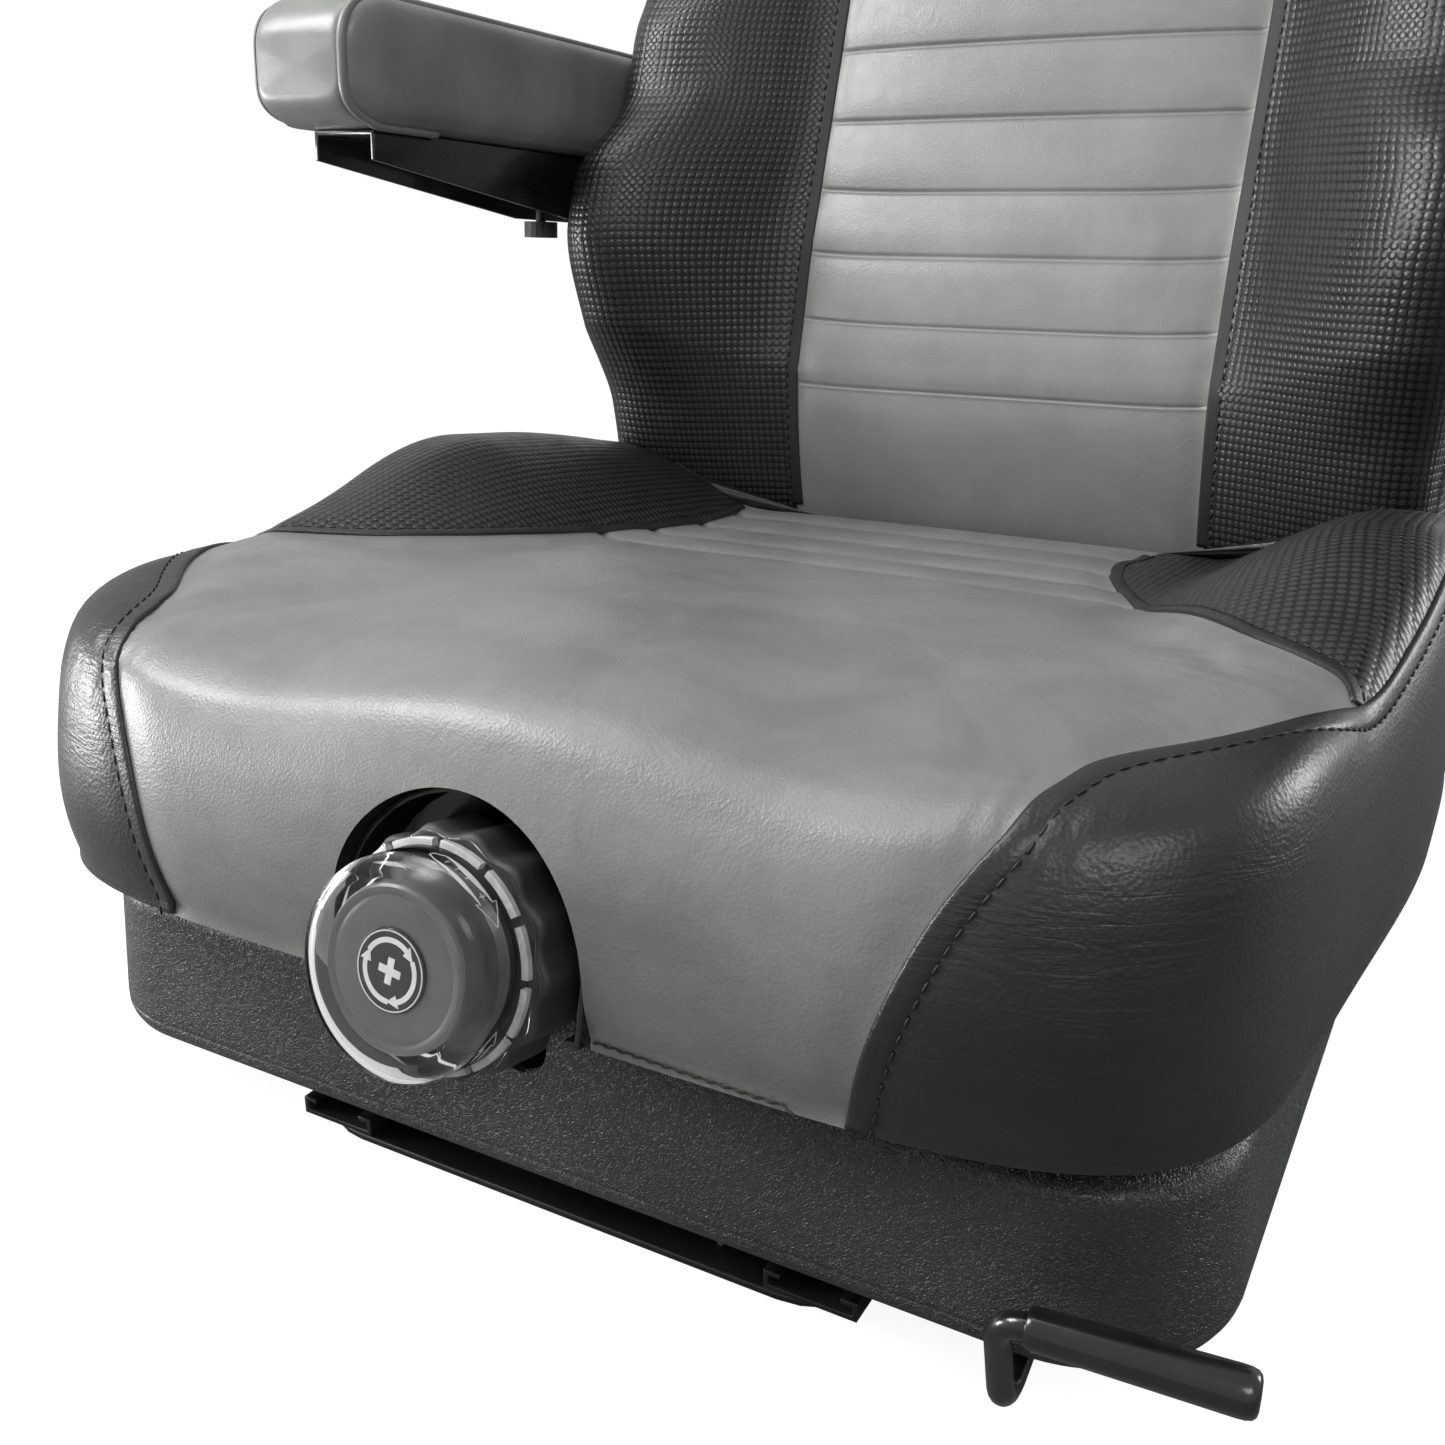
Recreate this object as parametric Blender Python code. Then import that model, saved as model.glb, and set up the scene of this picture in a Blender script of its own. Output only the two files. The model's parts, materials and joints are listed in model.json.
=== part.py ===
# Tractor suspension seat.
# Metres, +Z up. The seat faces -Y, the occupant's left side is +X, and the origin is the middle
# of the base plate's underside.

import math

import bmesh
import bpy
from mathutils import Matrix, Vector

# Clearances between neighbouring pieces
GAP = 0.0003
RUNNING_GAP = 0.0006

# Base plate and slide rails
BASE_HALF_WIDTH = 0.126
BASE_FRONT = -0.190
BASE_REAR = 0.186
BASE_THICKNESS = 0.003
BASE_CORNER = 0.030
BOLT_HOLE_RADIUS = 0.0055
BOLT_HALF_SPACING_X = 0.078
BOLT_FRONT_Y = -0.150
BOLT_REAR_Y = 0.160
RAIL_SPACING = 0.216
RAIL_HALF_WIDTH = 0.018
RAIL_FRONT = -0.190
RAIL_REAR = 0.180
RAIL_WALL = 0.002
RAIL_LIP = 0.0065
RAIL_INNER_HEIGHT = 0.0037
SLIDER_STEM_HALF_WIDTH = 0.009
SLIDER_FOOT_HALF_WIDTH = 0.0145
SLIDER_HEIGHT = 0.0135
SLIDER_FRONT = -0.175
SLIDER_REAR = 0.155

# Fore and aft lock
SLIDE_TRAVEL = 0.060
LOCK_PITCH = 0.010
LOCK_STRIP_X = 0.060
LOCK_STRIP_WIDTH = 0.014
LOCK_STRIP_HEIGHT = 0.010
LOCK_STRIP_THICKNESS = 0.002
LOCK_NOTCH = 0.0065
LATCH_Y = -0.108
LATCH_THICKNESS = 0.005
LATCH_FINGER_DEPTH = 0.0035
LATCH_FINGER_HALF_WIDTH = 0.002
LATCH_FINGER_REACH = 0.005
LATCH_WINDOW_MARGIN = 0.012
LEVER_LUG_OFFSET = 0.024
LEVER_PIVOT_Y = -0.164
LEVER_PIVOT_Z = 0.031
LEVER_ROD_RADIUS = 0.00425
LEVER_EXIT_X = 0.184
LEVER_KNEE_Y = -0.2115
LEVER_KNEE_Z = 0.0135
LEVER_TOP_Y = -0.2235
LEVER_TOP_Z = 0.0565
LEVER_END_X = 0.2565
GRIP_LENGTH = 0.0615
GRIP_RADIUS = 0.0072
GRIP_WALL = 0.0025

# Scissor suspension
ARM_LENGTH = 0.280
SUSPENSION_HEIGHT = 0.0923
REAR_PIVOT_Y = 0.135
FRAME_HALF_WIDTH = 0.150
FRAME_FRONT = -0.180
FRAME_REAR = 0.168
FRAME_SHEET = 0.0025
FRAME_LIP = 0.020
ROLLER_RADIUS = 0.012
ROLLER_WIDTH = 0.013
ROLLER_GUIDE_GAP = 0.0015
ARM_THICKNESS = 0.005
ARM_HALF_DEPTH = 0.011
OUTER_ARM_X = 0.1215
INNER_ARM_X = 0.1130
PIVOT_RADIUS = 0.006
TIE_TUBE_RADIUS = 0.006
LUG_THICKNESS = 0.004
LUG_HALF_DEPTH = 0.010
LUG_PIN_PROUD = 0.006
INNER_TIE_SHARE = 0.93
OUTER_TIE_SHARE = 0.12

# Lower cover
COVER_HALF_WIDTH = 0.243
COVER_FRONT = -0.209
COVER_REAR = 0.200
COVER_CORNER = 0.058
COVER_BOTTOM = 0.027
COVER_TOP = 0.095
COVER_WALL = 0.003
COVER_TAPER = 0.004
COVER_SHOULDER = 0.018
COVER_FOOT_HEIGHT = 0.006
COVER_NOTCH_HALF_WIDTH = 0.014
COVER_NOTCH_BOTTOM = 0.071
BRACKET_HALF_WIDTH = 0.030
BRACKET_RISE = 0.022

# Seat cushion
PAN_SHEET = 0.0015
PAN_INSET = 0.014
CUSHION_FRONT = -0.238
CUSHION_REAR = 0.262
CUSHION_HALF_WIDTH_FRONT = 0.251
CUSHION_HALF_WIDTH_REAR = 0.266
CUSHION_SQUARENESS = 6.0
POCKET_SQUARENESS = 7.0
CUSHION_LIP_HEIGHT = 0.110
CUSHION_SKIRT = 0.008
CREST_HEIGHT = 0.215
SEAT_DIP = 0.034
BOLSTER_HEIGHT = 0.047
BOLSTER_INNER = 0.130
BOLSTER_OUTER = 0.228
BOLSTER_START_Y = -0.105
BOLSTER_FULL_Y = 0.075
THIGH_WAVE = 0.005
EDGE_RISE = 0.008
BOLSTER_FALL = 0.25

# Weight knob
KNOB_Y = -0.2256
KNOB_Z = 0.1317
KNOB_TILT = math.radians(12)
WHEEL_RADIUS = 0.042
WHEEL_LOBES = 14
WHEEL_LOBE_DEPTH = 0.0015
WHEEL_BACK = -0.008
WHEEL_FRONT = 0.0175
CAP_RADIUS = 0.036
CAP_FLANGE_RADIUS = 0.0385
CAP_FLANGE_THICKNESS = 0.003
CAP_WALL = 0.0015
CAP_FRONT = 0.0435
DIAL_RADIUS = 0.0275
EMBLEM_RADIUS = 0.012
EMBLEM_THICKNESS = 0.0012
SPINDLE_RADIUS = 0.005
SPINDLE_LENGTH = 0.135
BEZEL_RADIUS = 0.050
BEZEL_RISE = 0.003
BEZEL_LEG = 0.021
BEZEL_WALL = 0.002
BEZEL_DEPTH = 0.021
BEZEL_FLOOR_GAP = 0.002
BEZEL_MOUTH = 0.0445

# Weight springs, tension block and damper
BLOCK_HALF_LENGTH = 0.062
BLOCK_HALF_HEIGHT = 0.0075
BLOCK_HALF_DEPTH = 0.008
BLOCK_DISTANCE = 0.100
SPRING_X = 0.045
SPRING_Z = 0.104
SPRING_RADIUS = 0.0105
SPRING_WIRE = 0.0019
SPRING_COILS = 9
SPRING_END_Y = 0.095
SPRING_BAR_RADIUS = 0.005
DAMPER_LOWER_Y = -0.045
DAMPER_LOWER_Z = 0.036
DAMPER_UPPER_Y = 0.062
DAMPER_UPPER_Z = 0.105
DAMPER_X = -0.082
DAMPER_RADIUS = 0.013
DAMPER_ROD_RADIUS = 0.0045
DAMPER_BODY_LENGTH = 0.090
DAMPER_EYE_RADIUS = 0.010
DAMPER_PIN_RADIUS = 0.004
DAMPER_PIN_PLAY = 0.003
DAMPER_NECK_GAP = 0.0015
DAMPER_ROD_START = 0.060
DAMPER_BORE_BOTTOM = 0.034

# Backrest
RECLINE_Y = 0.300
RECLINE_Z = 0.157
RECLINE_PIN_RADIUS = 0.006
BRACKET_X = 0.188
BRACKET_THICKNESS = 0.005
BRACKET_SLOT_GAP = 0.0015
BRACKET_EYE_RADIUS = 0.020
LEG_DEPTH = 0.034
LEG_TOP_Z = 0.420
LEG_HEEL_Z = 0.235
LEG_KNEE_Z = 0.207
BRACKET_FOOT_FRONT = 0.208
BRACKET_FOOT_DROP = 0.018
BACK_LEAN = math.radians(15)
BACK_REAR_Y = 0.337
BACK_REAR_Z = 0.185
BACK_TOP = 0.650
BACK_BOTTOM_GAP = 0.003
BACK_TUCK = 0.014
BACK_LOW_Z = 0.200
BACK_FULL_Z = 0.320
BACK_WAIST_Z = 0.350
BACK_SHOULDER_Z = 0.445
BACK_CROWN = 0.060
BACK_SLOT_TOP = 0.212
BACK_HALF_WIDTH = 0.2435
LUMBAR_Y = 0.245
LUMBAR_Z = 0.255
LUMBAR_DEPTH = 0.0085
LUMBAR_LEAN = math.radians(17.1)
WING_START = 0.118
WING_PEAK = 0.222
WING_FORWARD = 0.086
PAN_HALF_WIDTH = 0.182
BACK_PAN_BOTTOM = 0.220
BACK_PAN_TOP = 0.605
BACK_PAN_SHEET = 0.002
PANEL_HALF_WIDTH = 0.176
PANEL_BOTTOM = 0.245
PANEL_TOP = 0.595
PANEL_DEPTH = 0.042
PANEL_WALL = 0.003
RECLINE_HANDLE_REACH = 0.290
RECLINE_HANDLE_RADIUS = 0.006
RECLINE_GRIP_RADIUS = 0.009
RECLINE_GRIP_LENGTH = 0.075

# Armrests
ARM_PIVOT_Y = 0.410
ARM_PIVOT_Z = 0.400
ARM_TUBE_RADIUS = 0.011
ARMREST_SLOPE = math.radians(3)
ARMREST_INNER_X = 0.245
ARMREST_WIDTH = 0.078
ARMREST_PAD_REAR = 0.095
ARMREST_PAD_FRONT = 0.391
ARMREST_PAD_BOTTOM = -0.0227
ARMREST_PAD_TOP = 0.0405
ARMREST_PAD_ROUND = 0.014
CHANNEL_INNER_X = 0.258
CHANNEL_WIDTH = 0.040
CHANNEL_SHEET = 0.0025
CHANNEL_FRONT = 0.366
CHANNEL_FRONT_DROP = 0.0145
CHANNEL_REAR_DROP = 0.0355
CHANNEL_EYE_RADIUS = 0.018
ADJUSTER_DISTANCE = 0.198
ADJUSTER_RADIUS = 0.010
ADJUSTER_THICKNESS = 0.009
ADJUSTER_STEM_RADIUS = 0.003
TUBE_CAP_THICKNESS = 0.004

# Heights and places that follow from the sizes above
RAIL_FLOOR = BASE_THICKNESS + GAP
RAIL_INNER_FLOOR = RAIL_FLOOR + RAIL_WALL
SLIDER_FLOOR = RAIL_INNER_FLOOR + GAP
FRAME_FLOOR = SLIDER_FLOOR + SLIDER_HEIGHT + GAP
LOWER_PIVOT_Z = FRAME_FLOOR + FRAME_SHEET + GAP + ROLLER_RADIUS
UPPER_PIVOT_Z = LOWER_PIVOT_Z + SUSPENSION_HEIGHT
FRAME_CEILING = UPPER_PIVOT_Z + ROLLER_RADIUS + GAP + FRAME_SHEET
PAN_FLOOR = FRAME_CEILING + GAP
POCKET_CEILING = PAN_FLOOR + PAN_SHEET + GAP
ARM_ANGLE = math.asin(SUSPENSION_HEIGHT / ARM_LENGTH)
FRONT_PIVOT_Y = REAR_PIVOT_Y - ARM_LENGTH * math.cos(ARM_ANGLE)
LOCK_STRIP_TOP = BASE_THICKNESS + GAP + LOCK_STRIP_HEIGHT

KNOB_AXIS = Vector((0, -math.cos(KNOB_TILT), math.sin(KNOB_TILT)))
KNOB_UP = Vector((0, math.sin(KNOB_TILT), math.cos(KNOB_TILT)))
KNOB_CENTRE = Vector((0, KNOB_Y, KNOB_Z))
SIDES = {"left": 1, "right": -1}


def clear_scene():
    for item in list(bpy.data.objects):
        bpy.data.objects.remove(item, do_unlink=True)


def make_material(name, colour, roughness, metallic=0.0):
    material = bpy.data.materials.new(name)
    material.use_nodes = True
    shader = material.node_tree.nodes["Principled BSDF"]
    shader.inputs["Base Color"].default_value = (*colour, 1.0)
    shader.inputs["Roughness"].default_value = roughness
    shader.inputs["Metallic"].default_value = metallic
    return material


def link_mesh(name, bm, material, smooth=True):
    """Turn the bmesh into a named object with one material and outward faces."""
    bmesh.ops.recalc_face_normals(bm, faces=bm.faces)
    mesh = bpy.data.meshes.new(name)
    bm.to_mesh(mesh)
    bm.free()
    mesh.materials.append(material)
    if smooth:
        mesh.shade_smooth()
        mesh.set_sharp_from_angle(angle=math.radians(35))
    item = bpy.data.objects.new(name, mesh)
    bpy.context.collection.objects.link(item)
    return item


def make_prism(name, outline, place, depth, material):
    """Extrude a flat outline. place turns an outline point and a depth into a point in space."""
    bm = bmesh.new()
    near = [bm.verts.new(place(u, v, depth[0])) for u, v in outline]
    far = [bm.verts.new(place(u, v, depth[1])) for u, v in outline]
    bm.faces.new(near)
    bm.faces.new(far)
    for i in range(len(outline)):
        j = (i + 1) % len(outline)
        bm.faces.new((near[i], near[j], far[j], far[i]))
    return link_mesh(name, bm, material, smooth=False)


def on_side(u, v, depth):
    """Outline in Y and Z, extruded along X."""
    return (depth, u, v)


def on_front(u, v, depth):
    """Outline in X and Z, extruded along Y."""
    return (u, depth, v)


def on_plan(u, v, depth):
    """Outline in X and Y, extruded along Z."""
    return (u, v, depth)


def on_knob(u, v, depth):
    """Outline across the knob's axis, extruded along it."""
    return KNOB_CENTRE + Vector((u, 0, 0)) + KNOB_UP * v + KNOB_AXIS * depth


def make_box(name, low, high, material):
    outline = [(low[0], low[1]), (high[0], low[1]), (high[0], high[1]), (low[0], high[1])]
    return make_prism(name, outline, on_plan, (low[2], high[2]), material)


def make_loft(name, rings, material, closed_tube=False):
    """Join rings of equal point count into one body, capped at both ends or closed on itself."""
    bm = bmesh.new()
    rows = [[bm.verts.new(point) for point in ring] for ring in rings]
    pairs = list(zip(rows, rows[1:]))
    if closed_tube:
        pairs.append((rows[-1], rows[0]))
    count = len(rows[0])
    for lower, upper in pairs:
        for i in range(count):
            j = (i + 1) % count
            bm.faces.new((lower[i], lower[j], upper[j], upper[i]))
    if not closed_tube:
        for row in (rows[0], rows[-1]):
            middle = bm.verts.new(sum((vert.co for vert in row), Vector()) / count)
            for i in range(count):
                bm.faces.new((row[i], row[(i + 1) % count], middle))
    return link_mesh(name, bm, material)


def make_turned(name, profile, origin, axis, material, sides=24):
    """Turn (radius, distance along the axis) points round the axis. Radius 0 closes an end."""
    turn = Vector(axis).to_track_quat("Z", "X").to_matrix()
    bm = bmesh.new()
    rows = []
    for radius, along in profile:
        steps = sides if radius > 0 else 1
        row = []
        for i in range(steps):
            angle = 2 * math.pi * i / sides
            local = Vector((radius * math.cos(angle), radius * math.sin(angle), along))
            row.append(bm.verts.new(Vector(origin) + turn @ local))
        rows.append(row)
    closed = profile[0][0] > 0
    pairs = list(zip(rows, rows[1:]))
    if closed:
        pairs.append((rows[-1], rows[0]))
    for lower, upper in pairs:
        for i in range(sides):
            j = (i + 1) % sides
            corners = [lower[i % len(lower)], lower[j % len(lower)]]
            corners += [upper[j % len(upper)], upper[i % len(upper)]]
            unique = list(dict.fromkeys(corners))
            bm.faces.new(unique)
    return link_mesh(name, bm, material)


def make_rod(name, start, end, radius, material, sides=16):
    start = Vector(start)
    axis = Vector(end) - start
    length = axis.length
    profile = [(0, 0), (radius, 0), (radius, length), (0, length)]
    return make_turned(name, profile, start, axis, material, sides)


def make_bent_rod(name, points, radius, material, sides=10):
    """Sweep a round section along a list of points, with mitred bends and flat ends."""
    points = [Vector(point) for point in points]
    rings = []
    side = None
    for i, point in enumerate(points):
        before = points[max(i - 1, 0)]
        after = points[min(i + 1, len(points) - 1)]
        forward = (after - before).normalized()
        if side is None:
            side = forward.orthogonal().normalized()
        side = (side - forward * side.dot(forward)).normalized()
        other = forward.cross(side)
        ring = []
        for k in range(sides):
            angle = 2 * math.pi * k / sides
            ring.append(point + (side * math.cos(angle) + other * math.sin(angle)) * radius)
        rings.append(ring)
    return make_loft(name, rings, material)


def round_corner(before, corner, after, radius, steps=4):
    """Points of a smooth bend that replaces a corner of a bent rod."""
    corner = Vector(corner)
    start = corner + (Vector(before) - corner).normalized() * radius
    end = corner + (Vector(after) - corner).normalized() * radius
    points = []
    for i in range(steps + 1):
        t = i / steps
        points.append(start * (1 - t) ** 2 + corner * 2 * t * (1 - t) + end * t ** 2)
    return points


def bend_path(corners, radius):
    path = [Vector(corners[0])]
    for before, corner, after in zip(corners, corners[1:], corners[2:]):
        path += round_corner(before, corner, after, radius)
    path.append(Vector(corners[-1]))
    return path


def hide_cutter(item):
    item.hide_render = True
    item.display_type = "WIRE"


def apply_boolean(target, tool, operation):
    modifier = target.modifiers.new(operation.title(), "BOOLEAN")
    modifier.operation = operation
    modifier.solver = "EXACT"
    modifier.object = tool
    hide_cutter(tool)


def cut(target, tool):
    apply_boolean(target, tool, "DIFFERENCE")


def join(target, tool):
    apply_boolean(target, tool, "UNION")


def bore(target, start, end, radius, sides=16):
    """Cut a round hole whose flats clear a pin of the given radius by the gap."""
    clear_radius = (radius + GAP) / math.cos(math.pi / sides)
    name = f"bore_in_{target.name}_{len(target.modifiers)}"
    cut(target, make_rod(name, start, end, clear_radius, target.data.materials[0], sides))


def soften(item, width, segments=2, angle=40):
    modifier = item.modifiers.new("Bevel", "BEVEL")
    modifier.width = width
    modifier.segments = segments
    modifier.limit_method = "ANGLE"
    modifier.angle_limit = math.radians(angle)


def make_pivot(name, place):
    empty = bpy.data.objects.new(name, None)
    empty.empty_display_size = 0.03
    empty.location = place
    bpy.context.collection.objects.link(empty)
    return empty


def hang(items, pivot):
    """Parent the pieces to the empty on their joint's axis and leave them where they are."""
    for item in items:
        item.parent = pivot
        item.matrix_parent_inverse = Matrix.Translation(pivot.location).inverted()


def smooth_step(value, start, end):
    t = min(max((value - start) / (end - start), 0.0), 1.0)
    return t * t * (3 - 2 * t)


def arc_points(centre, radius, start, end, steps):
    """Points on an arc, in degrees, as (u, v) pairs."""
    points = []
    for i in range(steps + 1):
        angle = math.radians(start + (end - start) * i / steps)
        points.append((centre[0] + radius * math.cos(angle), centre[1] + radius * math.sin(angle)))
    return points


# Base plate, lower rails and lock strip

def make_base(paint, steel):
    centre_x = BASE_HALF_WIDTH - BASE_CORNER
    centre_y = BASE_FRONT + BASE_CORNER
    outline = [(BASE_HALF_WIDTH, BASE_REAR), (-BASE_HALF_WIDTH, BASE_REAR)]
    outline += arc_points((-centre_x, centre_y), BASE_CORNER, 180, 270, 6)
    outline += arc_points((centre_x, centre_y), BASE_CORNER, 270, 360, 6)
    plate = make_prism("base_plate", outline, on_plan, (0, BASE_THICKNESS), paint)
    for x in (-BOLT_HALF_SPACING_X, BOLT_HALF_SPACING_X):
        for y in (BOLT_FRONT_Y, BOLT_REAR_Y):
            bore(plate, (x, y, -BASE_THICKNESS), (x, y, 2 * BASE_THICKNESS), BOLT_HOLE_RADIUS - GAP)
    for side, sign in SIDES.items():
        make_lower_rail(f"lower_rail_{side}", sign * RAIL_SPACING / 2, steel)
    make_lock_strip(steel)


def make_lower_rail(name, centre, material):
    wide = RAIL_HALF_WIDTH
    inside = RAIL_HALF_WIDTH - RAIL_WALL
    mouth = RAIL_HALF_WIDTH - RAIL_LIP
    lip_under = RAIL_INNER_FLOOR + RAIL_INNER_HEIGHT
    lip_top = lip_under + RAIL_WALL
    half = [(0, RAIL_FLOOR), (wide, RAIL_FLOOR), (wide, lip_top), (mouth, lip_top)]
    half += [(mouth, lip_under), (inside, lip_under), (inside, RAIL_INNER_FLOOR), (0, RAIL_INNER_FLOOR)]
    outline = [(centre + x, z) for x, z in half[1:-1]]
    outline += [(centre - x, z) for x, z in reversed(half[1:-1])]
    make_prism(name, outline, on_front, (RAIL_FRONT, RAIL_REAR), material)


def make_lock_strip(material):
    """A raised strip with notches along its inner edge, standing on the base plate."""
    inner = LOCK_STRIP_X - LOCK_STRIP_WIDTH / 2
    outer = LOCK_STRIP_X + LOCK_STRIP_WIDTH / 2
    reach = SLIDE_TRAVEL + LOCK_PITCH
    low_y = LATCH_Y - reach
    high_y = LATCH_Y + reach
    foot = BASE_THICKNESS + GAP
    under = LOCK_STRIP_TOP - LOCK_STRIP_THICKNESS
    web = outer - LOCK_STRIP_THICKNESS
    outline = [(web, foot), (outer, foot), (outer, LOCK_STRIP_TOP), (inner, LOCK_STRIP_TOP)]
    outline += [(inner, under), (web, under)]
    strip = make_prism("lock_strip", outline, on_front, (low_y, high_y), material)
    count = round(SLIDE_TRAVEL / LOCK_PITCH)
    notch_end = inner + LOCK_NOTCH
    for i in range(-count, count + 1):
        y = LATCH_Y + i * LOCK_PITCH
        low = (inner - LOCK_NOTCH, y - LOCK_NOTCH / 2, under - GAP)
        high = (notch_end, y + LOCK_NOTCH / 2, LOCK_STRIP_TOP + GAP)
        cut(strip, make_box(f"lock_notch_{i + count}", low, high, material))


# Sliding carriage with the lower frame and the cover

def make_carriage(paint, steel, plastic):
    for side, sign in SIDES.items():
        make_upper_rail(f"upper_rail_{side}", sign * RAIL_SPACING / 2, steel)
    frame = make_frame_channel("lower_frame", FRAME_FLOOR, 1, paint)
    margin = LATCH_WINDOW_MARGIN
    window_low = (LOCK_STRIP_X - 2 * margin, LEVER_PIVOT_Y - margin, FRAME_FLOOR - FRAME_SHEET)
    window_high = (LOCK_STRIP_X + margin, LATCH_Y + margin, FRAME_FLOOR + 2 * FRAME_SHEET)
    cut(frame, make_box("latch_window", window_low, window_high, paint))
    for i, x in enumerate(lever_lug_places()):
        join(frame, make_lug(f"lever_lug_{i}", x, LEVER_PIVOT_Y, LEVER_PIVOT_Z, paint))
    for i, x in enumerate(damper_lug_places()):
        join(frame, make_lug(f"damper_lug_{i}", x, DAMPER_LOWER_Y, DAMPER_LOWER_Z, paint))
    across = FRAME_HALF_WIDTH + FRAME_SHEET
    bore(frame, (-across, REAR_PIVOT_Y, LOWER_PIVOT_Z), (across, REAR_PIVOT_Y, LOWER_PIVOT_Z), PIVOT_RADIUS)
    lever_places = lever_lug_places()
    lever_start = (lever_places[0] - FRAME_LIP, LEVER_PIVOT_Y, LEVER_PIVOT_Z)
    lever_end = (FRAME_HALF_WIDTH + FRAME_LIP, LEVER_PIVOT_Y, LEVER_PIVOT_Z)
    bore(frame, lever_start, lever_end, LEVER_ROD_RADIUS)
    join(frame, make_damper_pin("damper_lower_pin", DAMPER_LOWER_Y, DAMPER_LOWER_Z, paint))
    shaft_end = FRAME_HALF_WIDTH + LUG_PIN_PROUD
    make_rod("rear_lower_shaft", (-shaft_end, REAR_PIVOT_Y, LOWER_PIVOT_Z),
             (shaft_end, REAR_PIVOT_Y, LOWER_PIVOT_Z), PIVOT_RADIUS, steel)
    make_cover(plastic)
    for side, sign in SIDES.items():
        make_cover_bracket(f"cover_bracket_{side}", sign, paint)


def lever_lug_places():
    return (LOCK_STRIP_X + LEVER_LUG_OFFSET, FRAME_HALF_WIDTH - LEVER_LUG_OFFSET)


def damper_lug_places():
    apart = DAMPER_EYE_RADIUS / 2 + LUG_THICKNESS / 2 + RUNNING_GAP
    return (DAMPER_X + apart, DAMPER_X - apart)


def make_damper_pin(name, y, z, material):
    """The pin riveted across a pair of damper lugs."""
    places = damper_lug_places()
    start = (places[1] - LUG_PIN_PROUD, y, z)
    end = (places[0] + LUG_PIN_PROUD, y, z)
    return make_rod(name, start, end, DAMPER_PIN_RADIUS, material)


def make_lug(name, x, y, z, material):
    """A rounded upright lug on the lower frame's floor."""
    foot = FRAME_FLOOR + FRAME_SHEET / 2
    outline = [(y - LUG_HALF_DEPTH, foot), (y + LUG_HALF_DEPTH, foot)]
    outline += arc_points((y, z), LUG_HALF_DEPTH, 0, 180, 8)
    half = LUG_THICKNESS / 2
    return make_prism(name, outline, on_side, (x - half, x + half), material)


def make_upper_rail(name, centre, material):
    stem = SLIDER_STEM_HALF_WIDTH
    inside = stem - RAIL_WALL
    foot = SLIDER_FOOT_HALF_WIDTH
    top = SLIDER_FLOOR + SLIDER_HEIGHT
    foot_top = SLIDER_FLOOR + RAIL_WALL
    half = [(foot, SLIDER_FLOOR), (foot, foot_top), (stem, foot_top), (stem, top)]
    inner = [(inside, top - RAIL_WALL), (inside, SLIDER_FLOOR)]
    outline = [(centre + x, z) for x, z in half]
    outline += [(centre - x, z) for x, z in reversed(half)]
    outline += [(centre - x, z) for x, z in reversed(inner)]
    outline += [(centre + x, z) for x, z in inner]
    make_prism(name, outline, on_front, (SLIDER_FRONT, SLIDER_REAR), material)


def make_frame_channel(name, floor, up, material):
    """A pressed tray with C-shaped roller tracks down both sides. up is 1 or -1."""
    wide = FRAME_HALF_WIDTH
    web = FRAME_HALF_WIDTH - FRAME_SHEET
    lip_edge = FRAME_HALF_WIDTH - FRAME_LIP
    track = FRAME_SHEET + 2 * ROLLER_RADIUS + 2 * GAP
    half = [(wide, 0), (wide, track + FRAME_SHEET), (lip_edge, track + FRAME_SHEET)]
    half += [(lip_edge, track), (web, track), (web, FRAME_SHEET)]
    outline = [(x, floor + up * z) for x, z in half]
    outline += [(-x, floor + up * z) for x, z in reversed(half)]
    return make_prism(name, outline, on_front, (FRAME_FRONT, FRAME_REAR), material)


def cover_ring(inset, z, steps=6):
    """A rounded rectangle in plan, set in from the cover's outer edge."""
    wide = COVER_HALF_WIDTH - inset
    front = COVER_FRONT + inset
    rear = COVER_REAR - inset
    radius = max(COVER_CORNER - inset, COVER_WALL)
    corners = [(wide - radius, rear - radius, 0), (radius - wide, rear - radius, 90)]
    corners += [(radius - wide, front + radius, 180), (wide - radius, front + radius, 270)]
    ring = []
    for x, y, start in corners:
        ring += [(u, v, z) for u, v in arc_points((x, y), radius, start, start + 90, steps)]
    return ring


def make_cover(material):
    """The moulded cover: a tapered ring wall with a rounded shoulder round its top opening."""
    shoulder_start = COVER_TOP - COVER_SHOULDER * 0.55
    outer = [(0, COVER_BOTTOM), (COVER_TAPER, shoulder_start)]
    for i in range(1, 4):
        angle = math.radians(30 * i)
        inset = COVER_TAPER + COVER_SHOULDER * (1 - math.cos(angle))
        outer.append((inset, shoulder_start + COVER_SHOULDER * 0.55 * math.sin(angle)))
    inner = []
    for inset, z in reversed(outer):
        drop = COVER_WALL * smooth_step(z, COVER_BOTTOM, shoulder_start)
        side = COVER_WALL if z < COVER_TOP - COVER_WALL / 4 else 0
        inner.append((inset + side, z - drop))
    rings = [cover_ring(inset, z) for inset, z in outer + inner]
    cover = make_loft("lower_cover", rings, material, closed_tube=True)
    low = (-COVER_NOTCH_HALF_WIDTH, COVER_FRONT - COVER_WALL, COVER_NOTCH_BOTTOM)
    high = (COVER_NOTCH_HALF_WIDTH, COVER_FRONT + 2 * COVER_SHOULDER, COVER_TOP + COVER_WALL)
    cut(cover, make_box("cover_notch", low, high, material))


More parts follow.
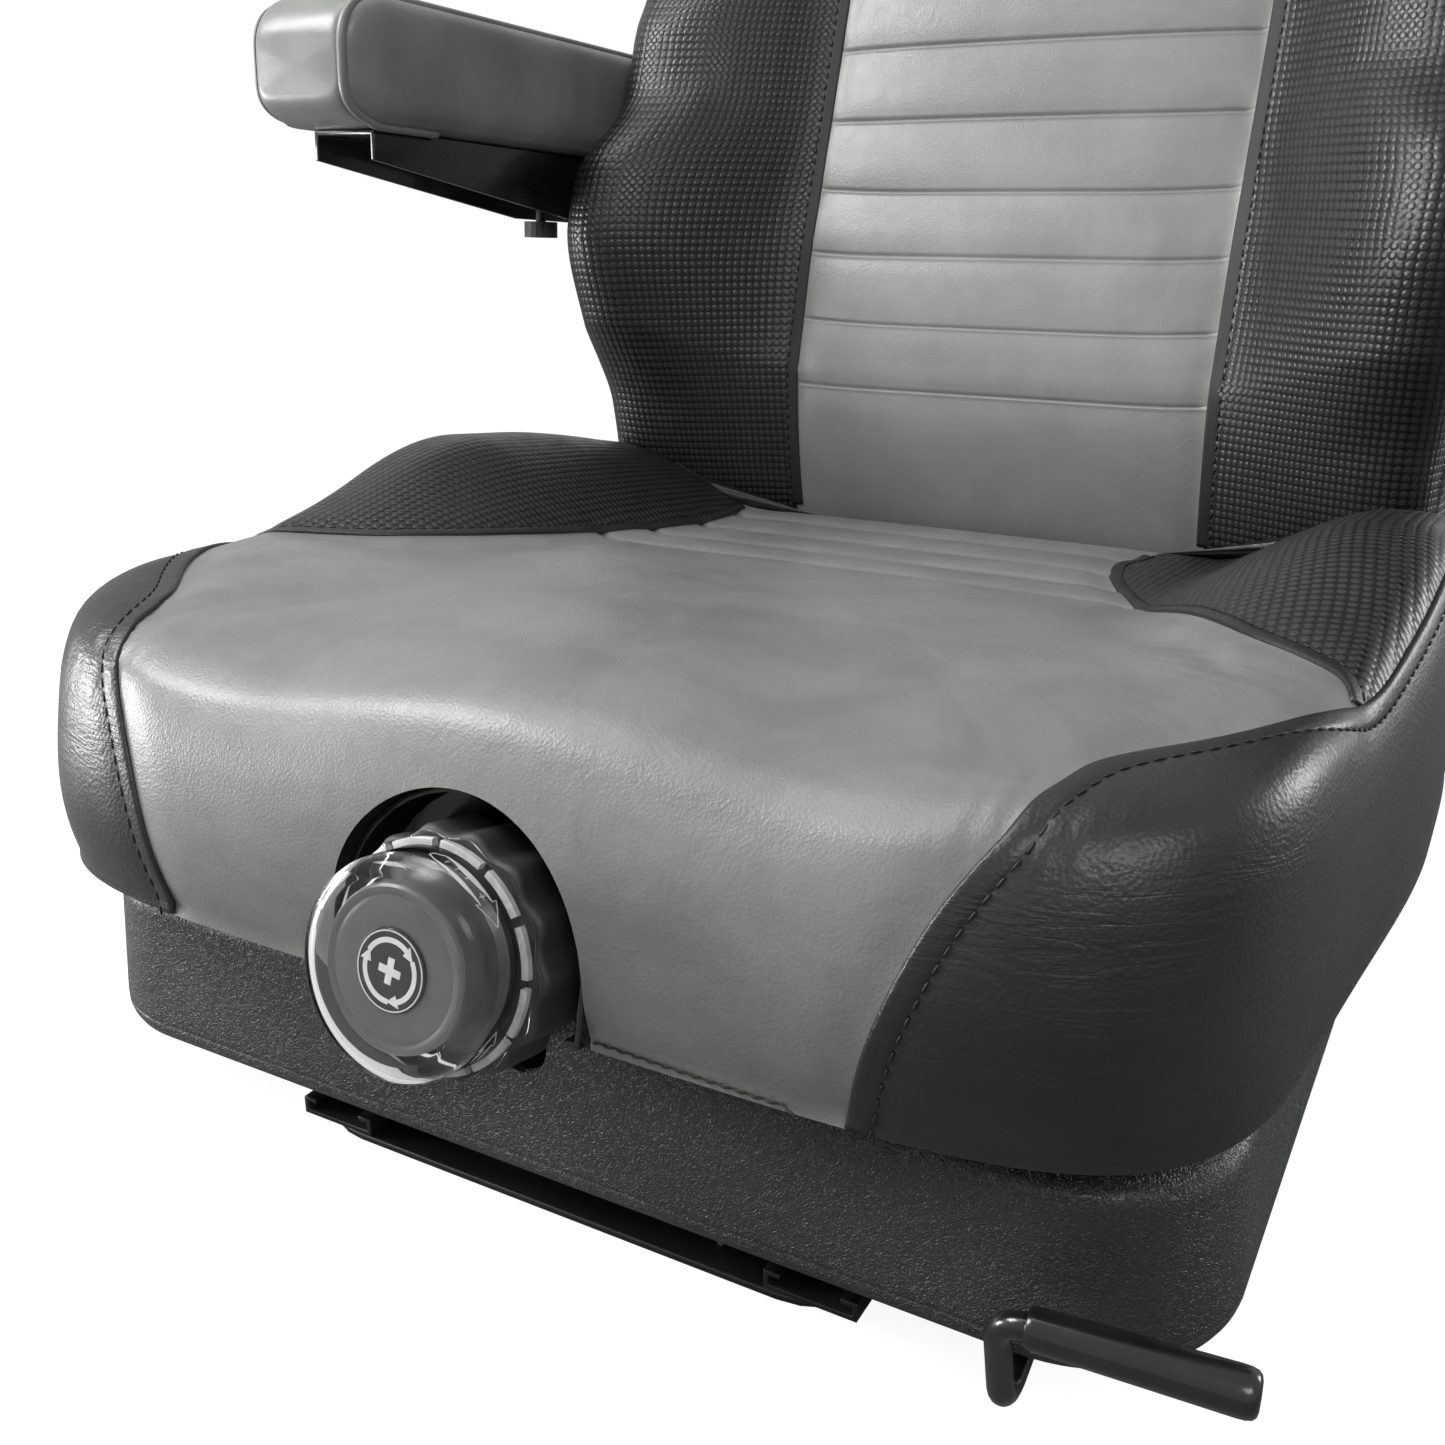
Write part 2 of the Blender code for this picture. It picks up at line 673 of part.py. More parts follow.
def make_cover_bracket(name, sign, material):
    """A folded strap from the lower frame's side to the cover's wall."""
    inner = FRAME_HALF_WIDTH + GAP
    foot = COVER_BOTTOM + COVER_FOOT_HEIGHT
    sheet = FRAME_SHEET
    slope = COVER_TAPER / (COVER_TOP - COVER_SHOULDER * 0.55 - COVER_BOTTOM)
    top = foot + BRACKET_RISE
    wall_inside = COVER_HALF_WIDTH - COVER_WALL - GAP
    low_edge = wall_inside - slope * (foot - COVER_BOTTOM) - GAP
    high_edge = wall_inside - slope * (top - COVER_BOTTOM) - GAP
    base = FRAME_FLOOR + FRAME_SHEET
    shelf = foot - sheet
    outline = [(inner, base), (inner + sheet, base), (inner + sheet, shelf), (low_edge, shelf)]
    outline += [(low_edge, foot), (high_edge, top), (high_edge - sheet, top), (low_edge - sheet, foot)]
    outline += [(inner, foot)]
    outline = [(sign * x, z) for x, z in outline]
    make_prism(name, outline, on_front, (-BRACKET_HALF_WIDTH, BRACKET_HALF_WIDTH), material)


# Lever that frees the slide

def make_slide_lever(steel, grip_plastic):
    start_x = LOCK_STRIP_X - LOCK_STRIP_WIDTH / 2 - 2 * RUNNING_GAP - LATCH_THICKNESS * 1.5
    corners = [(start_x, LEVER_PIVOT_Y, LEVER_PIVOT_Z), (LEVER_EXIT_X, LEVER_PIVOT_Y, LEVER_PIVOT_Z)]
    corners += [(LEVER_EXIT_X, LEVER_KNEE_Y, LEVER_KNEE_Z), (LEVER_EXIT_X, LEVER_TOP_Y, LEVER_TOP_Z)]
    corners += [(LEVER_END_X - GRIP_WALL, LEVER_TOP_Y + 0.006, LEVER_TOP_Z)]
    path = [Vector(corners[0])]
    bends = (0.010, 0.010, 0.009)
    for i, bend in enumerate(bends):
        path += round_corner(corners[i], corners[i + 1], corners[i + 2], bend)
    path.append(Vector(corners[-1]))
    rod = make_bent_rod("lever_rod", path, LEVER_ROD_RADIUS, steel, sides=12)
    direction = (Vector(corners[-1]) - Vector(corners[-2])).normalized()
    end = Vector(corners[-1]) + direction * GRIP_WALL
    bore_radius = LEVER_ROD_RADIUS + GAP
    profile = [(0, 0), (GRIP_RADIUS * 0.8, 0), (GRIP_RADIUS, 0.003), (GRIP_RADIUS * 0.86, GRIP_LENGTH)]
    profile += [(bore_radius, GRIP_LENGTH), (bore_radius, GRIP_WALL - GAP), (0, GRIP_WALL - GAP)]
    grip = make_turned("lever_grip", profile, end, -direction, grip_plastic, sides=20)
    latch = make_latch(steel)
    pivot = make_pivot("slide_lever_pivot", (0, LEVER_PIVOT_Y, LEVER_PIVOT_Z))
    hang([rod, grip, latch], pivot)


def make_latch(material):
    """A flat arm clamped on the rod, with a finger that enters the lock strip from below."""
    inner = LOCK_STRIP_X - LOCK_STRIP_WIDTH / 2
    thick = LATCH_THICKNESS
    arm_x = (inner - RUNNING_GAP * 2 - thick, inner - RUNNING_GAP * 2)
    tip_low = LOCK_STRIP_TOP - LOCK_STRIP_THICKNESS - LATCH_FINGER_DEPTH
    tip_high = LOCK_STRIP_TOP + 0.0006
    eye = LEVER_ROD_RADIUS + 0.0035
    outline = arc_points((LEVER_PIVOT_Y, LEVER_PIVOT_Z), eye, 30, 230, 8)
    outline += [(LATCH_Y - 0.010, tip_low), (LATCH_Y + 0.003, tip_low), (LATCH_Y + 0.003, tip_high)]
    outline += [(LATCH_Y - 0.006, tip_high), (LATCH_Y - 0.020, tip_high + 0.005)]
    arm = make_prism("slide_latch", outline, on_side, arm_x, material)
    low = (arm_x[0] + thick / 2, LATCH_Y - LATCH_FINGER_HALF_WIDTH, tip_low)
    high = (inner + LATCH_FINGER_REACH, LATCH_Y + LATCH_FINGER_HALF_WIDTH, tip_high)
    join(arm, make_box("latch_finger", low, high, material))
    ends = (arm_x[0] - thick, LEVER_PIVOT_Y, LEVER_PIVOT_Z), (arm_x[1] + thick, LEVER_PIVOT_Y, LEVER_PIVOT_Z)
    bore(arm, ends[0], ends[1], LEVER_ROD_RADIUS)
    return arm


# Scissor arms, shafts and rollers

def make_arm(name, x, rear, front, sign, material):
    """A flat bar with round ends, bored at both ends. The outer one turns on the middle pin."""
    rear = Vector((0, *rear))
    front = Vector((0, *front))
    along = (front - rear).normalized()
    angle = math.degrees(math.atan2(along.z, along.y))
    outline = arc_points((rear.y, rear.z), ARM_HALF_DEPTH, angle + 90, angle + 270, 8)
    outline += arc_points((front.y, front.z), ARM_HALF_DEPTH, angle - 90, angle + 90, 8)
    inner = sign * (x - ARM_THICKNESS / 2)
    outer = sign * (x + ARM_THICKNESS / 2)
    arm = make_prism(name, outline, on_side, (inner, outer), material)
    start = sign * (x - 2 * ARM_THICKNESS)
    end = sign * (x + 2 * ARM_THICKNESS)
    holes = [rear, front]
    if x == OUTER_ARM_X:
        holes.append((rear + front) / 2)
    for place in holes:
        bore(arm, (start, place.y, place.z), (end, place.y, place.z), PIVOT_RADIUS)
    return arm


def make_tie_tube(name, half_length, rear, front, share, material):
    """A cross tube welded between the inner faces of a pair of arms."""
    y = rear[0] + (front[0] - rear[0]) * share
    z = rear[1] + (front[1] - rear[1]) * share
    return make_rod(name, (-half_length, y, z), (half_length, y, z), TIE_TUBE_RADIUS, material)


def make_roller_set(label, z, steel, nylon):
    """A shaft through one pair of arms, with a roller in the track at each end."""
    web = FRAME_HALF_WIDTH - FRAME_SHEET
    outer = web - ROLLER_GUIDE_GAP
    inner = outer - ROLLER_WIDTH
    shaft = make_rod(f"{label}_roller_shaft", (-outer, FRONT_PIVOT_Y, z), (outer, FRONT_PIVOT_Y, z),
                     PIVOT_RADIUS, steel)
    pieces = [shaft]
    hole = (PIVOT_RADIUS + GAP) / math.cos(math.pi / 24)
    for side, sign in SIDES.items():
        chamfer = ROLLER_WIDTH / 10
        profile = [(hole, 0), (ROLLER_RADIUS - chamfer, 0), (ROLLER_RADIUS, chamfer)]
        profile += [(ROLLER_RADIUS, ROLLER_WIDTH - chamfer), (ROLLER_RADIUS - chamfer, ROLLER_WIDTH)]
        profile += [(hole, ROLLER_WIDTH)]
        origin = (sign * inner, FRONT_PIVOT_Y, z)
        pieces.append(make_turned(f"{label}_roller_{side}", profile, origin, (sign, 0, 0), nylon))
    hang(pieces, make_pivot(f"{label}_roller_pivot", (0, FRONT_PIVOT_Y, z)))


def make_scissor(paint, steel, nylon):
    lower_rear = (REAR_PIVOT_Y, LOWER_PIVOT_Z)
    upper_rear = (REAR_PIVOT_Y, UPPER_PIVOT_Z)
    lower_front = (FRONT_PIVOT_Y, LOWER_PIVOT_Z)
    upper_front = (FRONT_PIVOT_Y, UPPER_PIVOT_Z)
    outer = []
    inner = []
    for side, sign in SIDES.items():
        outer.append(make_arm(f"outer_arm_{side}", OUTER_ARM_X, lower_rear, upper_front, sign, paint))
        inner.append(make_arm(f"inner_arm_{side}", INNER_ARM_X, upper_rear, lower_front, sign, paint))
        pin_start = sign * (INNER_ARM_X - ARM_THICKNESS)
        pin_end = sign * (OUTER_ARM_X + ARM_THICKNESS)
        y = (REAR_PIVOT_Y + FRONT_PIVOT_Y) / 2
        z = (LOWER_PIVOT_Z + UPPER_PIVOT_Z) / 2
        join(inner[-1], make_rod(f"centre_pin_{side}", (pin_start, y, z), (pin_end, y, z), PIVOT_RADIUS, paint))
    outer_reach = OUTER_ARM_X - ARM_THICKNESS / 2 - GAP
    inner_reach = INNER_ARM_X - ARM_THICKNESS / 2 - GAP
    outer.append(make_tie_tube("outer_tie_tube", outer_reach, lower_rear, upper_front,
                               OUTER_TIE_SHARE, paint))
    inner.append(make_tie_tube("inner_tie_tube", inner_reach, upper_rear, lower_front,
                               INNER_TIE_SHARE, paint))
    hang(outer, make_pivot("outer_arm_pivot", (0, *lower_rear)))
    hang(inner, make_pivot("centre_pivot", (0, (lower_rear[0] + upper_front[0]) / 2,
                                            (lower_rear[1] + upper_front[1]) / 2)))
    make_roller_set("upper", UPPER_PIVOT_Z, steel, nylon)
    make_roller_set("lower", LOWER_PIVOT_Z, steel, nylon)


# Upper frame, pan and cushion

def make_upper_frame(paint, steel):
    frame = make_frame_channel("upper_frame", FRAME_CEILING, -1, paint)
    across = FRAME_HALF_WIDTH + FRAME_SHEET
    bore(frame, (-across, REAR_PIVOT_Y, UPPER_PIVOT_Z), (across, REAR_PIVOT_Y, UPPER_PIVOT_Z), PIVOT_RADIUS)
    join(frame, make_spindle_plate("spindle_plate", paint))
    for i, x in enumerate(damper_lug_places()):
        outline = [(DAMPER_UPPER_Y + LUG_HALF_DEPTH, FRAME_CEILING - FRAME_SHEET / 2)]
        outline += [(DAMPER_UPPER_Y - LUG_HALF_DEPTH, FRAME_CEILING - FRAME_SHEET / 2)]
        outline += arc_points((DAMPER_UPPER_Y, DAMPER_UPPER_Z), LUG_HALF_DEPTH, 180, 360, 8)
        half = LUG_THICKNESS / 2
        join(frame, make_prism(f"damper_hanger_{i}", outline, on_side, (x - half, x + half), paint))
    join(frame, make_damper_pin("damper_upper_pin", DAMPER_UPPER_Y, DAMPER_UPPER_Z, paint))
    spindle_start = KNOB_CENTRE + KNOB_AXIS * WHEEL_BACK
    spindle_end = KNOB_CENTRE - KNOB_AXIS * SPINDLE_LENGTH
    bore(frame, spindle_start, spindle_end, SPINDLE_RADIUS)
    shaft_end = FRAME_HALF_WIDTH + LUG_PIN_PROUD
    make_rod("rear_upper_shaft", (-shaft_end, REAR_PIVOT_Y, UPPER_PIVOT_Z),
             (shaft_end, REAR_PIVOT_Y, UPPER_PIVOT_Z), PIVOT_RADIUS, steel)


def make_spindle_plate(name, material):
    """The plate at the front of the upper frame that carries the knob's spindle."""
    centre = KNOB_CENTRE - KNOB_AXIS * (FRAME_FRONT - KNOB_Y)
    low = (-0.024, FRAME_FRONT, centre.z - 0.014)
    high = (0.024, FRAME_FRONT + LUG_THICKNESS, FRAME_CEILING - FRAME_SHEET / 2)
    return make_box(name, low, high, material)


def cushion_half_width(y):
    share = smooth_step(y, -0.15, 0.06)
    return CUSHION_HALF_WIDTH_FRONT + (CUSHION_HALF_WIDTH_REAR - CUSHION_HALF_WIDTH_FRONT) * share


def cushion_outline(inset, side_inset=None, count=44, squareness=CUSHION_SQUARENESS):
    """The cushion's rounded plan, set in from its front edge and from its sides and rear."""
    side_inset = inset if side_inset is None else side_inset
    middle = (CUSHION_FRONT + CUSHION_REAR) / 2
    half_depth = (CUSHION_REAR - CUSHION_FRONT) / 2
    power = 2 / squareness
    points = []
    for i in range(count):
        angle = 2 * math.pi * (i + 0.5) / count
        across = math.copysign(abs(math.cos(angle)) ** power, math.cos(angle))
        along = math.copysign(abs(math.sin(angle)) ** power, math.sin(angle))
        y = middle + (half_depth - (inset if along < 0 else side_inset)) * along
        x = (cushion_half_width(middle + half_depth * along) - side_inset) * across
        points.append((x, y))
    return points


def cushion_height(x, y):
    """Height of the sitting surface: high front, dipped seat, raised side bolsters."""
    across = abs(x)
    centre = CREST_HEIGHT - SEAT_DIP * smooth_step(y, -0.19, 0.30)
    rise = smooth_step(across, BOLSTER_INNER, BOLSTER_OUTER) * smooth_step(y, BOLSTER_START_Y, BOLSTER_FULL_Y)
    fall = 1 - BOLSTER_FALL * smooth_step(y, 0.12, CUSHION_REAR)
    wave = THIGH_WAVE * math.cos(across / 0.115 * math.pi) * (1 - smooth_step(y, -0.16, 0.02))
    wave *= 1 - smooth_step(across, 0.16, 0.23)
    edge = EDGE_RISE * smooth_step(across, BOLSTER_OUTER - 0.04, CUSHION_HALF_WIDTH_FRONT)
    edge *= 1 - smooth_step(y, BOLSTER_START_Y, 0)
    return centre + BOLSTER_HEIGHT * rise * fall + wave + edge


# Rows of the cushion from the lip up: inset at the front, inset at the sides, share of the height
LIP_INSET = 0.005
SIDE_ROWS = ((LIP_INSET, 0.001, 0.0), (0.001, 0.0, 0.16), (0.0, 0.0, 0.33), (0.003, 0.001, 0.54))
CROWN_ROWS = ((0.010, 0.002, 0.77), (0.021, 0.006, 0.92), (0.043, 0.015, 0.99), (0.072, 0.032, 1.0))
TOP_ROWS = ((0.105, 0.062, 1.0), (0.140, 0.105, 1.0), (0.175, 0.150, 1.0), (0.205, 0.195, 1.0))


def make_cushion(vinyl):
    rings = []
    pocket = cushion_outline(CUSHION_SKIRT + LIP_INSET, CUSHION_SKIRT, squareness=POCKET_SQUARENESS)
    ceiling = [(x, y, POCKET_CEILING) for x, y in pocket]
    mouth = [(x, y, CUSHION_LIP_HEIGHT) for x, y in pocket]
    rings += [ceiling, mouth]
    for inset, side_inset, share in SIDE_ROWS + CROWN_ROWS + TOP_ROWS:
        ring = []
        for x, y in cushion_outline(inset, side_inset):
            top = cushion_height(x, y)
            ring.append((x, y, CUSHION_LIP_HEIGHT + (top - CUSHION_LIP_HEIGHT) * share))
        rings.append(ring)
    cushion = make_loft("seat_cushion", rings, vinyl)
    outline = bezel_outline(GAP * 2, BEZEL_LEG * 2.5)
    depth = (bezel_back() - GAP * 2, bezel_back() + BEZEL_DEPTH * 2)
    cut(cushion, make_prism("bezel_recess", outline, on_knob, depth, vinyl))
    for side, sign in SIDES.items():
        near = sign * (BRACKET_X - BRACKET_SLOT_GAP)
        far = sign * (BRACKET_X + BRACKET_THICKNESS + BRACKET_SLOT_GAP)
        low = (near, CUSHION_REAR - 0.04, CUSHION_LIP_HEIGHT - 0.01)
        high = (far, CUSHION_REAR + 0.01, POCKET_CEILING)
        cut(cushion, make_box(f"bracket_slot_{side}", low, high, vinyl))
    return cushion


def make_seat_pan(paint):
    outline = cushion_outline(PAN_INSET + LIP_INSET, PAN_INSET, 36)
    pan = make_prism("seat_pan", outline, on_plan, (PAN_FLOOR, PAN_FLOOR + PAN_SHEET), paint)
    notch = bezel_outline(GAP * 4, BEZEL_LEG * 2.5)
    depth = (bezel_back() - GAP * 4, bezel_back() + BEZEL_DEPTH * 2)
    cut(pan, make_prism("pan_notch", notch, on_knob, depth, paint))


# Knob, bezel and spindle

def bezel_back():
    return WHEEL_BACK - BEZEL_FLOOR_GAP - BEZEL_WALL


def bezel_outline(grow, leg):
    wide = BEZEL_RADIUS + grow
    outline = [(-wide, -leg), (wide, -leg)]
    outline += arc_points((0, BEZEL_RISE), wide, 0, 180, 18)
    return outline


def make_bezel(plastic):
    back = bezel_back()
    front = back + BEZEL_DEPTH
    bezel = make_prism("knob_bezel", bezel_outline(0, BEZEL_LEG), on_knob, (back, front), plastic)
    hollow = bezel_outline(-BEZEL_WALL, BEZEL_LEG - BEZEL_WALL)
    cut(bezel, make_prism("bezel_hollow", hollow, on_knob, (back + BEZEL_WALL, front + BEZEL_WALL), plastic))
    mouth = [(-BEZEL_MOUTH, -BEZEL_LEG * 1.2), (BEZEL_MOUTH, -BEZEL_LEG * 1.2)]
    mouth += [(BEZEL_MOUTH, -BEZEL_LEG / 2), (-BEZEL_MOUTH, -BEZEL_LEG / 2)]
    cut(bezel, make_prism("bezel_mouth", mouth, on_knob, (back + BEZEL_WALL, front + BEZEL_WALL), plastic))
    sleeve_end = KNOB_CENTRE + KNOB_AXIS * (back + BEZEL_WALL / 2)
    reach = sleeve_length()
    sleeve_start = KNOB_CENTRE - KNOB_AXIS * reach
    join(bezel, make_rod("bezel_sleeve", sleeve_start, sleeve_end, SPINDLE_RADIUS * 2, plastic))
    bore(bezel, KNOB_CENTRE + KNOB_AXIS * BEZEL_WALL, sleeve_start - KNOB_AXIS * BEZEL_WALL, SPINDLE_RADIUS)


def sleeve_length():
    """From the knob's centre back to the spindle plate, less the plate's slant and the gap."""
    slant = 2 * SPINDLE_RADIUS * math.sin(KNOB_TILT)
    return (FRAME_FRONT - KNOB_Y - GAP - slant) / math.cos(KNOB_TILT)


def scalloped_outline(radius, depth, lobes, steps=5):
    outline = []
    for i in range(lobes * steps):
        angle = 2 * math.pi * i / (lobes * steps)
        reach = radius - depth + depth * math.cos(angle * lobes)
        outline.append((reach * math.cos(angle), reach * math.sin(angle)))
    return outline


def make_knob(plastic, clear, grey, black, steel):
    outline = scalloped_outline(WHEEL_RADIUS, WHEEL_LOBE_DEPTH, WHEEL_LOBES)
    wheel = make_prism("knob_wheel", outline, on_knob, (WHEEL_BACK, WHEEL_FRONT), plastic)
    socket_end = WHEEL_FRONT - BEZEL_WALL
    bore(wheel, on_knob(0, 0, WHEEL_BACK * 2), on_knob(0, 0, socket_end), SPINDLE_RADIUS)
    base = WHEEL_FRONT + GAP
    inner = CAP_RADIUS - CAP_WALL
    rim = base + CAP_FLANGE_THICKNESS
    cap_profile = [(0, CAP_FRONT - CAP_WALL), (inner - CAP_WALL, CAP_FRONT - CAP_WALL), (inner, CAP_FRONT - 0.006)]
    cap_profile += [(inner, base), (CAP_FLANGE_RADIUS, base), (CAP_FLANGE_RADIUS, rim), (CAP_RADIUS, rim)]
    cap_profile += [(CAP_RADIUS, CAP_FRONT - 0.006), (CAP_RADIUS - 0.0015, CAP_FRONT - 0.0018)]
    cap_profile += [(CAP_RADIUS - 0.005, CAP_FRONT), (0, CAP_FRONT)]
    cap = make_turned("knob_cap", cap_profile, KNOB_CENTRE, KNOB_AXIS, clear, sides=36)
    face = CAP_FRONT - CAP_WALL - GAP - EMBLEM_THICKNESS - GAP
    dial_profile = [(0, base), (DIAL_RADIUS + 0.004, base), (DIAL_RADIUS + 0.004, base + 0.004)]
    dial_profile += [(DIAL_RADIUS, base + 0.010), (DIAL_RADIUS, face - 0.002), (DIAL_RADIUS - 0.002, face), (0, face)]
    dial = make_turned("knob_dial", dial_profile, KNOB_CENTRE, KNOB_AXIS, grey, sides=30)
    emblem = make_rod("knob_emblem", on_knob(0, 0, face + GAP), on_knob(0, 0, face + GAP + EMBLEM_THICKNESS),
                      EMBLEM_RADIUS, black, sides=24)
    spindle = make_rod("knob_spindle", on_knob(0, 0, -SPINDLE_LENGTH), on_knob(0, 0, socket_end - GAP),
                       SPINDLE_RADIUS, steel)
    hang([wheel, cap, dial, emblem, spindle], make_pivot("weight_knob_pivot", KNOB_CENTRE))


def make_springs(steel, paint):
    """The block on the spindle pulls two springs that hook on a bar between the arms' rear ends."""
    centre = on_knob(0, 0, -BLOCK_DISTANCE)
    low = (-BLOCK_HALF_LENGTH, centre.y - BLOCK_HALF_DEPTH, SPRING_Z - BLOCK_HALF_HEIGHT)
    high = (BLOCK_HALF_LENGTH, centre.y + BLOCK_HALF_DEPTH, centre.z + BLOCK_HALF_HEIGHT)
    block = make_box("tension_block", low, high, paint)
    bore(block, on_knob(0, 0, -BLOCK_DISTANCE + 0.03), on_knob(0, 0, -BLOCK_DISTANCE - 0.03), SPINDLE_RADIUS)
    hang([block], make_pivot("tension_block_guide", centre))
    reach = INNER_ARM_X - ARM_THICKNESS / 2 - GAP
    bar = make_rod("spring_bar", (-reach, SPRING_END_Y, SPRING_Z), (reach, SPRING_END_Y, SPRING_Z),
                   SPRING_BAR_RADIUS, steel)
    hang([bar], bpy.data.objects["centre_pivot"])
    start = high[1] + SPRING_WIRE + GAP
    end = SPRING_END_Y - SPRING_BAR_RADIUS - SPRING_WIRE - GAP
    for side, sign in SIDES.items():
        make_spring(f"weight_spring_{side}", sign * SPRING_X, start, end, SPRING_Z, steel)


def make_spring(name, x, start, end, z, material):
    steps = SPRING_COILS * 10
    path = []
    for i in range(steps + 1):
        share = i / steps
        angle = 2 * math.pi * SPRING_COILS * share
        y = start + (end - start) * share
        path.append((x + SPRING_RADIUS * math.sin(angle), y, z + SPRING_RADIUS * math.cos(angle)))
    make_bent_rod(name, path, SPRING_WIRE, material, sides=6)


def make_damper(paint, steel):
    """A cylinder on the lower frame and its rod, whose eye has play round the upper pin."""
    lower = Vector((DAMPER_X, DAMPER_LOWER_Y, DAMPER_LOWER_Z))
    upper = Vector((DAMPER_X, DAMPER_UPPER_Y, DAMPER_UPPER_Z))
    axis = (upper - lower).normalized()
    half = DAMPER_EYE_RADIUS / 2
    body_start = LUG_HALF_DEPTH + DAMPER_NECK_GAP
    hole = DAMPER_ROD_RADIUS + GAP * 2
    profile = [(0, DAMPER_EYE_RADIUS / 2), (half * 0.9, DAMPER_EYE_RADIUS / 2), (half * 0.9, body_start)]
    profile += [(DAMPER_RADIUS, body_start + 0.004)]
    profile += [(DAMPER_RADIUS, DAMPER_BODY_LENGTH), (hole, DAMPER_BODY_LENGTH), (hole, DAMPER_BORE_BOTTOM)]
    profile += [(0, DAMPER_BORE_BOTTOM)]
    body = make_turned("damper_body", profile, lower, axis, paint, sides=20)
    side = Vector((half, 0, 0))
    join(body, make_rod("damper_lower_eye", lower - side, lower + side, DAMPER_EYE_RADIUS, paint))
    bore(body, lower - side * 2, lower + side * 2, DAMPER_PIN_RADIUS)
    hang([body], make_pivot("damper_lower_pivot", lower))
    rod = make_rod("damper_rod", lower + axis * DAMPER_ROD_START, upper - axis * DAMPER_EYE_RADIUS * 0.6,
                   DAMPER_ROD_RADIUS, steel)
    join(rod, make_rod("damper_upper_eye", upper - side, upper + side, DAMPER_EYE_RADIUS, steel))
    bore(rod, upper - side * 2, upper + side * 2, DAMPER_PIN_RADIUS + DAMPER_PIN_PLAY)
    hang([rod], make_pivot("damper_rod_guide", lower + axis * DAMPER_BODY_LENGTH))


# Backrest on its recline brackets

def back_rear_y(z):
    return BACK_REAR_Y + (z - BACK_REAR_Z) * math.tan(BACK_LEAN)


def back_front_y(z):
    """The centre panel's surface: a gentle lumbar bulge, then a straight lean."""
    above = max(z - LUMBAR_Z, 0.0)
    below = max(LUMBAR_Z - z, 0.0)
    eased = above - 0.020 * smooth_step(above, 0.0, 0.08)
    return LUMBAR_Y + eased * math.tan(LUMBAR_LEAN) + LUMBAR_DEPTH * (below / 0.07) ** 2


def wing_forward(z):
    """How far the wings stand forward of the centre panel at a height."""
    low = 0.5 + 0.5 * smooth_step(z, BACK_LOW_Z, BACK_FULL_Z)
    high = 1 - 0.30 * smooth_step(z, BACK_WAIST_Z, BACK_WAIST_Z + 0.070) - 0.5 * smooth_step(z, BACK_SHOULDER_Z, BACK_TOP)
    return WING_FORWARD * low * high


def back_half_width(z):
    low = 1 - 0.02 * (1 - smooth_step(z, BACK_LOW_Z, BACK_FULL_Z))
    high = 1 - 0.02 * smooth_step(z, BACK_WAIST_Z, BACK_WAIST_Z + 0.045) - 0.11 * smooth_step(z, BACK_SHOULDER_Z, BACK_TOP)
    return BACK_HALF_WIDTH * low * high * (0.72 + 0.28 * back_crown(z))


def back_crown(z):
    """1 below the rounded top, falling to 0 at the very top."""
    return math.sqrt(max(1 - ((z - BACK_TOP + BACK_CROWN) / BACK_CROWN) ** 2, 0.0)) if z > BACK_TOP - BACK_CROWN else 1.0


def back_section(z):
    """Half of the backrest's level section, from the middle of the front round to the rear."""
    wide = back_half_width(z)
    scale = wide / BACK_HALF_WIDTH
    front = back_front_y(z)
    rear = back_rear_y(z)
    wing = wing_forward(z)
    stations = (0.0, 0.06, 0.118, 0.142, 0.170, 0.195)
    points = []
    for x in stations:
        across = x * scale
        rise = smooth_step(across, WING_START * scale, WING_PEAK * scale)
        points.append((across, front - wing * rise))
    peak = front - wing
    points += [(WING_PEAK * scale, peak), (wide - 0.010, peak + 0.003), (wide - 0.002, peak + 0.014)]
    points += [(wide, peak + 0.040), (wide - 0.004, (peak + rear) / 2 + 0.02), (wide - 0.020, rear - 0.006)]
    points += [(wide - 0.045, rear), (0.0, rear)]
    middle = rear - (rear - front) * 0.45
    thickness = 0.35 + 0.65 * back_crown(z)
    return [(x, middle + (y - middle) * thickness) for x, y in points]


def make_back_cushion(vinyl):
    levels = [0.0, 0.05, 0.12, 0.20, 0.28, 0.36, 0.45, 0.54, 0.63, 0.72, 0.81, 0.88, 0.92, 0.955, 0.98, 1.0]
    floor = CREST_HEIGHT - SEAT_DIP - BACK_TUCK
    rings = []
    for level in levels:
        z = floor + (BACK_TOP - floor) * level
        half = back_section(z)
        whole = half + [(-x, y) for x, y in reversed(half[1:-1])]
        ring = []
        for x, y in whole:
            behind = smooth_step(y, CUSHION_REAR, CUSHION_REAR + BACK_TUCK)
            ground = cushion_height(x, min(y, CUSHION_REAR)) + BACK_BOTTOM_GAP
            ground += (floor - ground) * behind
            ring.append((x, y, ground + (BACK_TOP - ground) * level))
        rings.append(ring)
    cushion = make_loft("back_cushion", rings, vinyl)
    for side, sign in SIDES.items():
        near = sign * (BRACKET_X - BRACKET_SLOT_GAP)
        far = sign * (BRACKET_X + 2 * BRACKET_THICKNESS + BRACKET_SLOT_GAP)
        low = (near, CUSHION_REAR - BACK_TUCK, floor - BACK_TUCK)
        high = (far, back_rear_y(BACK_SLOT_TOP) + BACK_TUCK, BACK_SLOT_TOP)
        cut(cushion, make_box(f"leg_slot_{side}", low, high, vinyl))
    return cushion


def make_leaning_prism(name, outline, depth, material):
    """A plate parallel to the backrest's rear face. outline is X and Z, depth is behind that face."""
    def place(x, z, behind):
        return (x, back_rear_y(z) + behind, z)
    return make_prism(name, outline, place, depth, material)


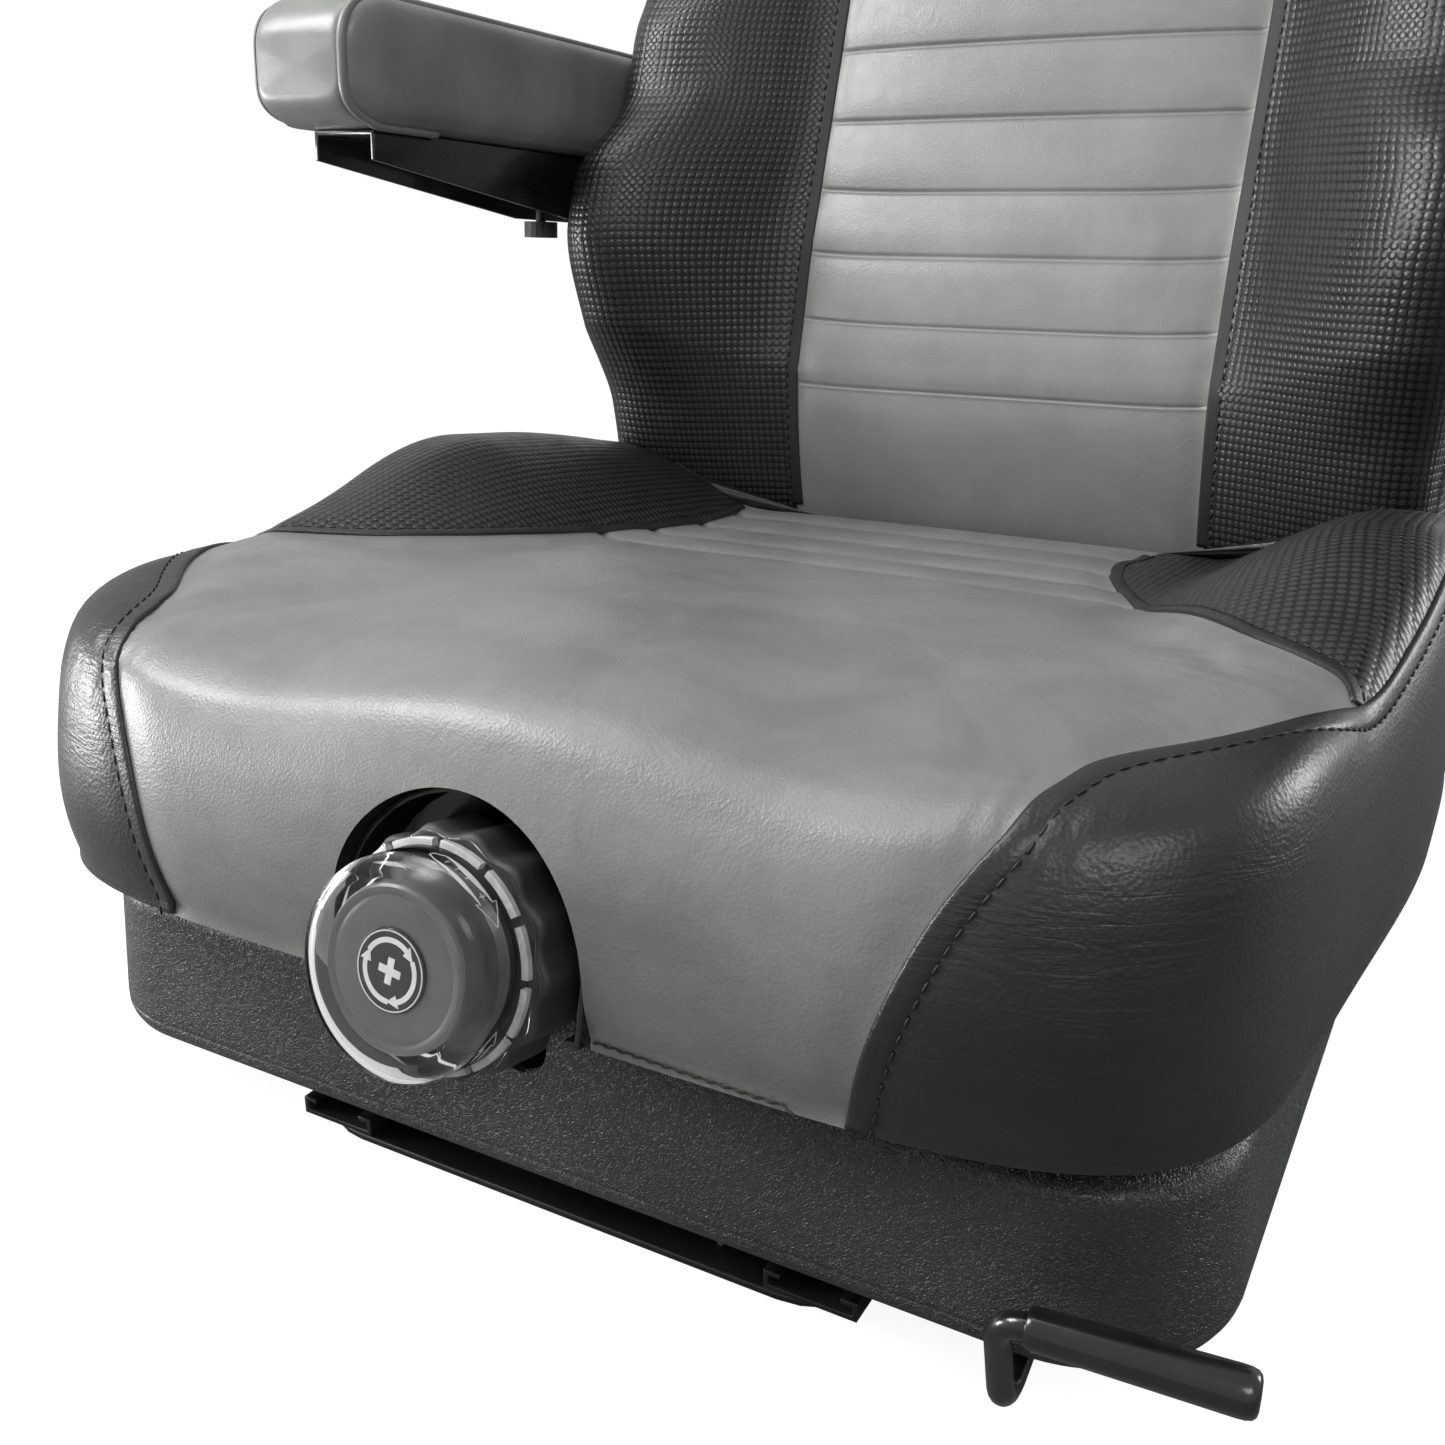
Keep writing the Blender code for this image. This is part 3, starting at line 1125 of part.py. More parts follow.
def rectangle(half_width, low, high):
    return [(-half_width, low), (half_width, low), (half_width, high), (-half_width, high)]


def make_back_panel(plastic):
    """A shallow moulded tray that closes the back between the legs."""
    near = BACK_PAN_SHEET + 3 * GAP
    outer = rectangle(PANEL_HALF_WIDTH, PANEL_BOTTOM, PANEL_TOP)
    panel = make_leaning_prism("back_panel", outer, (near, near + PANEL_DEPTH), plastic)
    inner = rectangle(PANEL_HALF_WIDTH - PANEL_WALL, PANEL_BOTTOM + PANEL_WALL, PANEL_TOP - PANEL_WALL)
    depth = (near - PANEL_WALL, near + PANEL_DEPTH - PANEL_WALL)
    cut(panel, make_leaning_prism("panel_hollow", inner, depth, plastic))
    start = (-RECLINE_HANDLE_REACH, ARM_PIVOT_Y, ARM_PIVOT_Z)
    end = (RECLINE_HANDLE_REACH, ARM_PIVOT_Y, ARM_PIVOT_Z)
    bore(panel, start, end, ARM_TUBE_RADIUS + RUNNING_GAP)
    return panel


def make_leg(name, sign, material):
    """The backrest's side plate, from the recline pivot up behind the cushion."""
    def rear_line(z, behind):
        return (back_rear_y(z) + behind, z)
    near = BACK_PAN_SHEET + 3 * GAP
    inner = BRACKET_X + BRACKET_THICKNESS + GAP
    outline = arc_points((RECLINE_Y, RECLINE_Z), BRACKET_EYE_RADIUS, 120, 320, 10)
    outline += [rear_line(LEG_HEEL_Z, near + LEG_DEPTH), rear_line(LEG_TOP_Z, near + LEG_DEPTH)]
    outline += [rear_line(LEG_TOP_Z, near), rear_line(LEG_KNEE_Z, near)]
    leg = make_prism(name, outline, on_side, (sign * inner, sign * (inner + BRACKET_THICKNESS)), material)
    reach = inner + 2 * BRACKET_THICKNESS
    bore(leg, (sign * BRACKET_X, RECLINE_Y, RECLINE_Z), (sign * reach, RECLINE_Y, RECLINE_Z), RECLINE_PIN_RADIUS)
    bore(leg, (sign * BRACKET_X, ARM_PIVOT_Y, ARM_PIVOT_Z), (sign * reach, ARM_PIVOT_Y, ARM_PIVOT_Z),
         ARM_TUBE_RADIUS)
    return leg


def make_recline_bracket(name, sign, material):
    """The seat's side plate: bolted under the pan, rising behind the cushion to the pivot."""
    top = PAN_FLOOR - GAP
    low = top - BRACKET_FOOT_DROP
    outline = [(BRACKET_FOOT_FRONT, low), (CUSHION_REAR, low)]
    outline += arc_points((RECLINE_Y, RECLINE_Z), BRACKET_EYE_RADIUS, 250, 435, 9)
    outline += [(CUSHION_REAR + 0.008, RECLINE_Z + 0.012), (CUSHION_REAR + 0.004, top)]
    outline += [(BRACKET_FOOT_FRONT, top)]
    inner = sign * BRACKET_X
    outer = sign * (BRACKET_X + BRACKET_THICKNESS)
    bracket = make_prism(name, outline, on_side, (inner, outer), material)
    pin_start = (sign * (BRACKET_X - LUG_PIN_PROUD / 2), RECLINE_Y, RECLINE_Z)
    pin_end = (sign * (BRACKET_X + 2 * BRACKET_THICKNESS + LUG_PIN_PROUD), RECLINE_Y, RECLINE_Z)
    join(bracket, make_rod(f"recline_pin_{name}", pin_start, pin_end, RECLINE_PIN_RADIUS, material))
    return bracket


def make_backrest(paint, steel, vinyl, plastic):
    pieces = [make_back_cushion(vinyl), make_back_panel(plastic)]
    outline = rectangle(PAN_HALF_WIDTH + 0.018, BACK_PAN_BOTTOM, BACK_PAN_TOP)
    pieces.append(make_leaning_prism("back_pan", outline, (GAP, GAP + BACK_PAN_SHEET), paint))
    for side, sign in SIDES.items():
        make_recline_bracket(f"recline_bracket_{side}", sign, paint)
        pieces.append(make_leg(f"back_leg_{side}", sign, paint))
    tube_end = CHANNEL_INNER_X + CHANNEL_WIDTH + LUG_PIN_PROUD / 2
    tube = make_rod("armrest_cross_tube", (-tube_end, ARM_PIVOT_Y, ARM_PIVOT_Z),
                    (tube_end, ARM_PIVOT_Y, ARM_PIVOT_Z), ARM_TUBE_RADIUS, paint, sides=20)
    pieces.append(tube)
    for side, sign in SIDES.items():
        start = (sign * (tube_end - GAP), ARM_PIVOT_Y, ARM_PIVOT_Z)
        end = (sign * (tube_end + TUBE_CAP_THICKNESS), ARM_PIVOT_Y, ARM_PIVOT_Z)
        join(tube, make_rod(f"tube_cap_{side}", start, end, ARM_TUBE_RADIUS * 1.25, paint, sides=20))
    hang(pieces, make_pivot("recline_pivot", (0, RECLINE_Y, RECLINE_Z)))


def make_recline_lever(steel, grip_plastic):
    """The handle on the occupant's right that frees the recline."""
    inner = BRACKET_X + 2 * BRACKET_THICKNESS + 3 * GAP + LUG_PIN_PROUD
    corners = [(-inner, RECLINE_Y, RECLINE_Z), (-RECLINE_HANDLE_REACH, RECLINE_Y, RECLINE_Z)]
    corners += [(-RECLINE_HANDLE_REACH, RECLINE_Y - RECLINE_GRIP_LENGTH - 0.030, RECLINE_Z - 0.012)]
    path = bend_path(corners, 0.016)
    rod = make_bent_rod("recline_rod", path, RECLINE_HANDLE_RADIUS, steel, sides=12)
    end = Vector(corners[-1])
    direction = (end - Vector(corners[1])).normalized()
    hole = RECLINE_HANDLE_RADIUS + GAP
    profile = [(0, -GRIP_WALL), (RECLINE_GRIP_RADIUS * 0.8, -GRIP_WALL), (RECLINE_GRIP_RADIUS, GRIP_WALL)]
    profile += [(RECLINE_GRIP_RADIUS, RECLINE_GRIP_LENGTH), (hole, RECLINE_GRIP_LENGTH), (hole, -GAP), (0, -GAP)]
    grip = make_turned("recline_grip", profile, end, -direction, grip_plastic, sides=20)
    hang([rod, grip], make_pivot("recline_lever_pivot", (-inner, RECLINE_Y, RECLINE_Z)))


# Armrests

def armrest_point(along, height):
    """Y and Z of a point in the armrest's own sloped frame, measured from its pivot."""
    cosine = math.cos(ARMREST_SLOPE)
    sine = math.sin(ARMREST_SLOPE)
    return (ARM_PIVOT_Y - along * cosine + height * sine, ARM_PIVOT_Z + along * sine + height * cosine)


def on_armrest(along, height, depth):
    return (depth, *armrest_point(along, height))


def channel_outline(drop):
    """Side view of the armrest's channel. drop lowers its top edge, for the hollow inside."""
    top = ARMREST_PAD_BOTTOM - GAP - drop
    end = 0.004 if drop else 0.0
    outline = [(CHANNEL_FRONT + end, top), (CHANNEL_FRONT + end, top - CHANNEL_FRONT_DROP - drop)]
    outline += [(ADJUSTER_DISTANCE, top - CHANNEL_REAR_DROP - drop), (0.090, top - CHANNEL_REAR_DROP - drop)]
    reach = CHANNEL_EYE_RADIUS + 2 * drop
    outline += arc_points((0, 0), reach, 290, 60, 12) if drop == 0 else [(-0.03, -0.03), (-0.03, 0.03)]
    outline += [(0.045, top)] if drop == 0 else [(0.030, 0.03), (0.045, top)]
    return outline


def make_armrest(side, sign, vinyl, paint, plastic):
    outer_x = CHANNEL_INNER_X + CHANNEL_WIDTH
    ends = (sign * CHANNEL_INNER_X, sign * outer_x)
    channel = make_prism(f"armrest_channel_{side}", channel_outline(0), on_armrest, ends, paint)
    inside = (sign * (CHANNEL_INNER_X + CHANNEL_SHEET), sign * (outer_x - CHANNEL_SHEET))
    hollow = make_prism(f"armrest_hollow_{side}", channel_outline(CHANNEL_SHEET), on_armrest, inside, paint)
    cut(channel, hollow)
    bore(channel, (sign * (CHANNEL_INNER_X - CHANNEL_SHEET), ARM_PIVOT_Y, ARM_PIVOT_Z),
         (sign * (outer_x + CHANNEL_SHEET), ARM_PIVOT_Y, ARM_PIVOT_Z), ARM_TUBE_RADIUS)
    outline = [(ARMREST_PAD_REAR, ARMREST_PAD_BOTTOM), (ARMREST_PAD_FRONT, ARMREST_PAD_BOTTOM)]
    outline += [(ARMREST_PAD_FRONT, ARMREST_PAD_TOP), (ARMREST_PAD_REAR, ARMREST_PAD_TOP)]
    pad_ends = (sign * ARMREST_INNER_X, sign * (ARMREST_INNER_X + ARMREST_WIDTH))
    pad = make_prism(f"armrest_pad_{side}", outline, on_armrest, pad_ends, vinyl)
    soften(pad, ARMREST_PAD_ROUND, segments=3)
    pivot = make_pivot(f"armrest_pivot_{side}", (0, ARM_PIVOT_Y, ARM_PIVOT_Z))
    hang([channel, pad], pivot)
    make_adjuster(f"armrest_adjuster_{side}", sign * (CHANNEL_INNER_X + CHANNEL_WIDTH / 2), plastic)


def make_adjuster(name, x, plastic):
    """The thumb wheel and its screw under the channel."""
    web_under = ARMREST_PAD_BOTTOM - 2 * GAP - CHANNEL_SHEET
    wheel_top = ARMREST_PAD_BOTTOM - GAP - CHANNEL_REAR_DROP - RUNNING_GAP * 3
    origin = Vector(on_armrest(ADJUSTER_DISTANCE, web_under, x))
    axis = Vector(on_armrest(ADJUSTER_DISTANCE, web_under - 1, x)) - origin
    stem = web_under - wheel_top
    profile = [(0, 0), (ADJUSTER_STEM_RADIUS, 0), (ADJUSTER_STEM_RADIUS, stem), (ADJUSTER_RADIUS, stem)]
    profile += [(ADJUSTER_RADIUS, stem + ADJUSTER_THICKNESS), (0, stem + ADJUSTER_THICKNESS)]
    wheel = make_turned(name, profile, origin, axis, plastic, sides=20)
    hang([wheel], make_pivot(f"{name}_axis", origin))


def build_seat():
    clear_scene()
    paint = make_material("black_powder_coat", (0.025, 0.025, 0.027), 0.45, 0.3)
    steel = make_material("zinc_plated_steel", (0.55, 0.55, 0.53), 0.35, 1.0)
    cover_plastic = make_material("grained_black_plastic", (0.035, 0.036, 0.038), 0.55)
    gloss_plastic = make_material("gloss_black_plastic", (0.012, 0.012, 0.013), 0.18)
    knob_plastic = make_material("matt_black_plastic", (0.02, 0.02, 0.021), 0.6)
    clear_plastic = make_material("clear_plastic", (0.9, 0.92, 0.93), 0.08)
    dial_grey = make_material("dial_grey", (0.35, 0.36, 0.36), 0.45)
    emblem_black = make_material("emblem_black", (0.03, 0.03, 0.03), 0.4)
    nylon = make_material("white_nylon", (0.75, 0.74, 0.70), 0.5)
    vinyl = make_material("grey_vinyl", (0.14, 0.145, 0.15), 0.42)
    back_vinyl = make_material("black_vinyl", (0.018, 0.018, 0.019), 0.4)
    make_base(paint, steel)
    make_carriage(paint, steel, cover_plastic)
    make_slide_lever(gloss_plastic, gloss_plastic)
    make_scissor(paint, steel, nylon)
    make_upper_frame(paint, steel)
    make_cushion(vinyl)
    make_seat_pan(paint)
    make_bezel(gloss_plastic)
    make_knob(knob_plastic, clear_plastic, dial_grey, emblem_black, steel)
    make_springs(steel, paint)
    make_damper(paint, steel)
    make_backrest(paint, steel, back_vinyl, cover_plastic)
    make_recline_lever(gloss_plastic, gloss_plastic)
    for side, sign in SIDES.items():
        make_armrest(side, sign, vinyl, paint, knob_plastic)


build_seat()
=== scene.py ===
# %% [markdown]
# # A low tractor suspension seat
# This notebook dresses a measured model of the seat. The metal and plastic pieces that already have the
# right shape only get a finish. The cushions, covers and the knob get detailed pieces of their own, in the
# same place. All sizes are metres, +Z is up, the seat faces -Y and the occupant's left side is +X.

# %% Load the measured model
import json
import math

import bmesh
import bpy
import numpy as np
from mathutils import Matrix, Vector
from mathutils.bvhtree import BVHTree
from mathutils.geometry import tessellate_polygon


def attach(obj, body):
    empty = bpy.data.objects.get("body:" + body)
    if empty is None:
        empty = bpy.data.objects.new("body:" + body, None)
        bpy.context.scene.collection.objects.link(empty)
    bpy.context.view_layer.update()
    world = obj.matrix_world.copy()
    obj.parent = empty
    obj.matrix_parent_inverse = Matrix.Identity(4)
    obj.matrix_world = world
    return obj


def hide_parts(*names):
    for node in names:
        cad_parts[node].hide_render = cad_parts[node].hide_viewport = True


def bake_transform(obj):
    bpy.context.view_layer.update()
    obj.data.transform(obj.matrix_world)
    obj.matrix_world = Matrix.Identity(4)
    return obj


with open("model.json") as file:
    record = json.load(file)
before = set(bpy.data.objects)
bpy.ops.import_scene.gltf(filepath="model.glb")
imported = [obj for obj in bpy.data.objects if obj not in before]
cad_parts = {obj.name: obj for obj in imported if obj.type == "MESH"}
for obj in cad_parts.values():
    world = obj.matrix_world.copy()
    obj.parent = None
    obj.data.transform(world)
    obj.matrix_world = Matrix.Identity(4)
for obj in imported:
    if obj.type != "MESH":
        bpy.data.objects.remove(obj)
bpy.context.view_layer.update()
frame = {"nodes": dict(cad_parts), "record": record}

scene = bpy.context.scene

# %% [markdown]
# ## Small mesh helpers
# Most pieces here are a grid of points: rings or rows joined by faces. One helper turns such a grid into an
# object, and others make smooth curves and sweep a section along them. A curve object with a bevel would do
# for a round wire, but a seam's folded edge has a flat side that must lie on the vinyl, so it is swept here.

# %% Helpers for points and meshes
def smooth_step(value, start, end):
    t = np.clip((np.asarray(value, float) - start) / (end - start), 0, 1)
    return t * t * (3 - 2 * t)


def smooth_curve(points, count, closed=False):
    """Points on a smooth curve through the given ones."""
    p = np.asarray(points, float)
    if closed:
        p = np.vstack([p[-1], p, p[0], p[1]])
    else:
        p = np.vstack([2 * p[0] - p[1], p, 2 * p[-1] - p[-2]])
    spans = len(p) - 3
    t = np.linspace(0, spans, count, endpoint=not closed)
    i = np.minimum(t.astype(int), spans - 1)
    f = (t - i)[:, None]
    a, b, c, d = p[i], p[i + 1], p[i + 2], p[i + 3]
    return 0.5 * (2 * b + (c - a) * f + (2 * a - 5 * b + 4 * c - d) * f ** 2
                  + (3 * b - a - 3 * c + d) * f ** 3)


def lengths_along(line):
    """Distance along a line from its first point to each point."""
    return np.r_[0, np.cumsum(np.linalg.norm(np.diff(line, axis=0), axis=1))]


def points_at(line, length, at):
    return np.column_stack([np.interp(at, length, line[:, k]) for k in range(line.shape[1])])


def even_points(points, step):
    """The same curve with its points an even step apart."""
    p = np.asarray(points, float)
    length = lengths_along(p)
    count = max(int(round(length[-1] / step)), 2)
    return points_at(p, length, np.linspace(0, length[-1], count + 1))


def even_loop(points, count):
    """A closed line cut into even steps from its first point."""
    closed = np.vstack([points, points[:1]])
    length = lengths_along(closed)
    return points_at(closed, length, np.linspace(0, length[-1], count, endpoint=False))


def put_in_scene(name, data):
    item = bpy.data.objects.new(name, data)
    scene.collection.objects.link(item)
    return item


def add_object(name, verts, faces, materials, smooth=True, angle=None):
    """A mesh object from points and faces, with its faces turned outwards."""
    mesh = bpy.data.meshes.new(name)
    mesh.from_pydata([tuple(v) for v in verts], [], [tuple(f) for f in faces])
    bm = bmesh.new()
    bm.from_mesh(mesh)
    bmesh.ops.recalc_face_normals(bm, faces=bm.faces)
    bm.to_mesh(mesh)
    bm.free()
    for material in materials if isinstance(materials, (list, tuple)) else [materials]:
        mesh.materials.append(material)
    if smooth:
        mesh.shade_smooth()
    if angle:
        mesh.set_sharp_from_angle(angle=math.radians(angle))
    return put_in_scene(name, mesh)


def grid_faces(rows, columns, wrap_rows=False):
    """Faces of a grid whose columns close up."""
    faces = []
    for r in range(rows if wrap_rows else rows - 1):
        for c in range(columns):
            d = (c + 1) % columns
            s = (r + 1) % rows
            faces.append((r * columns + c, r * columns + d, s * columns + d, s * columns + c))
    return faces


def loft(name, rings, materials, wrap_rows=False, angle=None):
    """Join rings of equal length, with a fan over each end unless the last ring meets the first."""
    rings = np.asarray(rings, float)
    rows, columns = rings.shape[:2]
    verts = rings.reshape(-1, 3).tolist()
    faces = grid_faces(rows, columns, wrap_rows)
    if not wrap_rows:
        for row in (0, rows - 1):
            verts.append(rings[row].mean(axis=0).tolist())
            start, centre = row * columns, len(verts) - 1
            faces += [(start + c, start + (c + 1) % columns, centre) for c in range(columns)]
    return add_object(name, verts, faces, materials, angle=angle)


def sweep(name, points, section, material, normals=None):
    """Sweep a section (side, up) along points. up follows the normals where they are given."""
    p = np.asarray(points, float)
    ahead = np.gradient(p, axis=0)
    ahead /= np.linalg.norm(ahead, axis=1)[:, None]
    if normals is None:
        ups = []
        up = np.array(Vector(ahead[0]).orthogonal().normalized())
        for direction in ahead:
            up = up - direction * up.dot(direction)
            up /= np.linalg.norm(up)
            ups.append(up)
        normals = np.array(ups)
    normals = normals - ahead * (normals * ahead).sum(axis=1)[:, None]
    normals /= np.linalg.norm(normals, axis=1)[:, None]
    side = np.cross(ahead, normals)
    rings = p[:, None] + side[:, None] * section[:, :1] + normals[:, None] * section[:, 1:]
    return loft(name, rings, material)


def circle_section(radius, sides=12):
    angle = np.linspace(0, 2 * np.pi, sides, endpoint=False)
    return np.column_stack([radius * np.cos(angle), radius * np.sin(angle)])


def turned(name, profile, material, place, sides=96, angle=30):
    """Turn (radius, depth) points. place puts across, up and depth into the seat's frame."""
    turn = np.linspace(0, 2 * np.pi, sides, endpoint=False)
    rings = [[place(r * math.cos(a), r * math.sin(a), d) for a in turn] for r, d in profile]
    return loft(name, rings, material, angle=angle)


print("helpers ready")

# %% [markdown]
# ## Camera
# The photograph was taken from the front, a little to the occupant's left and from above. A camera with the
# same place, turn and lens makes a picture that can be laid over it. The numbers were found by matching the
# seat's own straight edges.

# %% Camera at the photograph's view
CAMERA_PLACE = Vector((0.2854, -0.5655, 0.362))
CAMERA_AZIMUTH = math.radians(29.4)
CAMERA_DOWN = math.radians(19.4)
camera_data = bpy.data.cameras.new("photo_camera")
SENSOR, PICTURE_WIDTH, FOCAL_PIXELS = 36, 1445, 1480
camera_data.sensor_width = SENSOR
camera_data.lens = SENSOR * FOCAL_PIXELS / PICTURE_WIDTH
camera = put_in_scene("photo_camera", camera_data)
looking = Vector((-math.sin(CAMERA_AZIMUTH) * math.cos(CAMERA_DOWN),
                  math.cos(CAMERA_AZIMUTH) * math.cos(CAMERA_DOWN), -math.sin(CAMERA_DOWN)))
camera.location = CAMERA_PLACE
camera.rotation_euler = looking.to_track_quat("-Z", "Y").to_euler()
camera_data.clip_start = 0.02
scene.camera = camera
print("lens", round(camera_data.lens, 2))

# %% [markdown]
# ## Node groups for surface effects
# Vinyl, leather and moulded plastic are told apart by their fine relief. Each effect is a node group with
# named sizes, so that every material can use it with its own values. A group gives out only numbers. The
# shader itself stays in the material, where it can be seen and exported.

# %% Building blocks for materials
def new_group(name, size, value, outputs=("Height",)):
    """A shader group that takes a place and one size: its tree, both inputs and its output sockets."""
    group = bpy.data.node_groups.new(name, "ShaderNodeTree")
    group.interface.new_socket("Vector", in_out="INPUT", socket_type="NodeSocketVector")
    group.interface.new_socket(size, in_out="INPUT", socket_type="NodeSocketFloat").default_value = value
    for label in outputs:
        group.interface.new_socket(label, in_out="OUTPUT", socket_type="NodeSocketFloat")
    given = group.nodes.new("NodeGroupInput")
    return group, given.outputs[0], given.outputs[1], group.nodes.new("NodeGroupOutput").inputs


def plug(tree, value, socket):
    """Join an output to a socket, or give the socket a plain value."""
    if hasattr(value, "links"):
        tree.links.new(value, socket)
    else:
        socket.default_value = value


def math_node(tree, operation, a, b=None):
    node = tree.nodes.new("ShaderNodeMath")
    node.operation = operation
    plug(tree, a, node.inputs[0])
    if b is not None:
        plug(tree, b, node.inputs[1])
    return node.outputs[0]


def noise(tree, vector, scale, detail=2.0, roughness=0.5, distortion=0.0):
    node = tree.nodes.new("ShaderNodeTexNoise")
    values = {"Vector": vector, "Scale": scale, "Detail": detail, "Roughness": roughness,
              "Distortion": distortion}
    for label, value in values.items():
        plug(tree, value, node.inputs[label])
    return node.outputs["Fac"]


def soft_cells(tree, vector, scale):
    node = tree.nodes.new("ShaderNodeTexVoronoi")
    node.feature = "SMOOTH_F1"
    node.inputs["Smoothness"].default_value = 0.6
    plug(tree, vector, node.inputs["Vector"])
    plug(tree, scale, node.inputs["Scale"])
    return node.outputs["Distance"]


def remap(tree, value, low, high, new_low=0.0, new_high=1.0, smooth=False):
    node = tree.nodes.new("ShaderNodeMapRange")
    node.interpolation_type = "SMOOTHSTEP" if smooth else "LINEAR"
    tree.links.new(value, node.inputs["Value"])
    for label, number in zip(("From Min", "From Max", "To Min", "To Max"), (low, high, new_low, new_high)):
        node.inputs[label].default_value = number
    return node.outputs["Result"]


def from_half(tree, value):
    """How far a value is from one half."""
    return math_node(tree, "ABSOLUTE", math_node(tree, "SUBTRACT", value, 0.5))


print("building blocks ready")

# %% The five effects
# Leather grain: small pebbles with fine creases between them
LEATHER_GRAIN, place, scale, out = new_group("Leather grain", "Scale", 900.0)
cells = soft_cells(LEATHER_GRAIN, place, scale)
fine = noise(LEATHER_GRAIN, place, math_node(LEATHER_GRAIN, "MULTIPLY", scale, 2.3), 2)
fine = math_node(LEATHER_GRAIN, "MULTIPLY", fine, 0.45)
plug(LEATHER_GRAIN, math_node(LEATHER_GRAIN, "ADD", cells, fine), out["Height"])

# Clouding: broad, soft changes of tone, as on vinyl that has been handled
CLOUDING, place, scale, out = new_group("Clouding", "Scale", 14.0, ("Tone", "Wear"))
broad = noise(CLOUDING, place, scale, 5, 0.62, 0.4)
speck = noise(CLOUDING, place, math_node(CLOUDING, "MULTIPLY", scale, 7.0), 3, 0.6)
plug(CLOUDING, remap(CLOUDING, broad, 0.32, 0.68, smooth=True), out["Tone"])
plug(CLOUDING, remap(CLOUDING, speck, 0.3, 0.72, smooth=True), out["Wear"])

# Tension wrinkles: fine waves that run one way, present only in patches
WRINKLES, place, scale, out = new_group("Tension wrinkles", "Scale", 60.0)
ridge = from_half(WRINKLES, noise(WRINKLES, place, scale, 3, 0.55, 1.2))
ridge = remap(WRINKLES, ridge, 0.0, 0.1, smooth=True)
patch = noise(WRINKLES, place, math_node(WRINKLES, "MULTIPLY", scale, 0.12), 2)
patch = remap(WRINKLES, patch, 0.42, 0.6, smooth=True)
lowered = math_node(WRINKLES, "MULTIPLY", math_node(WRINKLES, "SUBTRACT", ridge, 1.0), patch)
plug(WRINKLES, lowered, out["Height"])

# Woven relief: a square grid of small raised pads
WOVEN, place, pitch, out = new_group("Woven relief", "Pitch", 0.0035)
split = WOVEN.nodes.new("ShaderNodeSeparateXYZ")
plug(WOVEN, place, split.inputs[0])
squares = []
for axis in ("X", "Y"):
    step = math_node(WOVEN, "FRACT", math_node(WOVEN, "DIVIDE", split.outputs[axis], pitch))
    squares.append(math_node(WOVEN, "POWER", from_half(WOVEN, step), 2.0))
round_pad = math_node(WOVEN, "SQRT", math_node(WOVEN, "ADD", *squares))
plug(WOVEN, remap(WOVEN, round_pad, 0.2, 0.56, 1.0, 0.0, smooth=True), out["Height"])

# Pebble grain: the etched skin of a moulded plastic cover
PEBBLE, place, scale, out = new_group("Pebble grain", "Scale", 420.0)
worms = from_half(PEBBLE, noise(PEBBLE, place, scale, 1.0, 0.4, 1.6))
plug(PEBBLE, remap(PEBBLE, worms, 0.02, 0.14, smooth=True), out["Height"])
print("groups:", len(bpy.data.node_groups))

# %% [markdown]
# ## Finishes
# Every finish starts from one Principled shader. A small helper adds the groups that it needs: the colour is
# mixed by a mask, the roughness moves a little with it, and the heights go through Bump nodes in a row.

# %% A helper that lays effects over a Principled shader
def mix_colours(tree, factor, first, second):
    node = tree.nodes.new("ShaderNodeMix")
    node.data_type = "RGBA"
    for label, value in (("Factor", factor), ("A", first), ("B", second)):
        plug(tree, value, node.inputs[label])
    return node.outputs["Result"]


def group_node(tree, group, vector, value):
    """A group put to use: its place comes from vector, its size is value."""
    node = tree.nodes.new("ShaderNodeGroup")
    node.node_tree = group
    tree.links.new(vector, node.inputs["Vector"])
    node.inputs[1].default_value = value
    return node.outputs


def finish(name, colour, roughness, metallic=0.0, second=None, rough_second=None, clouds=14.0,
           bumps=(), uv=None, coat=0.0, coat_rough=0.1, painted_gap_shade=None, **extra):
    """bumps are (group, value, strength, depth, uses the UV map) from coarse to fine."""
    material = bpy.data.materials.new(name)
    material.use_nodes = True
    tree = material.node_tree
    shader = tree.nodes["Principled BSDF"]
    plain = {"Base Color": (*colour, 1), "Roughness": roughness, "Metallic": metallic, "Coat Weight": coat,
             "Coat Roughness": coat_rough}
    for label, value in (plain | extra).items():
        shader.inputs[label].default_value = value
    place = tree.nodes.new("ShaderNodeTexCoord").outputs["Object"]
    surface = place
    if uv:
        named = tree.nodes.new("ShaderNodeUVMap")
        named.uv_map = uv
        surface = named.outputs["UV"]
    if second is not None:
        tone = group_node(tree, CLOUDING, place, clouds)
        tinted = mix_colours(tree, tone["Tone"], (*colour, 1), (*second, 1))
        plug(tree, tinted, shader.inputs["Base Color"])
        if rough_second is not None:
            plug(tree, remap(tree, tone["Wear"], 0, 1, roughness, rough_second), shader.inputs["Roughness"])
    last = None
    first_height = None
    for kind, value, strength, depth, use_uv in bumps:
        vector = surface if use_uv else place
        if isinstance(value, tuple):
            value, stretch = value
            mapping = tree.nodes.new("ShaderNodeMapping")
            mapping.inputs["Scale"].default_value = stretch
            tree.links.new(vector, mapping.inputs["Vector"])
            vector = mapping.outputs["Vector"]
        height = group_node(tree, kind, vector, value)["Height"]
        first_height = first_height or height
        bump = tree.nodes.new("ShaderNodeBump")
        bump.inputs["Strength"].default_value = strength
        bump.inputs["Distance"].default_value = depth
        tree.links.new(height, bump.inputs["Height"])
        if last is not None:
            tree.links.new(last, bump.inputs["Normal"])
        last = bump.outputs["Normal"]
    if last is not None:
        tree.links.new(last, shader.inputs["Normal"])
    if painted_gap_shade is not None:
        # Painted shade: the low parts of the coarsest relief get a darker colour, as shade between the pads
        plug(tree, mix_colours(tree, first_height, (*painted_gap_shade, 1), tinted), shader.inputs["Base Color"])
    return material
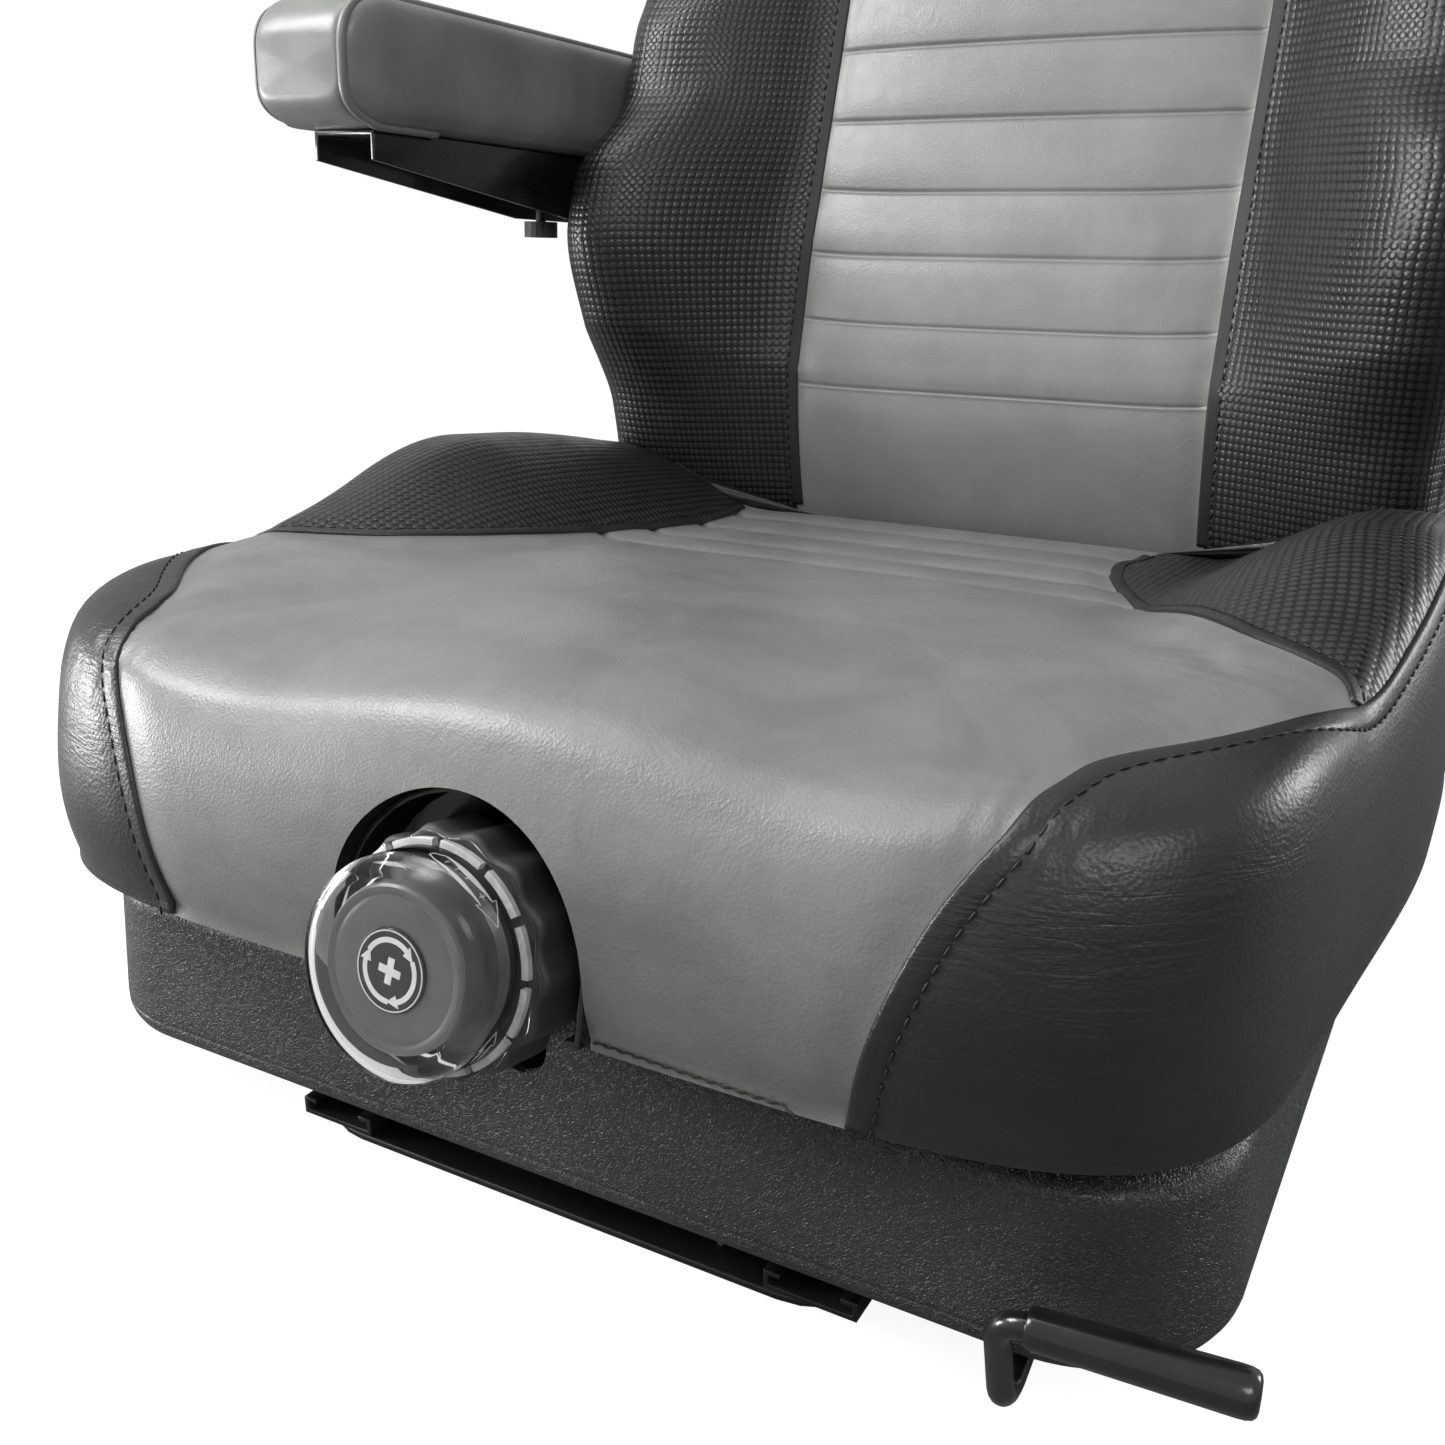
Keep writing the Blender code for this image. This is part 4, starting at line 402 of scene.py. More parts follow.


# %% [markdown]
# The colours were matched to the photograph under the lamps at the end. Vinyl gets wrinkles and then grain,
# plastic its etched skin, and the woven panels a grid with painted shade between its pads.

# %% The seat's finishes
GREY = finish("grey_vinyl_cover", (0.18, 0.181, 0.176), 0.38, second=(0.232, 0.232, 0.226),
              rough_second=0.32, clouds=17.0, bumps=[(WRINKLES, 34.0, 0.1, 0.0006, False),
                                                     (LEATHER_GRAIN, 1000.0, 0.3, 0.0003, False)])
CHANNEL_GREY = finish("grey_vinyl_back", (0.225, 0.226, 0.221), 0.4, second=(0.275, 0.275, 0.268),
                      rough_second=0.34, clouds=15.0, bumps=[(WRINKLES, 45.0, 0.08, 0.0006, False),
                                                             (LEATHER_GRAIN, 1000.0, 0.28, 0.0003, False)])
BLACK = finish("black_vinyl_smooth", (0.012, 0.0118, 0.0115), 0.4, second=(0.021, 0.0195, 0.018),
               rough_second=0.33, clouds=13.0,
               bumps=[(WRINKLES, (36.0, (0.6, 0.6, 4.5)), 0.22, 0.0006, False),
                      (LEATHER_GRAIN, 700.0, 0.35, 0.0004, False)])
FOLD_BLACK = finish("black_vinyl_fold", (0.01, 0.01, 0.0102), 0.62, second=(0.015, 0.015, 0.015),
                    clouds=20.0, bumps=[(LEATHER_GRAIN, 900.0, 0.25, 0.0003, False)])
# Painted shade: the woven panels are darker between their pads, where the relief is low
WOVEN_BLACK = finish("black_vinyl_woven", (0.024, 0.0245, 0.025), 0.41, second=(0.034, 0.034, 0.035),
                     rough_second=0.3, clouds=12.0, uv="Cover", painted_gap_shade=(0.004, 0.004, 0.004),
                     bumps=[(WOVEN, 0.0043, 0.46, 0.0008, True)])
PAD_GREY = finish("grey_vinyl_armrest", (0.205, 0.206, 0.205), 0.36, second=(0.27, 0.27, 0.266),
                  rough_second=0.3, clouds=20.0, bumps=[(WRINKLES, 34.0, 0.08, 0.0006, False),
                                                         (LEATHER_GRAIN, 1300.0, 0.18, 0.0002, False)])
COVER_PLASTIC = finish("charcoal_grained_plastic", (0.03, 0.033, 0.036), 0.42, second=(0.04, 0.043, 0.046),
                       rough_second=0.4, clouds=9.0, bumps=[(PEBBLE, 430.0, 0.75, 0.0006, False)])
GLOSS = finish("gloss_black_plastic_finish", (0.008, 0.008, 0.009), 0.2, second=(0.012, 0.012, 0.013),
               rough_second=0.28, clouds=40.0, coat=0.3, coat_rough=0.08)
MATT = finish("matt_black_plastic_finish", (0.034, 0.034, 0.035), 0.5, second=(0.046, 0.046, 0.047),
              rough_second=0.58, clouds=60.0, bumps=[(PEBBLE, 900.0, 0.35, 0.0002, False)])
POWDER = finish("black_powder_coat_finish", (0.011, 0.011, 0.012), 0.34, second=(0.018, 0.018, 0.019),
                rough_second=0.42, clouds=30.0, bumps=[(LEATHER_GRAIN, 1400.0, 0.15, 0.0002, False)])
ZINC = finish("zinc_plate_finish", (0.52, 0.52, 0.5), 0.3, metallic=1.0, second=(0.42, 0.42, 0.41),
              rough_second=0.42, clouds=45.0, bumps=[(PEBBLE, 1200.0, 0.15, 0.0001, False)])
NYLON = finish("white_nylon_finish", (0.62, 0.61, 0.57), 0.42, second=(0.7, 0.69, 0.66), rough_second=0.5,
               clouds=60.0)
CLEAR = finish("clear_plastic_finish", (1.0, 1.0, 1.0), 0.02, **{"Transmission Weight": 1.0, "IOR": 1.25})
DISH = finish("dial_dish_finish", (0.098, 0.099, 0.099), 0.3, second=(0.124, 0.126, 0.125),
              rough_second=0.38, clouds=50.0)
DISH_SIDE = finish("dial_side_finish", (0.045, 0.045, 0.046), 0.35, second=(0.075, 0.075, 0.075), clouds=50.0)
EMBLEM = finish("emblem_black_finish", (0.014, 0.014, 0.014), 0.42, second=(0.02, 0.02, 0.02), clouds=80.0)
# Painted highlight: a pale glossy grey that stands for the light caught on the cap's ring
PAINTED_HIGHLIGHT_RING = finish("painted_highlight_ring_finish", (0.62, 0.62, 0.61), 0.18, second=(0.42, 0.42, 0.42),
                     rough_second=0.3, clouds=160.0)
MARK = finish("emblem_white_finish", (0.8, 0.8, 0.79), 0.45, second=(0.76, 0.76, 0.75), clouds=80.0)
THREAD = finish("black_thread", (0.005, 0.005, 0.005), 0.55, second=(0.01, 0.01, 0.01), clouds=900.0)
print("materials:", len(bpy.data.materials))

# %% [markdown]
# ## Finishes for the pieces that keep their measured shape
# The plate, rails, arms, shafts, rollers and brackets are plain pressed or turned metal, and their shape is
# already right. They only need their paint or plating.

# %% Give the metal pieces their finish
FINISH_OF = {
    "black_powder_coat": POWDER, "zinc_plated_steel": ZINC, "grained_black_plastic": COVER_PLASTIC,
    "gloss_black_plastic": GLOSS, "matt_black_plastic": MATT, "clear_plastic": CLEAR, "dial_grey": DISH,
    "emblem_black": EMBLEM, "white_nylon": NYLON, "grey_vinyl": GREY, "black_vinyl": BLACK,
}
slot_by_node = {entry["node"]: entry["material_slot"] for entry in frame["record"]["subparts"]}
for node, item in frame["nodes"].items():
    item.data.materials.clear()
    item.data.materials.append(FINISH_OF[slot_by_node[node]])
print("finished nodes:", len(slot_by_node))

# %% [markdown]
# ## The seat cushion
# The cushion is a block of moulded foam under a sewn vinyl cover. Its outline is a rounded rectangle, its
# front is high and full, the middle is dished, and a bolster rises along each side. The same rules that set
# the plain solid are used here with far more points, so the two agree.

# %% Sizes and surface of the cushion
CUSHION_FRONT, CUSHION_REAR = -0.238, 0.262
LIP_HEIGHT = 0.11
CREST = 0.215
CREST_RISE = 0.11
POCKET_CEILING = 0.1434


def cushion_half_width(y):
    return 0.251 + 0.015 * smooth_step(y, -0.15, 0.06)


def superellipse(count, dense=6000, squareness=6):
    """Cosine and sine powers of a rounded rectangle, evenly spaced along its edge."""
    angle = np.linspace(0, 2 * np.pi, dense, endpoint=False)
    power = 2 / squareness
    x = np.sign(np.cos(angle)) * np.abs(np.cos(angle)) ** power
    y = np.sign(np.sin(angle)) * np.abs(np.sin(angle)) ** power
    closed = np.column_stack([np.r_[x, x[0]], np.r_[y, y[0]]])
    length = np.r_[0, np.cumsum(np.hypot(*np.diff(closed, axis=0).T))]
    at = np.linspace(0, length[-1], count, endpoint=False)
    return np.interp(at, length, closed[:, 0]), np.interp(at, length, closed[:, 1])


def cushion_height(x, y):
    across = np.abs(x)
    centre = CREST - 0.034 * smooth_step(y, -0.19, 0.3)
    rise = smooth_step(across, 0.13, 0.228) * smooth_step(y, -0.105, 0.075)
    fall = 1 - 0.25 * smooth_step(y, 0.12, CUSHION_REAR)
    wave = 0.005 * np.cos(across / 0.115 * np.pi) * (1 - smooth_step(y, -0.16, 0.02))
    wave = wave * (1 - smooth_step(across, 0.16, 0.23))
    edge = 0.008 * smooth_step(across, 0.188, 0.251) * (1 - smooth_step(y, -0.105, 0))
    return centre + 0.047 * rise * fall + wave + edge


# Front inset, side inset and share of the height, from the lip to the middle of the top
CUSHION_ROWS = ((0.005, 0.001, 0.0), (0.001, 0.0, 0.16), (0.0, 0.0, 0.33), (0.003, 0.001, 0.54),
                (0.01, 0.002, 0.77), (0.021, 0.006, 0.92), (0.043, 0.015, 0.99), (0.072, 0.032, 1.0),
                (0.105, 0.062, 1.0), (0.14, 0.105, 1.0), (0.175, 0.15, 1.0), (0.205, 0.195, 1.0),
                (0.2485, 0.2485, 1.0))



def cushion_ring(across, along, front_inset, side_inset):
    middle = (CUSHION_FRONT + CUSHION_REAR) / 2
    half = (CUSHION_REAR - CUSHION_FRONT) / 2
    inset = np.where(along < 0, front_inset, side_inset)
    y = middle + (half - inset) * along
    x = (cushion_half_width(middle + half * along) - side_inset) * across
    return x, y


def cushion_grid(columns, rows):
    """Rings of the cushion's outside, from the lip to the middle of the top."""
    across, along = superellipse(columns)
    control = smooth_curve(CUSHION_ROWS, 400)
    control[:, 2] = np.clip(control[:, 2], 0, 1)
    length = lengths_along(control * np.array([1, 1, CREST_RISE]))
    control = points_at(control, length, np.linspace(0, length[-1], rows))
    rings = []
    for front_inset, side_inset, share in control:
        x, y = cushion_ring(across, along, front_inset, side_inset)
        top = cushion_height(x, y)
        rings.append(np.column_stack([x, y, LIP_HEIGHT + (top - LIP_HEIGHT) * share]))
    return np.array(rings)


print("height at the front edge", round(float(cushion_height(0, -0.19)), 3))

# %% [markdown]
# ## Panels and seams of the seat cover
# The cover is sewn from five pieces: one grey panel for the front and the middle, two smooth black panels
# that wrap the corners and sides, and two woven-look panels on the bolsters. Each black edge is folded
# over, laid on its neighbour and stitched down. The seam lines below were read from the photograph. They are
# laid on the surface with a nearest-point search, so they stay on it whatever its shape.

# %% Find points of a surface
def surface_search(rings):
    """A search tree over a closed grid of points."""
    rows, columns = rings.shape[:2]
    verts = rings.reshape(-1, 3)
    return BVHTree.FromPolygons([tuple(v) for v in verts], grid_faces(rows, columns))


def drop_on(tree, points, direction, distance=0.5):
    """Move points along a direction until they meet the surface."""
    found = []
    for point in points:
        start = Vector(point) - Vector(direction) * distance
        hit = tree.ray_cast(start, Vector(direction))[0]
        found.append(hit if hit is not None else Vector(point))
    return np.array([tuple(v) for v in found])


def eased(points, passes):
    """Points averaged with their neighbours again and again; the ends stay."""
    points = np.array(points, float)
    for _ in range(passes):
        points[1:-1] = (points[:-2] + 2 * points[1:-1] + points[2:]) / 4
    return points


def lay_on(tree, points, soften=4):
    """Nearest places on the surface and the smoothed directions out of it."""
    places = []
    outward = []
    for point in points:
        place, normal, _, _ = tree.find_nearest(Vector(point))
        places.append(tuple(place))
        outward.append(tuple(normal))
    outward = eased(outward, soften)
    return np.array(places), outward / np.linalg.norm(outward, axis=1)[:, None]


def side_of(places, outward, toward):
    """Directions across a seam, in the surface, on the side that leads toward a point."""
    ahead = np.gradient(places, axis=0)
    ahead /= np.linalg.norm(ahead, axis=1)[:, None]
    across = np.cross(ahead, outward)
    middle = len(places) // 2
    if np.dot(across[middle], np.asarray(toward) - places[middle]) < 0:
        across = -across
    return across


def mirrored(points):
    return np.asarray(points, float) * np.array([-1, 1, 1])


# %% [markdown]
# Each seam is a few points, read from the photograph and dropped onto the surface: corner seams over the
# front edge and along the sides, bolster seams inwards from them, and cross seams at the rear.

# %% Seam lines of the seat cover
SEAT_COLUMNS, SEAT_ROWS = 600, 112
seat_rings = cushion_grid(SEAT_COLUMNS, SEAT_ROWS)
seat_tree = surface_search(seat_rings)

# Corner seam: up the front face, over the edge and back along the side
CORNER_ON_FRONT = ((0.1386, 0.1105), (0.142, 0.129), (0.149, 0.154), (0.16, 0.181), (0.172, 0.201))
CORNER_ON_TOP = ((0.1875, -0.176), (0.22, -0.136), (0.2405, -0.098), (0.2495, -0.066), (0.2545, -0.02),
                 (0.259, 0.05), (0.2605, 0.12), (0.2605, 0.19), (0.2575, 0.238))
front_part = drop_on(seat_tree, [(x, -0.25, z) for x, z in CORNER_ON_FRONT], (0, 1, 0))
top_part = drop_on(seat_tree, [(x, y, 0.25) for x, y in CORNER_ON_TOP], (0, 0, -1))
corner_seam = even_points(smooth_curve(np.vstack([front_part, top_part]), 400), 0.002)
corner_seam, _ = lay_on(seat_tree, corner_seam)

# Bolster seams: from the side seam inwards and back under the backrest, read for each side
BOLSTER_LINES = {
    "left": ((0.244, -0.081), (0.237, -0.07), (0.2199, -0.0528), (0.1963, -0.0322), (0.17, 0.004),
             (0.145, 0.05), (0.124, 0.098), (0.106, 0.14), (0.096, 0.173), (0.093, 0.203),
             (0.098, 0.232)),
    "right": ((0.244, -0.078), (0.2347, -0.0737), (0.2225, -0.0669), (0.202, -0.055), (0.1843, -0.04),
              (0.165, -0.008), (0.152, 0.0425), (0.147, 0.0969), (0.143, 0.14), (0.142, 0.18),
              (0.144, 0.21), (0.148, 0.232)),
}
bolster_seams = {}
for name, sign in (("left", 1), ("right", -1)):
    line = drop_on(seat_tree, [(sign * x, y, 0.25) for x, y in BOLSTER_LINES[name]], (0, 0, -1))
    line = even_points(smooth_curve(line, 300), 0.002)
    bolster_seams[name], _ = lay_on(seat_tree, line)

# Cross seams in the grey panel at the rear
CROSS_Y = (0.077, 0.1216, 0.17, 0.218)
CROSS_END = {"left": (0.131, 0.112, 0.095, 0.092), "right": (0.148, 0.144, 0.142, 0.144)}
cross_seams = []
for y, left_end, right_end in zip(CROSS_Y, CROSS_END["left"], CROSS_END["right"]):
    line = [(x, y, 0.25) for x in np.linspace(-right_end, left_end, 60)]
    line = drop_on(seat_tree, line, (0, 0, -1))
    cross_seams.append(even_points(line, 0.002))
print("corner seam", len(corner_seam) * 2, "mm, bolster seam", len(bolster_seams["left"]) * 2, "mm")

# %% [markdown]
# ## Filling the cover
# Foam presses the vinyl out between its seams. A light cloth simulation does that: a coarse copy of the
# surface is held along the seams and the lower edge, and air pressure swells the rest. Only the movement is
# kept. It is limited, then spread over the fine surface, so the fine seams are not lost.

# %% Swell a coarse sheet between held lines
SWELL_FRAMES = 20
SWELL_PRESSURE, SWELL_LIMIT = 4.0, 0.005
COVER_CLOTH = {"quality": 6, "mass": 0.35, "tension_stiffness": 40, "compression_stiffness": 40,
               "shear_stiffness": 20, "bending_stiffness": 4, "tension_damping": 20, "air_damping": 4,
               "use_pressure": True, "uniform_pressure_force": SWELL_PRESSURE, "vertex_group_mass": "hold"}


def swell(rings, held):
    """How far each point of a coarse grid moves when its cover is filled. held marks fixed points."""
    rows, columns = rings.shape[:2]
    sheet = loft("swell_sheet", rings, [])
    count = rows * columns
    hold = sheet.vertex_groups.new(name="hold")
    flat = held.reshape(-1)
    hold.add([int(i) for i in np.nonzero(flat)[0]] + list(range(count, count + 2)), 1.0, "REPLACE")
    cloth = sheet.modifiers.new("fill", "CLOTH")
    for label, value in COVER_CLOTH.items():
        setattr(cloth.settings, label, value)
    cloth.settings.effector_weights.gravity = 0
    cloth.collision_settings.use_collision = False
    cloth.point_cache.frame_start = 1
    cloth.point_cache.frame_end = SWELL_FRAMES
    for frame_number in range(1, SWELL_FRAMES + 1):
        scene.frame_set(frame_number)
    shaped = sheet.evaluated_get(bpy.context.evaluated_depsgraph_get())
    moved = np.empty(len(shaped.data.vertices) * 3)
    shaped.data.vertices.foreach_get("co", moved)
    moved = moved.reshape(-1, 3)[:count].reshape(rows, columns, 3) - rings
    scene.frame_set(1)
    bpy.data.objects.remove(sheet)
    reach = np.linalg.norm(moved, axis=2, keepdims=True)
    share = SWELL_LIMIT * np.tanh(reach / SWELL_LIMIT) / np.maximum(reach, 1e-9)
    return moved * share


def spread(coarse, rows, columns):
    """Stretch a coarse grid of movements over a finer one."""
    r, c = coarse.shape[:2]
    at_row = np.linspace(0, r - 1, rows)
    at_column = np.arange(columns) * c / columns
    low = np.minimum(at_row.astype(int), r - 2)
    part = smooth_step(at_row - low, 0, 1)[:, None, None]
    rows_done = coarse[low] * (1 - part) + coarse[low + 1] * part
    left = at_column.astype(int) % c
    right = (left + 1) % c
    part = (at_column - at_column.astype(int))[None, :, None]
    return rows_done[:, left] * (1 - part) + rows_done[:, right] * part


def distance_to(line, points):
    """Distance from each point to the nearest of a line's points."""
    flat = points.reshape(-1, 3)
    best = np.full(len(flat), 1e9)
    for start in range(0, len(line), 40):
        part = line[start:start + 40]
        gap = ((flat[:, None] - part[None]) ** 2).sum(axis=2).min(axis=1)
        best = np.minimum(best, gap)
    return np.sqrt(best).reshape(points.shape[:-1])


def grid_normals(rings):
    """Outward directions of a grid whose columns close up."""
    along = np.roll(rings, -1, axis=1) - np.roll(rings, 1, axis=1)
    up = np.gradient(rings, axis=0)
    outward = np.cross(along, up)
    return outward / np.maximum(np.linalg.norm(outward, axis=2, keepdims=True), 1e-12)


seat_seams = [corner_seam, mirrored(corner_seam), bolster_seams["left"], bolster_seams["right"]]
coarse_rings = cushion_grid(120, 38)
coarse_held = np.zeros(coarse_rings.shape[:2], bool)
coarse_held[:2] = True
for line in seat_seams + cross_seams:
    coarse_held |= distance_to(line[::3], coarse_rings) < 0.006
seat_swell = swell(coarse_rings, coarse_held)
print("swelled by up to", round(float(np.linalg.norm(seat_swell, axis=2).max()) * 1000, 1), "mm")

# %% [markdown]
# A sewn seam pulls the vinyl into the foam, so the surface moves inwards near each seam, less with distance.

# %% Sink the seams and finish the fine surface
normals = grid_normals(seat_rings)
if np.mean(normals[SEAT_ROWS // 3, :, 2]) < 0 and np.mean(normals[-10, :, 2]) < 0:
    normals = -normals
near_seam = np.full(seat_rings.shape[:2], 1.0)
sink = np.zeros(seat_rings.shape[:2])
for line in seat_seams:
    gap = distance_to(line, seat_rings)
    near_seam = np.minimum(near_seam, gap)
    sink += 0.0016 * np.exp(-(gap / 0.01) ** 2)
for line in cross_seams:
    gap = distance_to(line, seat_rings)
    sink += 0.0022 * np.exp(-(gap / 0.003) ** 2) + 0.001 * np.exp(-(gap / 0.011) ** 2)
# Small gathers beside the corner seam where it turns over the edge
turn = np.array([0.178, -0.205, 0.203])
for side in (1, -1):
    place = turn * np.array([side, 1, 1])
    gap = np.linalg.norm(seat_rings - place, axis=2)
    sink += 0.0006 * np.exp(-(gap / 0.02) ** 2) * np.sin(seat_rings[:, :, 0] * 2 * math.pi / 0.0085)
shift = spread(seat_swell, SEAT_ROWS, SEAT_COLUMNS) - normals * (sink + 0.0012)[:, :, None]
# The rings close up in the middle of the seat, so there they all move alike
middle_share = smooth_step(np.arange(SEAT_ROWS), SEAT_ROWS - 22, SEAT_ROWS - 6)[:, None, None]
shift = shift * (1 - middle_share) + shift[-22:].mean(axis=(0, 1)) * middle_share
seat_fine = seat_rings + shift
seat_fine[0] = seat_rings[0]
print("deepest seam", round(float(sink.max()) * 1000, 1), "mm")

# %% [markdown]
# ## Sewing the seat cover together
# One closed surface with a material for each panel never shows a gap between two panels. The line where two
# materials meet lies under a folded edge, which is a strip of its own.

# %% Decide each face's panel
GREY_PANEL, BLACK_PANEL, WOVEN_PANEL = 0, 1, 2


def nearest_cells(rings, points):
    """Row and column of the grid point nearest to each point."""
    flat = rings.reshape(-1, 3)
    cells = [int(((flat - p) ** 2).sum(axis=1).argmin()) for p in points]
    return np.array([divmod(cell, rings.shape[1]) for cell in cells])


def inside_polygon(x, y, outline):
    inside = np.zeros(x.shape, bool)
    j = len(outline) - 1
    for i in range(len(outline)):
        xi, yi = outline[i]
        xj, yj = outline[j]
        crosses = (yi > y) != (yj > y)
        with np.errstate(divide="ignore", invalid="ignore"):
            at = (xj - xi) * (y - yi) / (yj - yi) + xi
        inside ^= crosses & (x < at)
        j = i
    return inside


places, outward = lay_on(seat_tree, corner_seam)
into_black = side_of(places, outward, (0.3, -0.2, 0.12))
under_fold, _ = lay_on(seat_tree, places + into_black * 0.0035)
cells = nearest_cells(seat_rings, under_fold[::3])
FRONT_COLUMN = 3 * SEAT_COLUMNS // 4


def columns_from_front(column):
    return np.minimum((column - FRONT_COLUMN) % SEAT_COLUMNS, (FRONT_COLUMN - column) % SEAT_COLUMNS)


around = columns_from_front(cells[:, 1])
order = np.argsort(around, kind="stable")
face_around = columns_from_front(np.arange(SEAT_COLUMNS) + 0.5)
seam_row = np.interp(face_around, around[order], cells[order, 0])
seam_row[face_around < around.min()] = -1
face_row = np.arange(SEAT_ROWS - 1)[:, None] + 0.5
seat_panel = np.full((SEAT_ROWS - 1, SEAT_COLUMNS), GREY_PANEL)
centres = (seat_rings[:-1] + seat_rings[1:]) / 2
centres = (centres + np.roll(centres, -1, axis=1)) / 2
for name, sign in (("left", 1), ("right", -1)):
    places, outward = lay_on(seat_tree, bolster_seams[name])
    into_bolster = side_of(places, outward, (sign * 0.24, 0.12, 0.24))
    outline = [(sign * x, y) for x, y, z in places + into_bolster * 0.003]
    outline += [(0.15, 0.4), (0.4, 0.4), (0.4, outline[0][1])]
    seat_panel[inside_polygon(sign * centres[:, :, 0], centres[:, :, 1], outline)] = WOVEN_PANEL
seat_panel[face_row < seam_row[None]] = BLACK_PANEL
print("faces per panel:", [int((seat_panel == k).sum()) for k in range(3)])


# %% Tools to dress and cut a cover
def set_uv(item, u, v, rows, columns):
    """Store surface distances, in metres, as the UV map named Cover."""
    layer = item.data.uv_layers.new(name="Cover")
    flat = np.zeros((len(item.data.vertices), 2))
    flat[:rows * columns, 0] = u.reshape(-1)
    flat[:rows * columns, 1] = v.reshape(-1)
    corner_vertex = np.empty(len(item.data.loops), int)
    item.data.loops.foreach_get("vertex_index", corner_vertex)
    layer.data.foreach_set("uv", flat[corner_vertex].reshape(-1))


def set_panels(item, panel, first_row):
    """Give the faces of a grid, from its row first_row up, their panel's material."""
    columns = panel.shape[1]
    index = np.full(len(item.data.polygons), BLACK_PANEL)
    start = first_row * columns
    index[start:start + panel.size] = panel.reshape(-1)
    item.data.polygons.foreach_set("material_index", index.astype(np.int32))


def keep_shape(item):
    """Keep what the modifiers make as the piece's own mesh."""
    bpy.context.view_layer.update()
    shaped = item.evaluated_get(bpy.context.evaluated_depsgraph_get())
    mesh = bpy.data.meshes.new_from_object(shaped)
    item.modifiers.clear()
    item.data = mesh


def smooth_but(item, angle):
    """Smooth shading that stays sharp at edges of more than an angle."""
    item.data.shade_smooth()
    item.data.set_sharp_from_angle(angle=math.radians(angle))


def cut_with(item, cutters, sharp):
    """Cut closed shapes out of a piece and remove them."""
    for cutter in cutters:
        modifier = item.modifiers.new("cut", "BOOLEAN")
        modifier.object = cutter
        modifier.operation = "DIFFERENCE"
        modifier.solver = "EXACT"
    keep_shape(item)
    for cutter in cutters:
        bpy.data.objects.remove(cutter)
    smooth_but(item, sharp)


def box_shape(name, low, high):
    x0, y0, z0 = low
    x1, y1, z1 = high
    lower = [(x0, y0, z0), (x1, y0, z0), (x1, y1, z0), (x0, y1, z0)]
    upper = [(x, y, z1) for x, y, z in lower]
    sides = [(i, (i + 1) % 4, (i + 1) % 4 + 4, i + 4) for i in range(4)]
    return add_object(name, lower + upper, [(0, 1, 2, 3), (7, 6, 5, 4)] + sides, BLACK, smooth=False)


def side_slots(inner, outer, front, rear, low, high):
    """A box on each side of the seat, to cut room for a bracket or a leg."""
    return [box_shape("side_slot", (min(s * inner, s * outer), front, low),
                      (max(s * inner, s * outer), rear, high)) for s in (1, -1)]


print("cover tools ready")

# %% The weight knob's own frame: across, up and out along its axis
KNOB_CENTRE = Vector((0, -0.2256, 0.1317))
KNOB_TILT = math.radians(12)
KNOB_AXIS = Vector((0, -math.cos(KNOB_TILT), math.sin(KNOB_TILT)))
KNOB_UP = Vector((0, math.sin(KNOB_TILT), math.cos(KNOB_TILT)))


def on_knob(across, up, out):
    return tuple(KNOB_CENTRE + Vector((across, 0, 0)) + KNOB_UP * up + KNOB_AXIS * out)


def arch(radius, leg, rise, steps=48):
    """The bezel's arch: straight legs and a half circle on top."""
    points = [(-radius, -leg), (radius, -leg)]
    for i in range(steps + 1):
        turn = math.pi * i / steps
        points.append((radius * math.cos(turn), rise + radius * math.sin(turn)))
    return points


print("knob axis", [round(v, 3) for v in KNOB_AXIS])

# %% [markdown]
# The cover's surface continues inwards to a pocket, so that it is one closed body. Room for the knob's arched
# bezel and for the two recline brackets is then cut out of it.

# %% Build the seat cover
across, along = superellipse(SEAT_COLUMNS)
pocket_across, pocket_along = superellipse(SEAT_COLUMNS, squareness=7)
pocket_x, pocket_y = cushion_ring(pocket_across, pocket_along, 0.013, 0.008)
ceiling = np.column_stack([pocket_x, pocket_y, np.full(SEAT_COLUMNS, POCKET_CEILING)])
wall = np.column_stack([pocket_x, pocket_y, np.full(SEAT_COLUMNS, LIP_HEIGHT)])
cover_rings = np.concatenate([ceiling[None], wall[None], seat_fine])
seat_cover = loft("seat_cover", cover_rings, [GREY, BLACK, WOVEN_BLACK])
set_panels(seat_cover, seat_panel, 2)
for face in seat_cover.data.polygons[-SEAT_COLUMNS:]:
    face.material_index = GREY_PANEL
# The woven grid is measured over the surface, from the middle out, in short steps
STEPS_OUT = 23
reach = np.abs(cover_rings[:, :, 0])
slope = [cushion_height(reach * share, cover_rings[:, :, 1]) for share in np.linspace(0, 1, STEPS_OUT + 1)]
length = sum(np.hypot(reach / STEPS_OUT, b - a) for a, b in zip(slope, slope[1:]))
set_uv(seat_cover, length, cover_rings[:, :, 1], SEAT_ROWS + 2, SEAT_COLUMNS)
BEZEL_ROOM, BEZEL_LEG, BEZEL_RISE = 0.0503, 0.0525, 0.003
recess = loft("bezel_recess", [[on_knob(u, v, d) for u, v in arch(BEZEL_ROOM, BEZEL_LEG, BEZEL_RISE)]
                               for d in (-0.0125, 0.03)], BLACK)
cut_with(seat_cover, [recess] + side_slots(0.1865, 0.1945, 0.222, 0.272, 0.1, POCKET_CEILING), 60)
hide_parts("seat_cushion")
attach(seat_cover, "seat")
print("seat cover faces:", len(seat_cover.data.polygons))

# %% [markdown]
# ## Folded edges
# A black panel's edge is folded under and sewn down about 8 mm in. The strip is built across the seam: its
# points are laid on the cover and raised by the fold's thickness, round at the free edge and pressed down
# where the stitches run.

